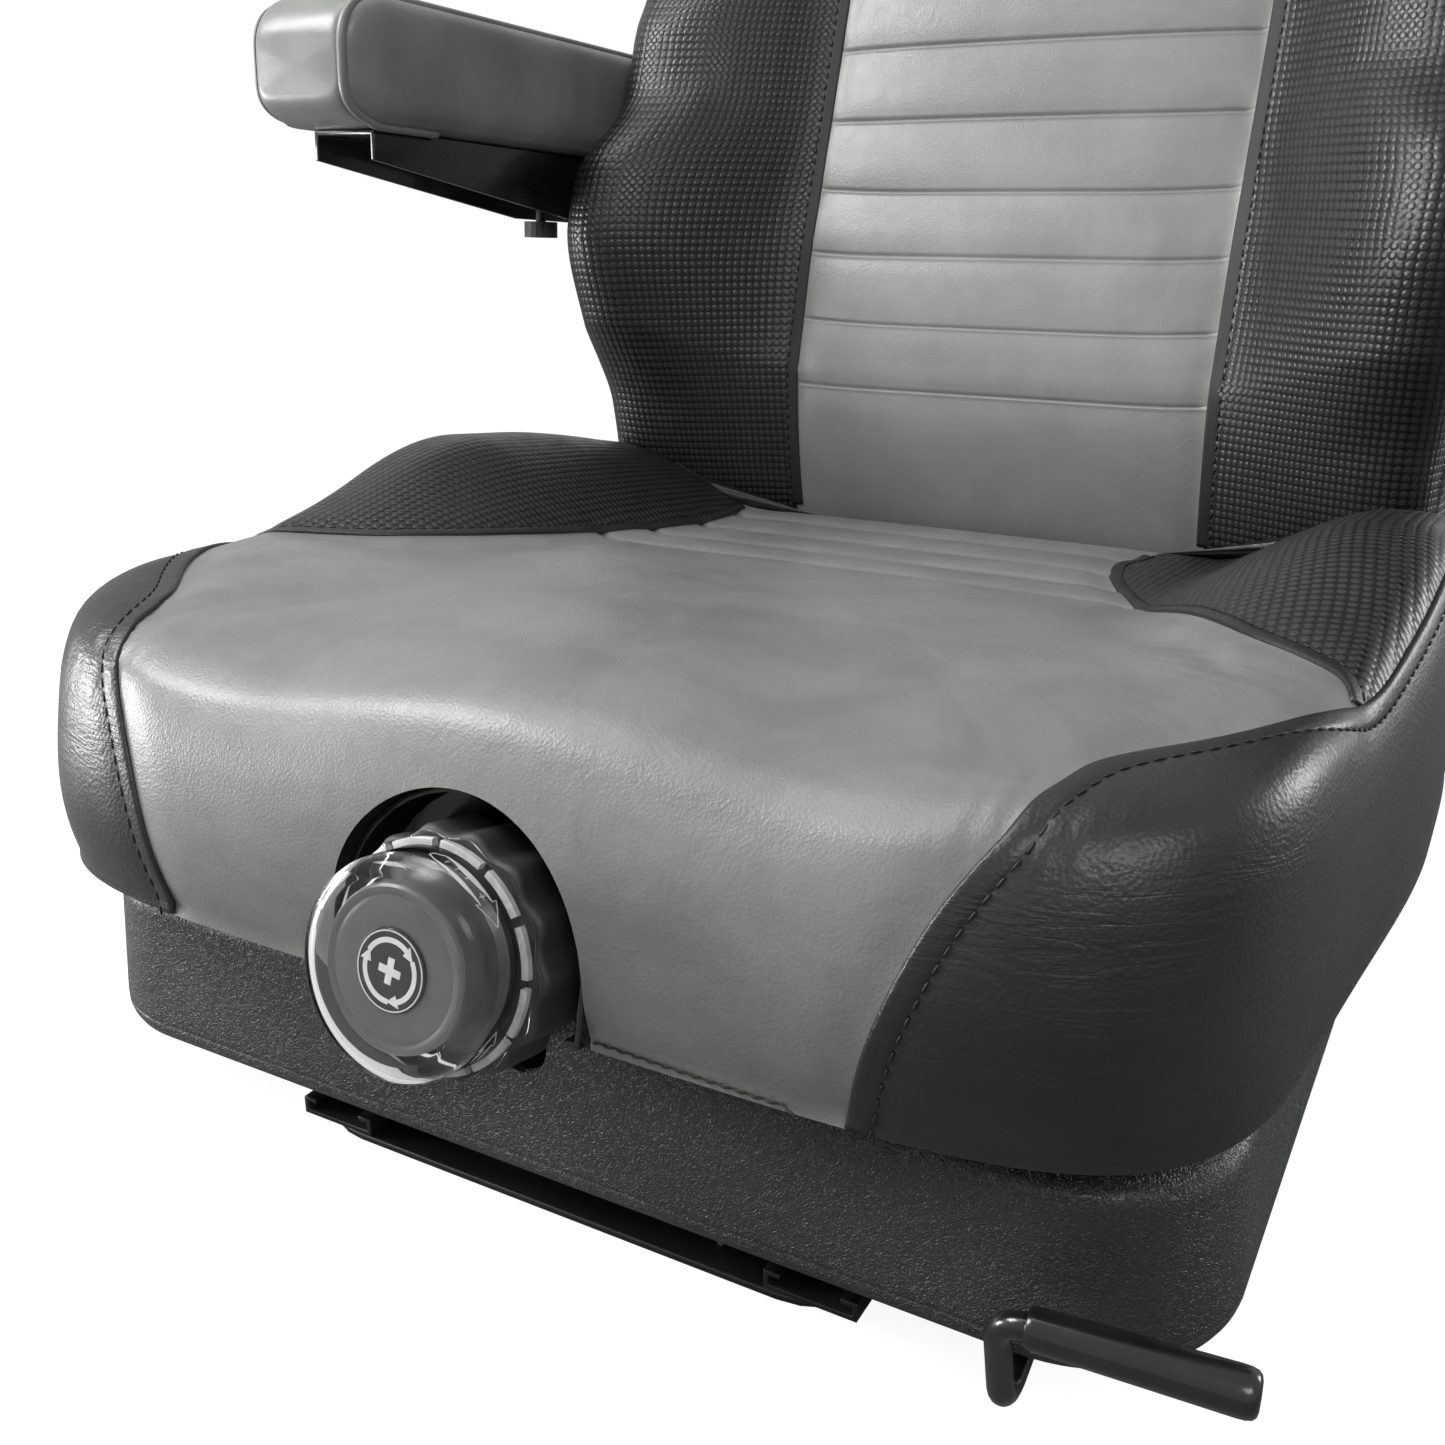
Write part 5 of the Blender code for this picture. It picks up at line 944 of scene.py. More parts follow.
# %% Lay a folded edge along a seam
FOLD_PROFILE = ((-0.0006, -0.0012), (-0.001, 0.0002), (-0.0006, 0.0011), (0.0003, 0.0015), (0.0018, 0.0014),
                (0.0045, 0.0012), (0.0062, 0.0007), (0.0072, 0.0001), (0.008, -0.0004), (0.0086, -0.0012))


def seam_frame(tree, seam, toward):
    """A seam's places and the directions across it, both without small kinks."""
    places, outward = lay_on(tree, seam, soften=60)
    places = eased(places, 12)
    return places, side_of(places, outward, toward)


def beside(tree, places, across, reach, raised):
    """The same line moved over the surface by reach and lifted off it, with the directions out."""
    spots, ups = lay_on(tree, places + across * reach, soften=40)
    return eased(spots + ups * raised, 8), ups


def folded_edge(name, tree, seam, toward, material, width=1.0, height=1.0):
    places, across = seam_frame(tree, seam, toward)
    columns = [beside(tree, places, across, reach * width, raised * height)[0]
               for reach, raised in FOLD_PROFILE]
    return loft(name, np.stack(columns, axis=1), material)


STITCH_LIFT = 0.0004


def stitch_line(tree, seam, toward, reach):
    """Where the stitches run: reach in from the seam, with the direction out of the surface."""
    return beside(tree, *seam_frame(tree, seam, toward), reach, STITCH_LIFT)


seat_tree = surface_search(seat_fine)
seat_folds = []
stitch_runs = []
for side, name in ((1, "left"), (-1, "right")):
    turn_over = (lambda p: p) if side == 1 else mirrored
    outside = np.array([side * 0.3, -0.2, 0.12])
    bolster = np.array([side * 0.24, 0.12, 0.24])
    seat_folds.append(folded_edge(f"corner_fold_{name}", seat_tree, turn_over(corner_seam), outside, BLACK))
    seat_folds.append(folded_edge(f"bolster_fold_{name}", seat_tree, bolster_seams[name], bolster, BLACK,
                                  0.75, 0.9))
    stitch_runs.append(stitch_line(seat_tree, turn_over(corner_seam), outside, 0.0074))
    stitch_runs.append(stitch_line(seat_tree, bolster_seams[name], bolster, 0.0055))
for piece in seat_folds:
    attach(piece, "seat")
print("folds:", len(seat_folds))

# %% [markdown]
# ## Stitches
# There are well over a thousand stitches, all alike, so Geometry Nodes place them: a line along the seam is
# cut into even steps and one small stitch is put on each, turned along the line and away from the surface.

# %% The stitching tree
def geometry_tree(name, inputs):
    """A Geometry Nodes tree that takes a mesh, the named inputs and a material."""
    tree = bpy.data.node_groups.new(name, "GeometryNodeTree")
    sockets = {"Geometry": "NodeSocketGeometry", **inputs, "Material": "NodeSocketMaterial"}
    for label, kind in sockets.items():
        tree.interface.new_socket(label, in_out="INPUT", socket_type=kind)
    tree.interface.new_socket("Geometry", in_out="OUTPUT", socket_type="NodeSocketGeometry")
    return tree, tree.nodes.new("NodeGroupInput")


def wire(tree, *links):
    """Each link is (node, its output, node, its input)."""
    for source, output, target, socket in links:
        tree.links.new(source.outputs[output], target.inputs[socket])


def hand_out(tree, given, made, output):
    """Make what a node gives real, paint it and hand it out."""
    real = tree.nodes.new("GeometryNodeRealizeInstances")
    paint = tree.nodes.new("GeometryNodeSetMaterial")
    result = tree.nodes.new("NodeGroupOutput")
    wire(tree, (made, output, real, "Geometry"), (real, "Geometry", paint, "Geometry"),
         (given, "Material", paint, "Material"), (paint, "Geometry", result, "Geometry"))


def outward_node(tree):
    """The direction that is stored with each point."""
    node = tree.nodes.new("GeometryNodeInputNamedAttribute")
    node.data_type = "FLOAT_VECTOR"
    node.inputs["Name"].default_value = "outward"
    return node


def stitching_tree():
    numbers = {label: "NodeSocketFloat" for label in ("Step", "Length", "Thickness")}
    tree, given = geometry_tree("Stitching", numbers)
    to_curve = tree.nodes.new("GeometryNodeMeshToCurve")
    even = tree.nodes.new("GeometryNodeResampleCurve")
    even.mode = "LENGTH"
    shape = tree.nodes.new("GeometryNodeMeshUVSphere")
    for label, value in (("Segments", 6), ("Rings", 5), ("Radius", 0.5)):
        shape.inputs[label].default_value = value
    tangent = tree.nodes.new("GeometryNodeInputTangent")
    turn = tree.nodes.new("FunctionNodeAxesToRotation")
    turn.primary_axis = "X"
    turn.secondary_axis = "Z"
    size = tree.nodes.new("ShaderNodeCombineXYZ")
    place = tree.nodes.new("GeometryNodeInstanceOnPoints")
    wire(tree, (given, "Geometry", to_curve, "Mesh"), (to_curve, "Curve", even, "Curve"),
         (given, "Step", even, "Length"), (even, "Curve", place, "Points"),
         (shape, "Mesh", place, "Instance"), (tangent, "Tangent", turn, "Primary Axis"),
         (outward_node(tree), "Attribute", turn, "Secondary Axis"), (turn, "Rotation", place, "Rotation"),
         (given, "Length", size, "X"), (given, "Thickness", size, "Y"), (given, "Thickness", size, "Z"),
         (size, "Vector", place, "Scale"))
    hand_out(tree, given, place, "Instances")
    return tree


STITCHING = stitching_tree()
print("stitching nodes:", len(STITCHING.nodes))


# %% Sew the seat's stitches
def run_nodes(item, tree, values):
    """Set the tree's inputs, evaluate it once, and keep the result as a plain mesh."""
    modifier = item.modifiers.new("nodes", "NODES")
    modifier.node_group = tree
    identifiers = {s.name: s.identifier for s in tree.interface.items_tree if s.in_out == "INPUT"}
    for label, value in values.items():
        modifier[identifiers[label]] = value
    keep_shape(item)
    item.data.shade_smooth()


def points_with_outward(name, points, edges, directions):
    """A mesh of points, or of lines, with a direction stored at each point."""
    mesh = bpy.data.meshes.new(name)
    mesh.from_pydata(points, edges, [])
    attribute = mesh.attributes.new("outward", "FLOAT_VECTOR", "POINT")
    attribute.data.foreach_set("vector", np.array(directions, float).reshape(-1))
    return put_in_scene(name, mesh)


def stitches(name, runs, material, step=0.006, length=0.0046, thickness=0.001):
    """One object with the stitches of several runs of (places, outward)."""
    verts, edges, outward = [], [], []
    for places, ups in runs:
        start = len(verts)
        verts += [tuple(p) for p in places]
        outward += [tuple(n) for n in ups]
        edges += [(i, i + 1) for i in range(start, len(verts) - 1)]
    item = points_with_outward(name, verts, edges, outward)
    run_nodes(item, STITCHING, {"Step": step, "Length": length, "Thickness": thickness, "Material": material})
    return item


seat_stitches = stitches("seat_stitches", stitch_runs, THREAD)
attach(seat_stitches, "seat")
print("stitch faces on the seat:", len(seat_stitches.data.polygons))

# %% [markdown]
# ## The back cushion
# The back cushion has a flat grey centre quilted in level channels, and two thick woven-look wings that
# stand forward at its sides. It is lofted upwards: each row is a level section of the pad. Rows are closer
# together at the channel lines, where the cover is pulled in sharply.

# %% Sizes and sections of the back cushion
BACK_TOP, BACK_FLOOR, BACK_CROWN = 0.65, 0.167, 0.06
BACK_HALF_WIDTH = 0.2435
LUMBAR_Y, LUMBAR_Z, LUMBAR_DEPTH = 0.245, 0.255, 0.0085
BACK_COLUMNS = 400
CHANNEL_FIRST, CHANNEL_PITCH = 0.254, 0.039
CENTRE_HALF_WIDTH = 0.121
WING_START, WING_PEAK = 0.118, 0.222


def back_rear_y(z):
    return 0.337 + (z - 0.185) * math.tan(math.radians(15))


def back_crown(z):
    if z <= BACK_TOP - BACK_CROWN:
        return 1
    return math.sqrt(max(1 - ((z - BACK_TOP + BACK_CROWN) / BACK_CROWN) ** 2, 0))


def back_section(z):
    """Level section as a closed line of (x, y), from the middle of the front round by +X."""
    step = lambda value, start, end: float(smooth_step(value, start, end))
    crown = back_crown(z)
    wide = BACK_HALF_WIDTH * (1 - 0.02 * (1 - step(z, 0.2, 0.32)))
    wide *= 1 - 0.02 * step(z, 0.35, 0.395) - 0.11 * step(z, 0.445, BACK_TOP)
    wide *= 0.72 + 0.28 * crown
    scale = wide / BACK_HALF_WIDTH
    above = max(z - LUMBAR_Z, 0)
    below = max(LUMBAR_Z - z, 0)
    front = LUMBAR_Y + (above - 0.02 * step(above, 0, 0.08)) * math.tan(math.radians(17.1))
    front += LUMBAR_DEPTH * (below / 0.07) ** 2
    rear = back_rear_y(z)
    wing = 0.086 * (0.5 + 0.5 * step(z, 0.2, 0.32))
    wing *= 1 - 0.3 * step(z, 0.35, 0.42) - 0.5 * step(z, 0.445, BACK_TOP)
    half = []
    for x in (0, 0.03, 0.06, 0.09, 0.118, 0.13, 0.142, 0.156, 0.17, 0.182, 0.195, 0.208):
        half.append((x * scale, front - wing * step(x, WING_START, WING_PEAK)))
    peak = front - wing
    half += [(WING_PEAK * scale, peak), (wide - 0.01, peak + 0.003), (wide - 0.002, peak + 0.014)]
    half += [(wide, peak + 0.04), (wide - 0.004, (peak + rear) / 2 + 0.02), (wide - 0.02, rear - 0.006)]
    half += [(wide - 0.045, rear), (0.15 * scale, rear), (0.08 * scale, rear), (0, rear)]
    middle = rear - (rear - front) * 0.45
    thickness = 0.35 + 0.65 * crown
    half = [(x, middle + (y - middle) * thickness) for x, y in half]
    return np.array(half + [(-x, y) for x, y in reversed(half[1:-1])])


LAST_ON_SEAT = 0.254


def seat_height(x, y):
    """Height of the finished seat cover, found by looking down on it."""
    heights = [seat_tree.ray_cast(Vector((a, b, 0.5)), Vector((0, 0, -1)))[0] for a, b in zip(x, y)]
    return np.array([hit.z if hit is not None else LIP_HEIGHT + 0.05 for hit in heights])


def back_ring(level, columns, shrink=1.0):
    """A ring that follows the seat at the bottom. Higher up, the seat's steps fade out of it."""
    z = BACK_FLOOR + (BACK_TOP - BACK_FLOOR) * level
    section = back_section(z)
    ring = even_loop(smooth_curve(section, len(section) * 30, closed=True), columns)
    centre = ring.mean(axis=0)
    x, y = (centre + (ring - centre) * shrink).T
    behind = smooth_step(y, CUSHION_REAR, CUSHION_REAR + 0.014)
    ground = seat_height(x, np.minimum(y, LAST_ON_SEAT)) + 0.0005
    ground = ground + (BACK_FLOOR - ground) * behind
    # The seat's steps are averaged over a part of the ring, more and more with height
    reach = columns // 14
    weights = np.hanning(2 * reach + 3)[1:-1]
    round_ring = np.r_[ground[-reach:], ground, ground[:reach]]
    eased_ground = np.convolve(round_ring, weights / weights.sum(), "valid")
    ground = ground + (eased_ground - ground) * smooth_step(level, 0.01, 0.22)
    return np.column_stack([x, y, ground + (BACK_TOP - ground) * level])


def level_of(z):
    """The row whose front centre is at height z."""
    ground = float(seat_height([0], [LAST_ON_SEAT])[0])
    return (z - ground) / (BACK_TOP - ground)


CHANNEL_STEPS = (-0.0085, -0.006, -0.0048, -0.0038, -0.0029, -0.002, -0.001, 0, 0.0008, 0.0018, 0.0034,
                 0.0055, 0.0085)
channel_levels = [level_of(CHANNEL_FIRST + CHANNEL_PITCH * i) for i in range(10)]
channel_levels = [level for level in channel_levels if level < 0.955]
back_levels = {0.0, 0.006, 0.014, 0.024, 0.036, 0.05, 1.0}
for level in channel_levels:
    back_levels |= {round(level + d, 5) for d in CHANNEL_STEPS}
wanted = np.linspace(0.05, 1.0, 80)
back_levels |= {round(float(v), 5) for v in wanted if min(abs(v - b) for b in channel_levels) > 0.011}
back_levels = np.array(sorted(back_levels))
back_rings = np.array([back_ring(level, BACK_COLUMNS) for level in back_levels])
print("channels:", len(channel_levels), "rows:", len(back_levels))

# %% [markdown]
# The cover swells in the same cloth simulation. The quilting is too sharp for it, so each channel is a narrow
# dip with a small lip below it.

# %% Swell the back cushion, then quilt its centre
coarse_levels = np.linspace(0, 1, 34)
coarse_back = np.array([back_ring(level, 96) for level in coarse_levels])
coarse_held = np.zeros(coarse_back.shape[:2], bool)
coarse_held[0] = True
coarse_held |= coarse_back[:, :, 1] > back_rear_y(coarse_back[:, :, 2]) - 0.02
for edge in (CENTRE_HALF_WIDTH, -CENTRE_HALF_WIDTH):
    coarse_held |= np.abs(coarse_back[:, :, 0] - edge) < 0.007
back_swell = swell(coarse_back, coarse_held)
at_level = np.interp(back_levels, coarse_levels, np.arange(len(coarse_levels)))
low = np.minimum(at_level.astype(int), len(coarse_levels) - 2)
part = (at_level - low)[:, None, None]
rows_done = back_swell[low] * (1 - part) + back_swell[low + 1] * part
back_fine = back_rings + spread(rows_done, len(back_levels), BACK_COLUMNS)

across = np.abs(back_rings[:, :, 0])
facing_front = back_rings[:, :, 1] < back_rear_y(back_rings[:, :, 2]) - 0.03
nearest = np.abs(back_levels[:, None] - np.array(channel_levels)[None]).argmin(axis=1)
above_line = (back_levels - np.array(channel_levels)[nearest]) * (BACK_TOP - 0.19)
tuck = -0.0013 * np.exp(-(above_line / 0.0007) ** 2) + 0.0006 * np.exp(-((above_line + 0.0016) / 0.0009) ** 2)
tuck -= 0.0011 * np.exp(-(above_line / 0.006) ** 2)
centre_share = facing_front * (1 - smooth_step(across, CENTRE_HALF_WIDTH - 0.005, CENTRE_HALF_WIDTH))
border = np.exp(-((across - CENTRE_HALF_WIDTH) / 0.008) ** 2) * facing_front
lean = np.array([0, -math.cos(math.radians(17)), math.sin(math.radians(17))])
push = centre_share * tuck[:, None] - 0.0014 * border
back_fine = back_fine + push[:, :, None] * lean
print("quilt depth", round(float(push.max() - push.min()) * 1000, 1), "mm")

# %% [markdown]
# Rings below and above close the cover. The middle of its front is the grey panel, the rest of the front is
# woven and the back is smooth. The weave is measured on the surface, eased so that it doesn't shear.

# %% Build the back cover
top_caps = [back_fine[-1].mean(axis=0) + (back_fine[-1] - back_fine[-1].mean(axis=0)) * [s, s, 1] + [0, 0, h]
            for s, h in ((0.94, 0.0012), (0.8, 0.002), (0.5, 0.0024), (0.2, 0.0025))]
under = [back_ring(0, BACK_COLUMNS, s) for s in (0.2, 0.5, 0.8, 0.95)]
whole_back = np.concatenate([under, back_fine, top_caps])
back_cover = loft("back_cover", whole_back, [CHANNEL_GREY, BLACK, WOVEN_BLACK])
middle_x = (np.abs(back_rings[:, :, 0]) + np.abs(np.roll(back_rings[:, :, 0], -1, axis=1))) / 2
middle_x = (middle_x[:-1] + middle_x[1:]) / 2
front_faces = facing_front[:-1] & facing_front[1:]
back_panel_index = np.full(middle_x.shape, WOVEN_PANEL)
back_panel_index[~front_faces] = BLACK_PANEL
back_panel_index[front_faces & (middle_x < CENTRE_HALF_WIDTH + 0.003)] = GREY_PANEL
set_panels(back_cover, back_panel_index, 4)

# The woven pads stand in level rows and run parallel to the seam and to the wing's peak
steps = np.linalg.norm(back_rings - np.roll(back_rings, 1, axis=1), axis=2)
steps[:, 0] = 0
round_length = np.cumsum(steps, axis=1)
half = BACK_COLUMNS // 2
from_front = np.minimum(round_length, round_length[:, -1:] + steps[:, 1:2] - round_length)
SEAM_LENGTH, PEAK_LENGTH = 0.118, 0.25
marks_at = []
# Where the seam and the peak lie along each row, as distances from the middle of the front
for row, ring in enumerate(back_rings):
    widest = ring[:half, 0].argmax() + 1
    marks_at.append(np.interp([WING_START, WING_PEAK], ring[:widest, 0] / ring[:, 0].max() * BACK_HALF_WIDTH,
                              from_front[row, :widest]))
marks_at = np.array(marks_at)
even_levels = np.linspace(0, 1, 25)
for k in range(2):
    eased_marks = np.interp(even_levels, back_levels, marks_at[:, k])
    marks_at[:, k] = np.interp(back_levels, even_levels, eased_marks)
u_rows = np.empty_like(from_front)
for row, (at_seam, at_peak) in enumerate(marks_at):
    lengths = [0, at_seam, at_peak, at_peak + 1]
    u_rows[row] = np.interp(from_front[row], lengths, [0, SEAM_LENGTH, PEAK_LENGTH, PEAK_LENGTH + 1])
print("seam and peak move along the height by", np.round(np.ptp(marks_at, axis=0) * 1000, 1), "mm")
u_rows[:, half:] *= -1
u = np.concatenate([np.repeat(u_rows[:1], 4, axis=0), u_rows, np.repeat(u_rows[-1:], 4, axis=0)])
v = whole_back[:, :, 2] * 1.045
set_uv(back_cover, u, v, len(whole_back), BACK_COLUMNS)
cut_with(back_cover, side_slots(0.1865, 0.1995, 0.248, 0.359, 0.15, 0.212), 60)
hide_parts("back_cushion")
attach(back_cover, "backrest")
print("back cover faces:", len(back_cover.data.polygons))

# %% Fold and stitch the back's edges
back_tree = surface_search(back_fine)
border_heights = np.linspace(0.184, 0.644, 63)
back_folds = []
back_runs = []
for side, name in ((1, "left"), (-1, "right")):
    line = [(side * CENTRE_HALF_WIDTH, -0.1, z) for z in border_heights]
    line = even_points(drop_on(back_tree, line, (0, 1, 0), 0.3), 0.002)
    outside = np.array([side * 0.2, 0.2, 0.4])
    back_folds.append(folded_edge(f"back_fold_{name}", back_tree, line, outside, FOLD_BLACK, 0.85, 0.5))
    back_runs.append(stitch_line(back_tree, line, outside, 0.0066))
for piece in back_folds:
    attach(piece, "backrest")
back_stitches = stitches("back_stitches", back_runs, THREAD, 0.0062, 0.004, 0.0011)
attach(back_stitches, "backrest")
print("stitch faces on the back:", len(back_stitches.data.polygons))

# %% [markdown]
# ## Armrest pads
# Each pad is a foam block in grey vinyl. A top strip runs over the pad, down its rounded front and under
# it, between two seams. The inner seam carries a soft piping. The block is lofted along its length in its
# own sloped frame, with both ends rounded.

# %% Build the armrest pads
ARM_PIVOT = Vector((0, 0.41, 0.4))
ARM_SLOPE = math.radians(3)
PAD_REAR, PAD_FRONT, PAD_BOTTOM, PAD_TOP = 0.095, 0.391, -0.0227, 0.0405
PAD_INNER_X, PAD_WIDTH = 0.245, 0.078
PAD_NOSE, PAD_TAIL = 0.03, 0.016


def on_armrest(x, along, height):
    y = ARM_PIVOT.y - along * math.cos(ARM_SLOPE) + height * math.sin(ARM_SLOPE)
    z = ARM_PIVOT.z + along * math.sin(ARM_SLOPE) + height * math.cos(ARM_SLOPE)
    return np.array([x, y, z])


def pad_section(along, columns=160):
    """Section across the pad: sides pulled in a little, top crowned, corners round."""
    half_width, low, high = PAD_WIDTH / 2, PAD_BOTTOM, PAD_TOP
    to_front, to_rear = PAD_FRONT - along, along - PAD_REAR
    nose = 1 - math.sqrt(max(1 - (1 - min(to_front / PAD_NOSE, 1)) ** 2, 0))
    tail = 1 - math.sqrt(max(1 - (1 - min(to_rear / PAD_TAIL, 1)) ** 2, 0))
    drop = 0.024 * nose + 0.014 * tail
    lift = 0.014 * nose + 0.006 * tail
    pinch = 0.014 * nose + 0.012 * tail
    middle, tall = (high - drop + low + lift) / 2, (high - drop - low - lift) / 2
    wide = half_width - pinch
    turn = np.linspace(0, 2 * np.pi, columns * 20, endpoint=False)
    power = 2 / 5.0
    x = np.sign(np.cos(turn)) * np.abs(np.cos(turn)) ** power
    h = np.sign(np.sin(turn)) * np.abs(np.sin(turn)) ** power
    ring = np.column_stack([x * wide, middle + h * tall])
    return even_loop(ring, columns)


def pad_alongs():
    rear = PAD_REAR + PAD_TAIL * (1 - np.cos(np.linspace(0.0, np.pi / 2, 14)))
    body = np.linspace(PAD_REAR + 0.02, PAD_FRONT - 0.034, 90)
    front = PAD_FRONT - PAD_NOSE * (1 - np.cos(np.linspace(np.pi / 2, 0.0, 24)))
    return np.r_[rear, body, front]


PAD_SEAM_X = 0.0285
pads = {}
for side, name in ((1, "left"), (-1, "right")):
    middle_x = side * (PAD_INNER_X + PAD_WIDTH / 2)
    rings = []
    for along in pad_alongs():
        rings.append([on_armrest(middle_x + x, along, h) for x, h in pad_section(along)])
    rings = np.array(rings)
    up = grid_normals(rings)
    centre = rings.mean(axis=1, keepdims=True)
    if ((rings - centre) * up).sum() < 0:
        up = -up
    gap = np.minimum(np.abs(rings[:, :, 0] - middle_x - PAD_SEAM_X),
                     np.abs(rings[:, :, 0] - middle_x + PAD_SEAM_X))
    flat_top = (up[:, :, 2] > 0.3) | (rings[:, :, 1] < on_armrest(0, PAD_FRONT - 0.02, 0)[1])
    rings = rings - up * (0.001 * np.exp(-(gap / 0.0022) ** 2) * flat_top)[:, :, None]
    pad = loft(f"armrest_cover_{name}", rings, PAD_GREY)
    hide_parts(f"armrest_pad_{name}")
    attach(pad, f"armrest_{name}")
    pads[name] = rings
print("pads:", len(pads))

# %% [markdown]
# Piping and seams run along a pad's top, round its nose and back under it. Each line is found by looking at
# the pad from a path that goes round it.

# %% Piping and seam lines on the pads
PAD_PATH = [(along, PAD_TOP + 0.03) for along in np.linspace(PAD_REAR + 0.012, PAD_FRONT - 0.03, 40)]
for turn in np.linspace(0, np.pi, 30)[1:]:
    PAD_PATH.append((PAD_FRONT - 0.03 + 0.06 * math.sin(turn), 0.009 + 0.0615 * math.cos(turn)))
PAD_PATH += [(along, PAD_BOTTOM - 0.03) for along in np.linspace(PAD_FRONT - 0.04, PAD_FRONT - 0.07, 8)]
for side, name in ((1, "left"), (-1, "right")):
    tree = surface_search(pads[name])
    middle_x = side * (PAD_INNER_X + PAD_WIDTH / 2)
    lines = []
    for offset in (-PAD_SEAM_X, PAD_SEAM_X):
        inner = side * offset < 0
        x = middle_x + offset
        line = []
        for along, height in PAD_PATH:
            target = on_armrest(x, min(along, PAD_FRONT - 0.03), 0.009)
            start = on_armrest(x, along, height)
            hit = tree.ray_cast(Vector(start), Vector(target - start).normalized())[0]
            if hit is not None:
                line.append(tuple(hit))
        line = even_points(smooth_curve(line, 300), 0.002)
        places, outward = lay_on(tree, line)
        if inner:
            piping = sweep(f"armrest_piping_{name}", places + outward * 0.0004, circle_section(0.0024),
                           PAD_GREY, outward)
            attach(piping, f"armrest_{name}")
        seam = sweep(f"armrest_seam_{name}_{'inner' if inner else 'outer'}",
                     places + outward * -0.0001 + (np.array([side * 0.0034, 0, 0]) if inner else 0),
                     circle_section(0.0005, 6), THREAD, outward)
        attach(seam, f"armrest_{name}")
print("pad seams laid")

# %% [markdown]
# ## The weight knob
# The knob has a black scalloped grip wheel and a clear cap over a satin dial with a black centre button. All
# are turned shapes about the knob's tilted axis, so each is a profile spun round it. The clear cap has a
# real wall with an inside and an outside, because light bends at both.

# %% Wheel, cap and dial
LOBES = 14


def scallops(profile, depth, sides):
    """Rings of (radius, out, share) whose radius swings in and out round the axis."""
    rings = []
    for radius, out, share in profile:
        ring = []
        for i in range(sides):
            turn = 2 * math.pi * i / sides
            reach = radius - depth * share * (1 - math.cos(turn * LOBES))
            ring.append(on_knob(reach * math.cos(turn), reach * math.sin(turn), out))
        rings.append(ring)
    return rings


WHEEL_PROFILE = ((0.0055, -0.008, 0), (0.038, -0.008, 0), (0.0405, -0.0078, 1), (0.0415, -0.007, 1),
                 (0.0419, -0.0058, 1), (0.042, 0.004, 1), (0.042, 0.0148, 1), (0.0417, 0.0162, 1),
                 (0.0409, 0.0171, 1), (0.0396, 0.0175, 1), (0.036, 0.0175, 0), (0.0345, 0.017, 0),
                 (0.01, 0.017, 0))
wheel = loft("grip_wheel", scallops(WHEEL_PROFILE, 0.0015, 280), MATT, angle=40)
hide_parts("knob_wheel")

CAP_OUTER = ((0.0395, 0.018), (0.0402, 0.0182), (0.0403, 0.019), (0.0398, 0.0194), (0.0364, 0.0195),
             (0.036, 0.02), (0.036, 0.036), (0.0358, 0.039), (0.035, 0.0414), (0.0336, 0.0428),
             (0.032, 0.0434), (0.0306, 0.0434), (0.0296, 0.043), (0.0288, 0.0427), (0.02, 0.0427),
             (0.008, 0.0427))
CAP_INNER = ((0.008, 0.0416), (0.02, 0.0416), (0.0292, 0.0416), (0.0312, 0.0415), (0.033, 0.0408),
             (0.0343, 0.0393), (0.035, 0.037), (0.0352, 0.033), (0.0352, 0.024), (0.0352, 0.018))
FOOT_RADIUS = 0.039
cap_profile = [(radius, out, radius > FOOT_RADIUS) for radius, out in CAP_INNER + CAP_OUTER]
cap = loft("clear_cap", scallops(cap_profile, 0.0009, 288), CLEAR, angle=50)
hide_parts("knob_cap")

print("wheel and cap turned")

# %% Ring, dial and button
# The cap's ring is painted pale grey as a painted highlight, for the light it catches, and is parted by small
# dark slots
RING_SECTION = ((0.0362, 0.0203), (0.038, 0.0203), (0.0385, 0.0207), (0.0385, 0.0228), (0.038, 0.0232),
                (0.0362, 0.0232))
RING_PARTS = 12
ring_parts = []
for part in range(RING_PARTS):
    rings = []
    for i in range(17):
        turn = 2 * math.pi * (part + (0.1 + 0.84 * i / 16)) / RING_PARTS
        rings.append([on_knob(r * math.cos(turn), r * math.sin(turn), out) for r, out in RING_SECTION])
    ring_parts.append(loft("ring_part", rings, PAINTED_HIGHLIGHT_RING, angle=50))
with bpy.context.temp_override(active_object=ring_parts[0], selected_editable_objects=ring_parts):
    bpy.ops.object.join()
cap_ring = ring_parts[0]
cap_ring.name = "cap_ring"
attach(cap_ring, "weight_knob")

DIAL_PROFILE = ((0.0004, 0.018), (0.031, 0.018), (0.0313, 0.0184), (0.0313, 0.0216), (0.03, 0.0226),
                (0.0284, 0.024), (0.0277, 0.0262), (0.0275, 0.029), (0.0275, 0.038), (0.0271, 0.0394),
                (0.0262, 0.0402), (0.025, 0.0402), (0.0244, 0.0399), (0.0236, 0.0396), (0.0228, 0.0398),
                (0.022, 0.04), (0.015, 0.04), (0.013, 0.0398), (0.0004, 0.0398))
DISH_EDGE = 0.0376
dial = turned("satin_dial", DIAL_PROFILE, DISH, on_knob, sides=160)
dial.data.materials.append(DISH_SIDE)
for face in dial.data.polygons:
    if (face.center - KNOB_CENTRE).dot(KNOB_AXIS) < DISH_EDGE:
        face.material_index = 1
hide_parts("knob_dial")
EMBLEM_PROFILE = ((0.0004, 0.04), (0.0133, 0.04), (0.0135, 0.0402), (0.0135, 0.0408), (0.0132, 0.041),
                  (0.0004, 0.041))
emblem = turned("centre_button", EMBLEM_PROFILE, EMBLEM, on_knob, sides=96)
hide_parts("knob_emblem")
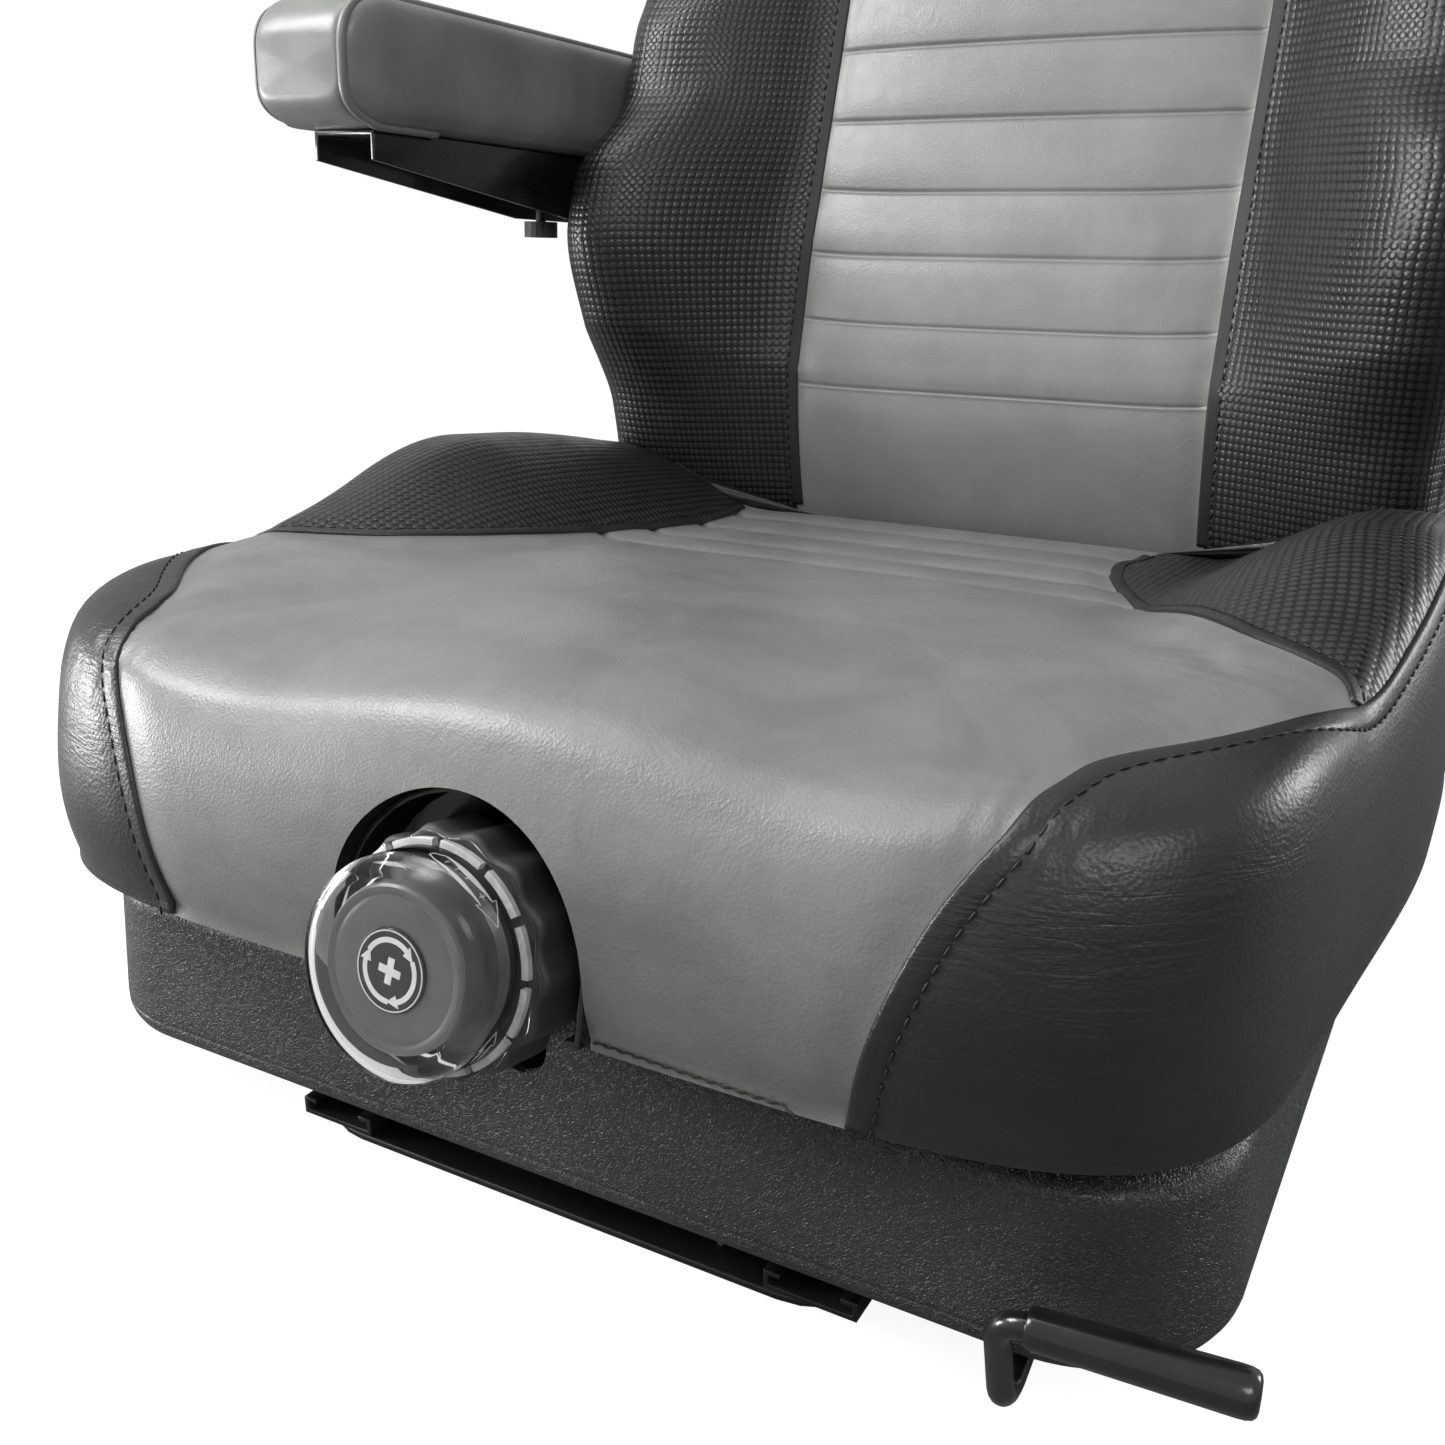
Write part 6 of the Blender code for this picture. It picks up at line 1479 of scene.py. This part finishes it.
for piece, slot in ((wheel, "matt_black_plastic"), (cap, "clear_plastic"), (dial, "dial_grey"),
                    (emblem, "emblem_black")):
    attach(piece, "weight_knob")
print("knob pieces: 4")

# %% [markdown]
# ## Marks on the knob
# The button carries a plain plus sign inside three turning arrows. The cap's side has a long arrow with a
# plus and three ticks, which says which way is firmer, and a short arrow the other way. All are thin raised
# shapes, like a pad print, made as flat outlines with a little thickness.

# %% Build the printed marks
def flat_mark(name, outlines, out, thick, material, wrap=None):
    """Closed outlines on the knob's face, or round the cap where wrap is its radius."""
    verts, faces = [], []
    for outline in outlines:
        count = len(outline)
        start = len(verts)
        for depth in (out, out + thick):
            for across, up in outline:
                if wrap:
                    radius = wrap + (depth - out)
                    verts.append(on_knob(radius * math.cos(across), radius * math.sin(across), up))
                else:
                    verts.append(on_knob(across, up, depth))
        for low in (start, start + count):
            corners = [[Vector((*outline[k], 0)) for k in range(count)]]
            for a, b, c in tessellate_polygon(corners):
                faces.append((low + a, low + b, low + c))
        faces += [(start + i, start + (i + 1) % count, start + count + (i + 1) % count, start + count + i)
                  for i in range(count)]
    return add_object(name, verts, faces, material, smooth=False)


def band(radius, start, end, width, steps=24):
    """A curved bar from start to end degrees, as quads in one outline."""
    outer, inner = [], []
    for i in range(steps + 1):
        turn = math.radians(start + (end - start) * i / steps)
        outer.append(((radius + width / 2) * math.cos(turn), (radius + width / 2) * math.sin(turn)))
        inner.append(((radius - width / 2) * math.cos(turn), (radius - width / 2) * math.sin(turn)))
    return outer + inner[::-1]


def arrow_head(radius, at, size):
    turn = math.radians(at)
    ahead = math.radians(at - 24)
    return [((radius + size) * math.cos(turn), (radius + size) * math.sin(turn)),
            ((radius - size) * math.cos(turn), (radius - size) * math.sin(turn)),
            (radius * math.cos(ahead), radius * math.sin(ahead))]


BUTTON_TURN = math.radians(-8)
ARROW_RADIUS, RIM_RADIUS = 0.0098, 0.0127
bar = 0.0043
thin = 0.00125
plus = [(-thin, -bar), (thin, -bar), (thin, -thin), (bar, -thin), (bar, thin), (thin, thin), (thin, bar),
        (-thin, bar), (-thin, thin), (-bar, thin), (-bar, -thin), (-thin, -thin)]
cos, sin = math.cos(BUTTON_TURN), math.sin(BUTTON_TURN)
marks = [[(x * cos - y * sin, x * sin + y * cos) for x, y in plus]]
for start, end in ((150, 52), (30, -68), (-90, -190)):
    marks.append(band(ARROW_RADIUS, start, end, 0.0017))
    marks.append(arrow_head(ARROW_RADIUS, end, 0.0021))
marks.append(band(RIM_RADIUS, 0, 359.9, 0.0004, 96))
button_marks = flat_mark("button_marks", marks, 0.04102, 0.00014, MARK)
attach(button_marks, "weight_knob")
print("marks on the button:", len(marks))


# %% [markdown]
# The marks round the cap are drawn on a flat strip: degrees round the cap and distance out along the axis.
# Each line is cut into short steps, so that it bends with the cap.

# %% Draw the marks on the cap's side
CAP_SIDE = 0.0361
LINE_STEP = 0.0008


def line_outline(points, width):
    """A thin line through points, as one closed outline of its two edges."""
    points = np.array(points, dtype=float)
    pieces = [points[:1]]
    for a, b in zip(points[:-1], points[1:]):
        steps = max(int(np.linalg.norm(b - a) / LINE_STEP), 1)
        pieces.append(a + (b - a) * np.linspace(0, 1, steps + 1)[1:, None])
    points = np.vstack(pieces)
    ahead = np.gradient(points, axis=0)
    ahead /= np.linalg.norm(ahead, axis=1)[:, None]
    aside = np.column_stack([-ahead[:, 1], ahead[:, 0]]) * width / 2
    return np.vstack([points + aside, (points - aside)[::-1]])


def cap_lines(lines, width=0.00028):
    """Lines given as (degrees round the cap, distance out), turned into outlines."""
    outlines = []
    for line in lines:
        flat = [(math.radians(turn) * CAP_SIDE, out) for turn, out in line]
        outlines.append([(around / CAP_SIDE, out) for around, out in line_outline(flat, width)])
    return outlines


long_arrow = [(84, 0.0312), (78, 0.033), (44, 0.033), (45, 0.035), (31, 0.0302), (44, 0.0254),
              (44, 0.0274), (78, 0.0274), (84, 0.0292), (84, 0.0312)]
ticks = [[(turn, 0.0292), (turn, 0.0312)] for turn in (74, 67, 60)]
small_plus = [[(50, 0.0302), (46, 0.0302)], [(48, 0.0289), (48, 0.0315)]]
short_arrow = [(-44, 0.0285), (-32, 0.0285), (-33, 0.0265), (-22, 0.0302), (-33, 0.034), (-32, 0.032),
               (-44, 0.032)]
side_marks = flat_mark("side_marks", cap_lines([long_arrow, short_arrow] + ticks + small_plus), 0.0, 0.00008,
                       MARK, wrap=CAP_SIDE)
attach(side_marks, "weight_knob")
print("marks on the cap's side:", 4 + len(ticks))

# %% [markdown]
# ## The lower cover
# One moulding in charcoal plastic runs round the suspension. Its walls are nearly upright, its lower edge
# curls under in a soft round, and a thin line marks the rim. It is a ring of sections: each section is the
# same closed outline of the wall, set round a rounded rectangle.

# %% Build the cover's shell
COVER_HALF_WIDTH, COVER_FRONT, COVER_REAR, COVER_CORNER = 0.243, -0.209, 0.2, 0.058
# Room to the seat's skirt, which comes down round the cover
COVER_SLACK = 0.0006


def round_corners(wide, low, high, radius, count):
    """A rounded rectangle, arc by arc, from its corner at +wide, high."""
    points = []
    for cx, cy, start in ((wide - radius, high - radius, 0), (radius - wide, high - radius, 90),
                          (radius - wide, low + radius, 180), (wide - radius, low + radius, 270)):
        for i in range(count + 1):
            turn = math.radians(start + 90 * i / count)
            points.append((cx + radius * math.cos(turn), cy + radius * math.sin(turn)))
    return points


def cover_ring(inset, z):
    points = round_corners(COVER_HALF_WIDTH - inset, COVER_FRONT + inset, COVER_REAR - inset,
                           max(COVER_CORNER - inset, 0.003), 72)
    return [(x, y, z) for x, y in points]


COVER_OUTER = [(0.0088, 0.0272), (0.0066, 0.0274), (0.0045, 0.0284), (0.0026, 0.0302), (0.0013, 0.0326),
               (0.0006, 0.0352), (0.0006, 0.0366), (0.001, 0.037), (0.0006, 0.0374), (0.0006, 0.0395)]
COVER_OUTER += [(0.0006 + 0.0034 * t, 0.0395 + 0.0456 * t) for t in np.linspace(0.1, 1, 10)]
COVER_OUTER += [(0.004 + 0.018 * (1 - math.cos(a)), 0.0851 + 0.0099 * math.sin(a))
                for a in np.radians(range(8, 91, 8))]
COVER_INNER = [(0.0222, 0.0922), (0.016, 0.0915), (0.0098, 0.088), (0.0072, 0.083), (0.005, 0.052),
               (0.0046, 0.04), (0.0056, 0.0352), (0.0072, 0.0318), (0.0092, 0.0302)]
cover = loft("cover_shell", [cover_ring(inset + COVER_SLACK, z) for inset, z in COVER_OUTER + COVER_INNER],
             COVER_PLASTIC, wrap_rows=True)
# The spindle passes through a notch with a round bottom
NOTCH_HALF, NOTCH_ROUND_Z, NOTCH_TOP = 0.0115, 0.0825, 0.1
notch_line = [(-NOTCH_HALF, NOTCH_TOP), (-NOTCH_HALF, NOTCH_ROUND_Z)]
notch_line += [(NOTCH_HALF * math.cos(a), NOTCH_ROUND_Z + NOTCH_HALF * math.sin(a))
               for a in np.radians(np.linspace(190, 350, 17))]
notch_line += [(NOTCH_HALF, NOTCH_ROUND_Z), (NOTCH_HALF, NOTCH_TOP)]
notch = loft("cover_notch", [[(x, y, z) for x, z in notch_line] for y in (-0.213, -0.173)], COVER_PLASTIC)
cut_with(cover, [notch], 50)
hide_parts("lower_cover")
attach(cover, "carriage")
print("cover faces:", len(cover.data.polygons))

# %% [markdown]
# ## The slide lever
# A bent steel rod comes out below the cover and ends in a gloss black grip. The rod is a round section swept
# along a path whose corners are bends of a real radius, and the grip is a shape turned on the rod's end.

# %% Bend the rod and turn the grip
BEND_STEPS = 14


def bent_path(corners, radii):
    """Straight runs joined by round bends."""
    path = [Vector(corners[0])]
    for before, corner, after, radius in zip(corners, corners[1:], corners[2:], radii):
        before, corner, after = Vector(before), Vector(corner), Vector(after)
        back = (before - corner).normalized()
        on = (after - corner).normalized()
        angle = back.angle(on)
        reach = radius / math.tan(angle / 2)
        centre = corner + (back + on).normalized() * radius / math.sin(angle / 2)
        start, end = corner + back * reach - centre, corner + on * reach - centre
        for i in range(BEND_STEPS + 1):
            turn = Matrix.Rotation(start.angle(end) * i / BEND_STEPS, 3, start.cross(end))
            path.append(centre + turn @ start)
    path.append(Vector(corners[-1]))
    return np.array([tuple(p) for p in path])


def turned_along(name, profile, start, direction, material, sides=48):
    """Turn (radius, distance) points about a line."""
    direction = Vector(direction).normalized()
    side = direction.orthogonal().normalized()
    up = direction.cross(side)
    start = Vector(start)
    return turned(name, profile, material,
                  lambda a, b, d: tuple(start + side * a + up * b + direction * d), sides, 35)


LEVER_CORNERS = [(0.0443, -0.164, 0.031), (0.184, -0.164, 0.031), (0.184, -0.2115, 0.0135),
                 (0.184, -0.2235, 0.0565), (0.256, -0.2173, 0.0565)]
rod_path = bent_path(LEVER_CORNERS, (0.01, 0.01, 0.009))
rod = sweep("bent_lever_rod", even_points(rod_path, 0.0015), circle_section(0.0042, 20), GLOSS)
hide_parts("lever_rod")
grip_end = Vector((0.254, -0.2175, 0.0565))
grip_way = (grip_end - Vector((0.184, -0.2235, 0.0565))).normalized()
GRIP_PROFILE = [(0.0046, -0.061), (0.0058, -0.0612), (0.0063, -0.0604), (0.0064, -0.059), (0.0068, -0.03),
                (0.0072, -0.003), (0.0071, -0.0005), (0.0066, 0.0014), (0.0056, 0.0024), (0.004, 0.0028),
                (0.0004, 0.0029)]
grip = turned_along("slide_grip", GRIP_PROFILE, grip_end, grip_way, GLOSS)
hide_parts("lever_grip")
for piece in (rod, grip):
    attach(piece, "slide_lever")
print("lever rod length", round(float(np.linalg.norm(np.diff(rod_path, axis=0), axis=1).sum()), 3))

# %% [markdown]
# ## Softened edges on the measured pieces
# No real edge is perfectly sharp: sheet steel is deburred and plastic is moulded with a small round, and
# that round is what catches the light. A copy of each visible hard piece is merged, its flat faces are
# joined, and a small bevel runs along its edges. The measured mesh itself is left alone.

# %% Bevel copies of the hard pieces
def softened_copy(node, width, material):
    source = frame["nodes"][node]
    bm = bmesh.new()
    bm.from_mesh(source.data)
    bmesh.ops.remove_doubles(bm, verts=bm.verts, dist=0.00002)
    bmesh.ops.dissolve_limit(bm, angle_limit=math.radians(1.0), verts=bm.verts, edges=bm.edges)
    mesh = bpy.data.meshes.new(f"{node}_finished")
    bm.to_mesh(mesh)
    bm.free()
    mesh.materials.append(material)
    item = put_in_scene(f"{node}_finished", mesh)
    bevel = item.modifiers.new("edge", "BEVEL")
    bevel.width = width
    bevel.segments = 2
    bevel.limit_method = "ANGLE"
    bevel.angle_limit = math.radians(35)
    bevel.use_clamp_overlap = True
    keep_shape(item)
    smooth_but(item, 40)
    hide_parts(node)
    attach(item, body_of_node[node])


bodies = frame["record"]["behaviour"]["bodies"]
body_of_node = {node: body for body, nodes in bodies.items() for node in nodes}
SOFTENED = {"knob_bezel": (0.0006, GLOSS), "base_plate": (0.0008, POWDER), "recline_rod": (0.0004, GLOSS),
            "recline_grip": (0.0012, GLOSS)}
for pair, width, material in (("armrest_channel", 0.0007, GLOSS), ("lower_rail", 0.0004, POWDER),
                              ("upper_rail", 0.0004, POWDER), ("back_leg", 0.0006, POWDER),
                              ("recline_bracket", 0.0006, POWDER)):
    for name in ("left", "right"):
        SOFTENED[f"{pair}_{name}"] = (width, material)
for node, (width, material) in SOFTENED.items():
    softened_copy(node, width, material)
print("softened:", len(SOFTENED))

# %% [markdown]
# ## Hem along the seat's lower edge
# The grey front panel is hemmed with black thread, and the end of the thread was left loose to the right of
# the knob. The thread is one thin round sweep that dips in and out of the vinyl.

# %% Sew the hem
HEM_START, HEM_END, DIP_PITCH = 0.05, 0.119, 0.0052
hem_line = [(x, -0.25, np.interp(x, [HEM_START, HEM_END], [0.1135, 0.112]))
            for x in np.linspace(0.052, HEM_END, 60)]
hem_line = even_points(drop_on(seat_tree, hem_line, (0, 1, 0)), 0.0006)
places, outward = lay_on(seat_tree, hem_line)
dips = 0.00035 + 0.00045 * np.cos(lengths_along(places) / DIP_PITCH * 2 * np.pi)
thread = places + outward * dips[:, None]
tail_start = thread[-1]
tail = [tail_start + np.array(step) for step in ((0.0015, -0.001, -0.0006), (0.0032, -0.0018, -0.0002),
                                                 (0.0046, -0.0022, -0.0012), (0.0058, -0.002, -0.0008))]
thread = np.vstack([thread, smooth_curve(tail, 12)])
hem = sweep("hem_thread", thread, circle_section(0.00045, 6), THREAD)
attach(hem, "seat")
print("hem thread points:", len(thread))

# %% [markdown]
# ## The suspension springs
# Two pull springs run from the tension block back to the bar between the inner arms. Geometry Nodes wind
# them: a straight line is bent into a helix, given a round wire and a material. The front end moves with
# the seat and the rear end with the arms, and each coil is built once in its rest place. The block slides
# as the knob turns, so the coil starts behind its travel and a straight hook, which rides on the block,
# reaches into it.

# %% Wind the coils
COIL_TURNS = 26
COIL_RADIUS = 0.0086
WIRE_RADIUS = 0.0017
BLOCK_TRAVEL = 0.012
HOOK = ((0.0016, 0), (0.0016, 0.026), (0.0008, 0.027))
HOOK_INTO_BLOCK = 0.0012


def coil_tree():
    numbers = {label: "NodeSocketFloat" for label in ("Turns", "Radius", "Length", "Wire")}
    tree, given = geometry_tree("Coil", numbers)
    spiral = tree.nodes.new("GeometryNodeCurveSpiral")
    spiral.inputs["Resolution"].default_value = 20
    wire_round = tree.nodes.new("GeometryNodeCurvePrimitiveCircle")
    wire_round.inputs["Resolution"].default_value = 10
    body = tree.nodes.new("GeometryNodeCurveToMesh")
    body.inputs["Fill Caps"].default_value = True
    wire(tree, (given, "Turns", spiral, "Rotations"), (given, "Radius", spiral, "Start Radius"),
         (given, "Radius", spiral, "End Radius"), (given, "Length", spiral, "Height"),
         (given, "Wire", wire_round, "Radius"), (spiral, "Curve", body, "Curve"),
         (wire_round, "Curve", body, "Profile Curve"))
    hand_out(tree, given, body, "Mesh")
    return tree


COIL = coil_tree()
for name in ("left", "right"):
    measured = frame["nodes"][f"weight_spring_{name}"]
    corners = np.array([tuple(measured.matrix_world @ v.co) for v in measured.data.vertices])
    start, end = corners.min(axis=0), corners.max(axis=0)
    middle = (start + end) / 2
    hook = turned_along(f"spring_hook_{name}", HOOK, (middle[0], start[1] - HOOK_INTO_BLOCK, middle[2]),
                        (0, 1, 0), ZINC, sides=16)
    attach(hook, "tension_block")
    start[1] += BLOCK_TRAVEL
    item = put_in_scene(f"spring_{name}", bpy.data.meshes.new(f"spring_{name}"))
    run_nodes(item, COIL, {"Turns": float(COIL_TURNS), "Radius": COIL_RADIUS, "Wire": WIRE_RADIUS,
                           "Length": float(end[1] - start[1]) - 2 * WIRE_RADIUS, "Material": ZINC})
    for vert in item.data.vertices:
        x, y, z = vert.co
        vert.co = (middle[0] + x, start[1] + WIRE_RADIUS + z, middle[2] + y)
    item.data.update()
    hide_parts(f"weight_spring_{name}")
    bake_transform(item)
print("springs: 2, turns", COIL_TURNS)

# %% [markdown]
# ## The back panel
# A moulded tray closes the back between the legs. Its outline has round corners, its rear edge is softly
# rounded, and a shallow pressed field stiffens its flat face.

# %% Mould the back panel
TUBE_LINE = ((0, 0.41, 0.4), (1, 0, 0))
PANEL_HALF_WIDTH, PANEL_LOW, PANEL_HIGH, PANEL_CORNER = 0.176, 0.245, 0.595, 0.022


def behind_back(outline, behind):
    """An outline of (x, z) laid parallel to the backrest's rear face, behind it by a distance."""
    return [(x, back_rear_y(z) + behind, z) for x, z in outline]


def panel_ring(inset, behind):
    outline = round_corners(PANEL_HALF_WIDTH - inset, PANEL_LOW + inset, PANEL_HIGH - inset,
                            max(PANEL_CORNER - inset, 0.004), 12)
    return behind_back(outline, behind)


PANEL_PROFILE = [(0.003, 0.006), (0.003, 0.003), (0.0, 0.003), (0.0, 0.033)]
PANEL_PROFILE += [(0.011 * (1 - math.cos(a)), 0.033 + 0.0115 * math.sin(a))
                  for a in np.radians(range(15, 91, 15))]
PANEL_PROFILE += [(0.03, 0.0445), (0.0315, 0.0442), (0.0335, 0.0431), (0.035, 0.0428), (0.06, 0.0428)]
panel = loft("back_panel_shell", [panel_ring(inset, behind) for inset, behind in PANEL_PROFILE],
             COVER_PLASTIC, angle=50)
tube_room = turned_along("tube_room", [(0.0112, -0.3), (0.0112, 0.3)], *TUBE_LINE, COVER_PLASTIC)
cut_with(panel, [tube_room], 50)
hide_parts("back_panel")
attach(panel, "backrest")
print("back panel faces:", len(panel.data.polygons))

# %% [markdown]
# The pressed sheet behind the cushion's foam is a thin plate. Its measured copy has square corners, and a
# real one is cut round so that it doesn't wear through the cover.

# %% Round the corners of the sheet behind the cushion
SHEET_HALF_WIDTH, SHEET_LOW, SHEET_HIGH, SHEET_CORNER = 0.2, 0.22, 0.605, 0.03
sheet_outline = round_corners(SHEET_HALF_WIDTH, SHEET_LOW, SHEET_HIGH, SHEET_CORNER, 10)
back_sheet = loft("back_sheet", [behind_back(sheet_outline, behind) for behind in (0.0003, 0.0023)], POWDER,
                  angle=40)
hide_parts("back_pan")
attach(back_sheet, "backrest")
print("back sheet rounded")

# %% [markdown]
# ## Screws
# The measured parts leave the back panel's small screws to this script. One domed screw head is placed at
# every point with Geometry Nodes, turned to the surface, and all of them are one object.

# %% Place the screw heads
HEAD_SIDES = 24
HEAD_PROFILE = ((1.0, 0.0), (1.0, 0.3), (0.96, 0.55), (0.82, 0.85), (0.62, 1.0))
SOCKET_SIZE = 0.46


def screw_head_mesh(radius, height):
    """A low domed head with a hexagon socket, standing on z = 0."""
    turns = [2 * math.pi * i / HEAD_SIDES for i in range(HEAD_SIDES)]
    rings = [[(radius * reach * math.cos(t), radius * reach * math.sin(t), height * up) for t in turns]
             for reach, up in HEAD_PROFILE]
    hexagon = [math.cos(math.pi / 6) / math.cos((t % (math.pi / 3)) - math.pi / 6) for t in turns]
    reach = radius * SOCKET_SIZE
    for up in (1.0, 0.35):
        rings.append([(reach * h * math.cos(t), reach * h * math.sin(t), height * up)
                      for h, t in zip(hexagon, turns)])
    return loft("screw_head", rings, [], angle=30)


def placing_tree():
    tree, given = geometry_tree("Placing", {"Head": "NodeSocketObject"})
    head = tree.nodes.new("GeometryNodeObjectInfo")
    turn = tree.nodes.new("FunctionNodeAlignRotationToVector")
    turn.axis = "Z"
    place = tree.nodes.new("GeometryNodeInstanceOnPoints")
    wire(tree, (given, "Head", head, "Object"), (given, "Geometry", place, "Points"),
         (head, "Geometry", place, "Instance"), (outward_node(tree), "Attribute", turn, "Vector"),
         (turn, "Rotation", place, "Rotation"))
    hand_out(tree, given, place, "Instances")
    return tree


panel_back = (0, math.cos(math.radians(15)), -math.sin(math.radians(15)))
SCREW_X, SCREW_Z, SCREW_BEHIND = (-0.156, 0.156), (0.265, 0.42, 0.575), 0.0446
spots = [(x, back_rear_y(z) + SCREW_BEHIND, z) for x in SCREW_X for z in SCREW_Z]
HEAD_RADIUS, HEAD_HEIGHT = 0.0045, 0.0022
head = screw_head_mesh(HEAD_RADIUS, HEAD_HEIGHT)
panel_screws = points_with_outward("panel_screws", spots, [], [panel_back] * len(spots))
run_nodes(panel_screws, placing_tree(), {"Head": head, "Material": ZINC})
bpy.data.objects.remove(head)
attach(panel_screws, "backrest")
print("screws placed:", len(spots))

# %% [markdown]
# ## Light, floor and background
# Soft light from large lamps shows folds without hard shadows. The sky gives most of its light from above, so
# what lies under the cushion's edge stays dark. Where a camera ray meets it, it is white, and it is dimmer
# through the clear cap, so the background is white without brighter lamps.

# %% World, lamps and floor
SKY_LOW = 0.03
SKY_HIGH = 0.21
SEEN_THROUGH_CAP = 0.4


def seen_rays(tree):
    """One where the camera sees it, less through the clear cap, and nothing elsewhere."""
    path = tree.nodes.new("ShaderNodeLightPath")
    through = math_node(tree, "MULTIPLY", path.outputs["Is Transmission Ray"], SEEN_THROUGH_CAP)
    return path, math_node(tree, "MAXIMUM", path.outputs["Is Camera Ray"], through)


scene.view_settings.view_transform = "Standard"
world = bpy.data.worlds.new("studio")
scene.world = world
world.use_nodes = True
tree = world.node_tree
sky = tree.nodes["Background"]
sky.inputs["Color"].default_value = (1, 1, 1, 1)
path, seen = seen_rays(tree)
mirrored_light = math_node(tree, "MULTIPLY", path.outputs["Is Glossy Ray"], 0.6)
direction = tree.nodes.new("ShaderNodeTexCoord")
height = tree.nodes.new("ShaderNodeSeparateXYZ")
tree.links.new(direction.outputs["Generated"], height.inputs[0])
soft_light = remap(tree, height.outputs["Z"], -0.1, 0.7, SKY_LOW, SKY_HIGH)
strength = math_node(tree, "MAXIMUM", seen, math_node(tree, "MAXIMUM", mirrored_light, soft_light))
tree.links.new(strength, sky.inputs["Strength"])


def soft_lamp(name, place, aim, width, height, power):
    data = bpy.data.lights.new(name, "AREA")
    data.shape = "RECTANGLE"
    data.size = width
    data.size_y = height
    data.energy = power
    lamp = put_in_scene(name, data)
    lamp.location = place
    lamp.rotation_euler = (Vector(aim) - Vector(place)).to_track_quat("-Z", "Y").to_euler()


soft_lamp("overhead", (-0.6, -0.2, 1.8), (0, 0.05, 0.2), 0.9, 0.7, 8)
soft_lamp("left_key", (-1.15, -0.75, 1.4), (0, 0, 0.25), 0.7, 0.7, 28)
soft_lamp("low_left", (-1.5, -0.68, 0.28), (-0.2, -0.1, 0.1), 0.5, 0.5, 17)
soft_lamp("front_fill", (1.1, -1.3, 1.5), (0, 0, 0.2), 0.9, 0.6, 11)
soft_lamp("right_rear", (1.5, 1.3, 0.6), (0.25, 0, 0.2), 0.5, 0.8, 15)

floor_finish = bpy.data.materials.new("pale_floor")
floor_finish.use_nodes = True
tree = floor_finish.node_tree
shader = tree.nodes["Principled BSDF"]
shader.inputs["Base Color"].default_value = (0.25, 0.25, 0.25, 1)
shader.inputs["Roughness"].default_value = 0.9
shader.inputs["Emission Color"].default_value = (1, 1, 1, 1)
_, seen = seen_rays(tree)
tree.links.new(math_node(tree, "MULTIPLY", seen, 0.92), shader.inputs["Emission Strength"])
FLOOR_HALF, FLOOR_Z = 6, -0.0005
corners = [(x * FLOOR_HALF, y * FLOOR_HALF, FLOOR_Z) for x, y in ((-1, -1), (1, -1), (1, 1), (-1, 1))]
floor = add_object("floor", corners, [(0, 1, 2, 3)], floor_finish, smooth=False)
print("lamps:", len(bpy.data.lights))
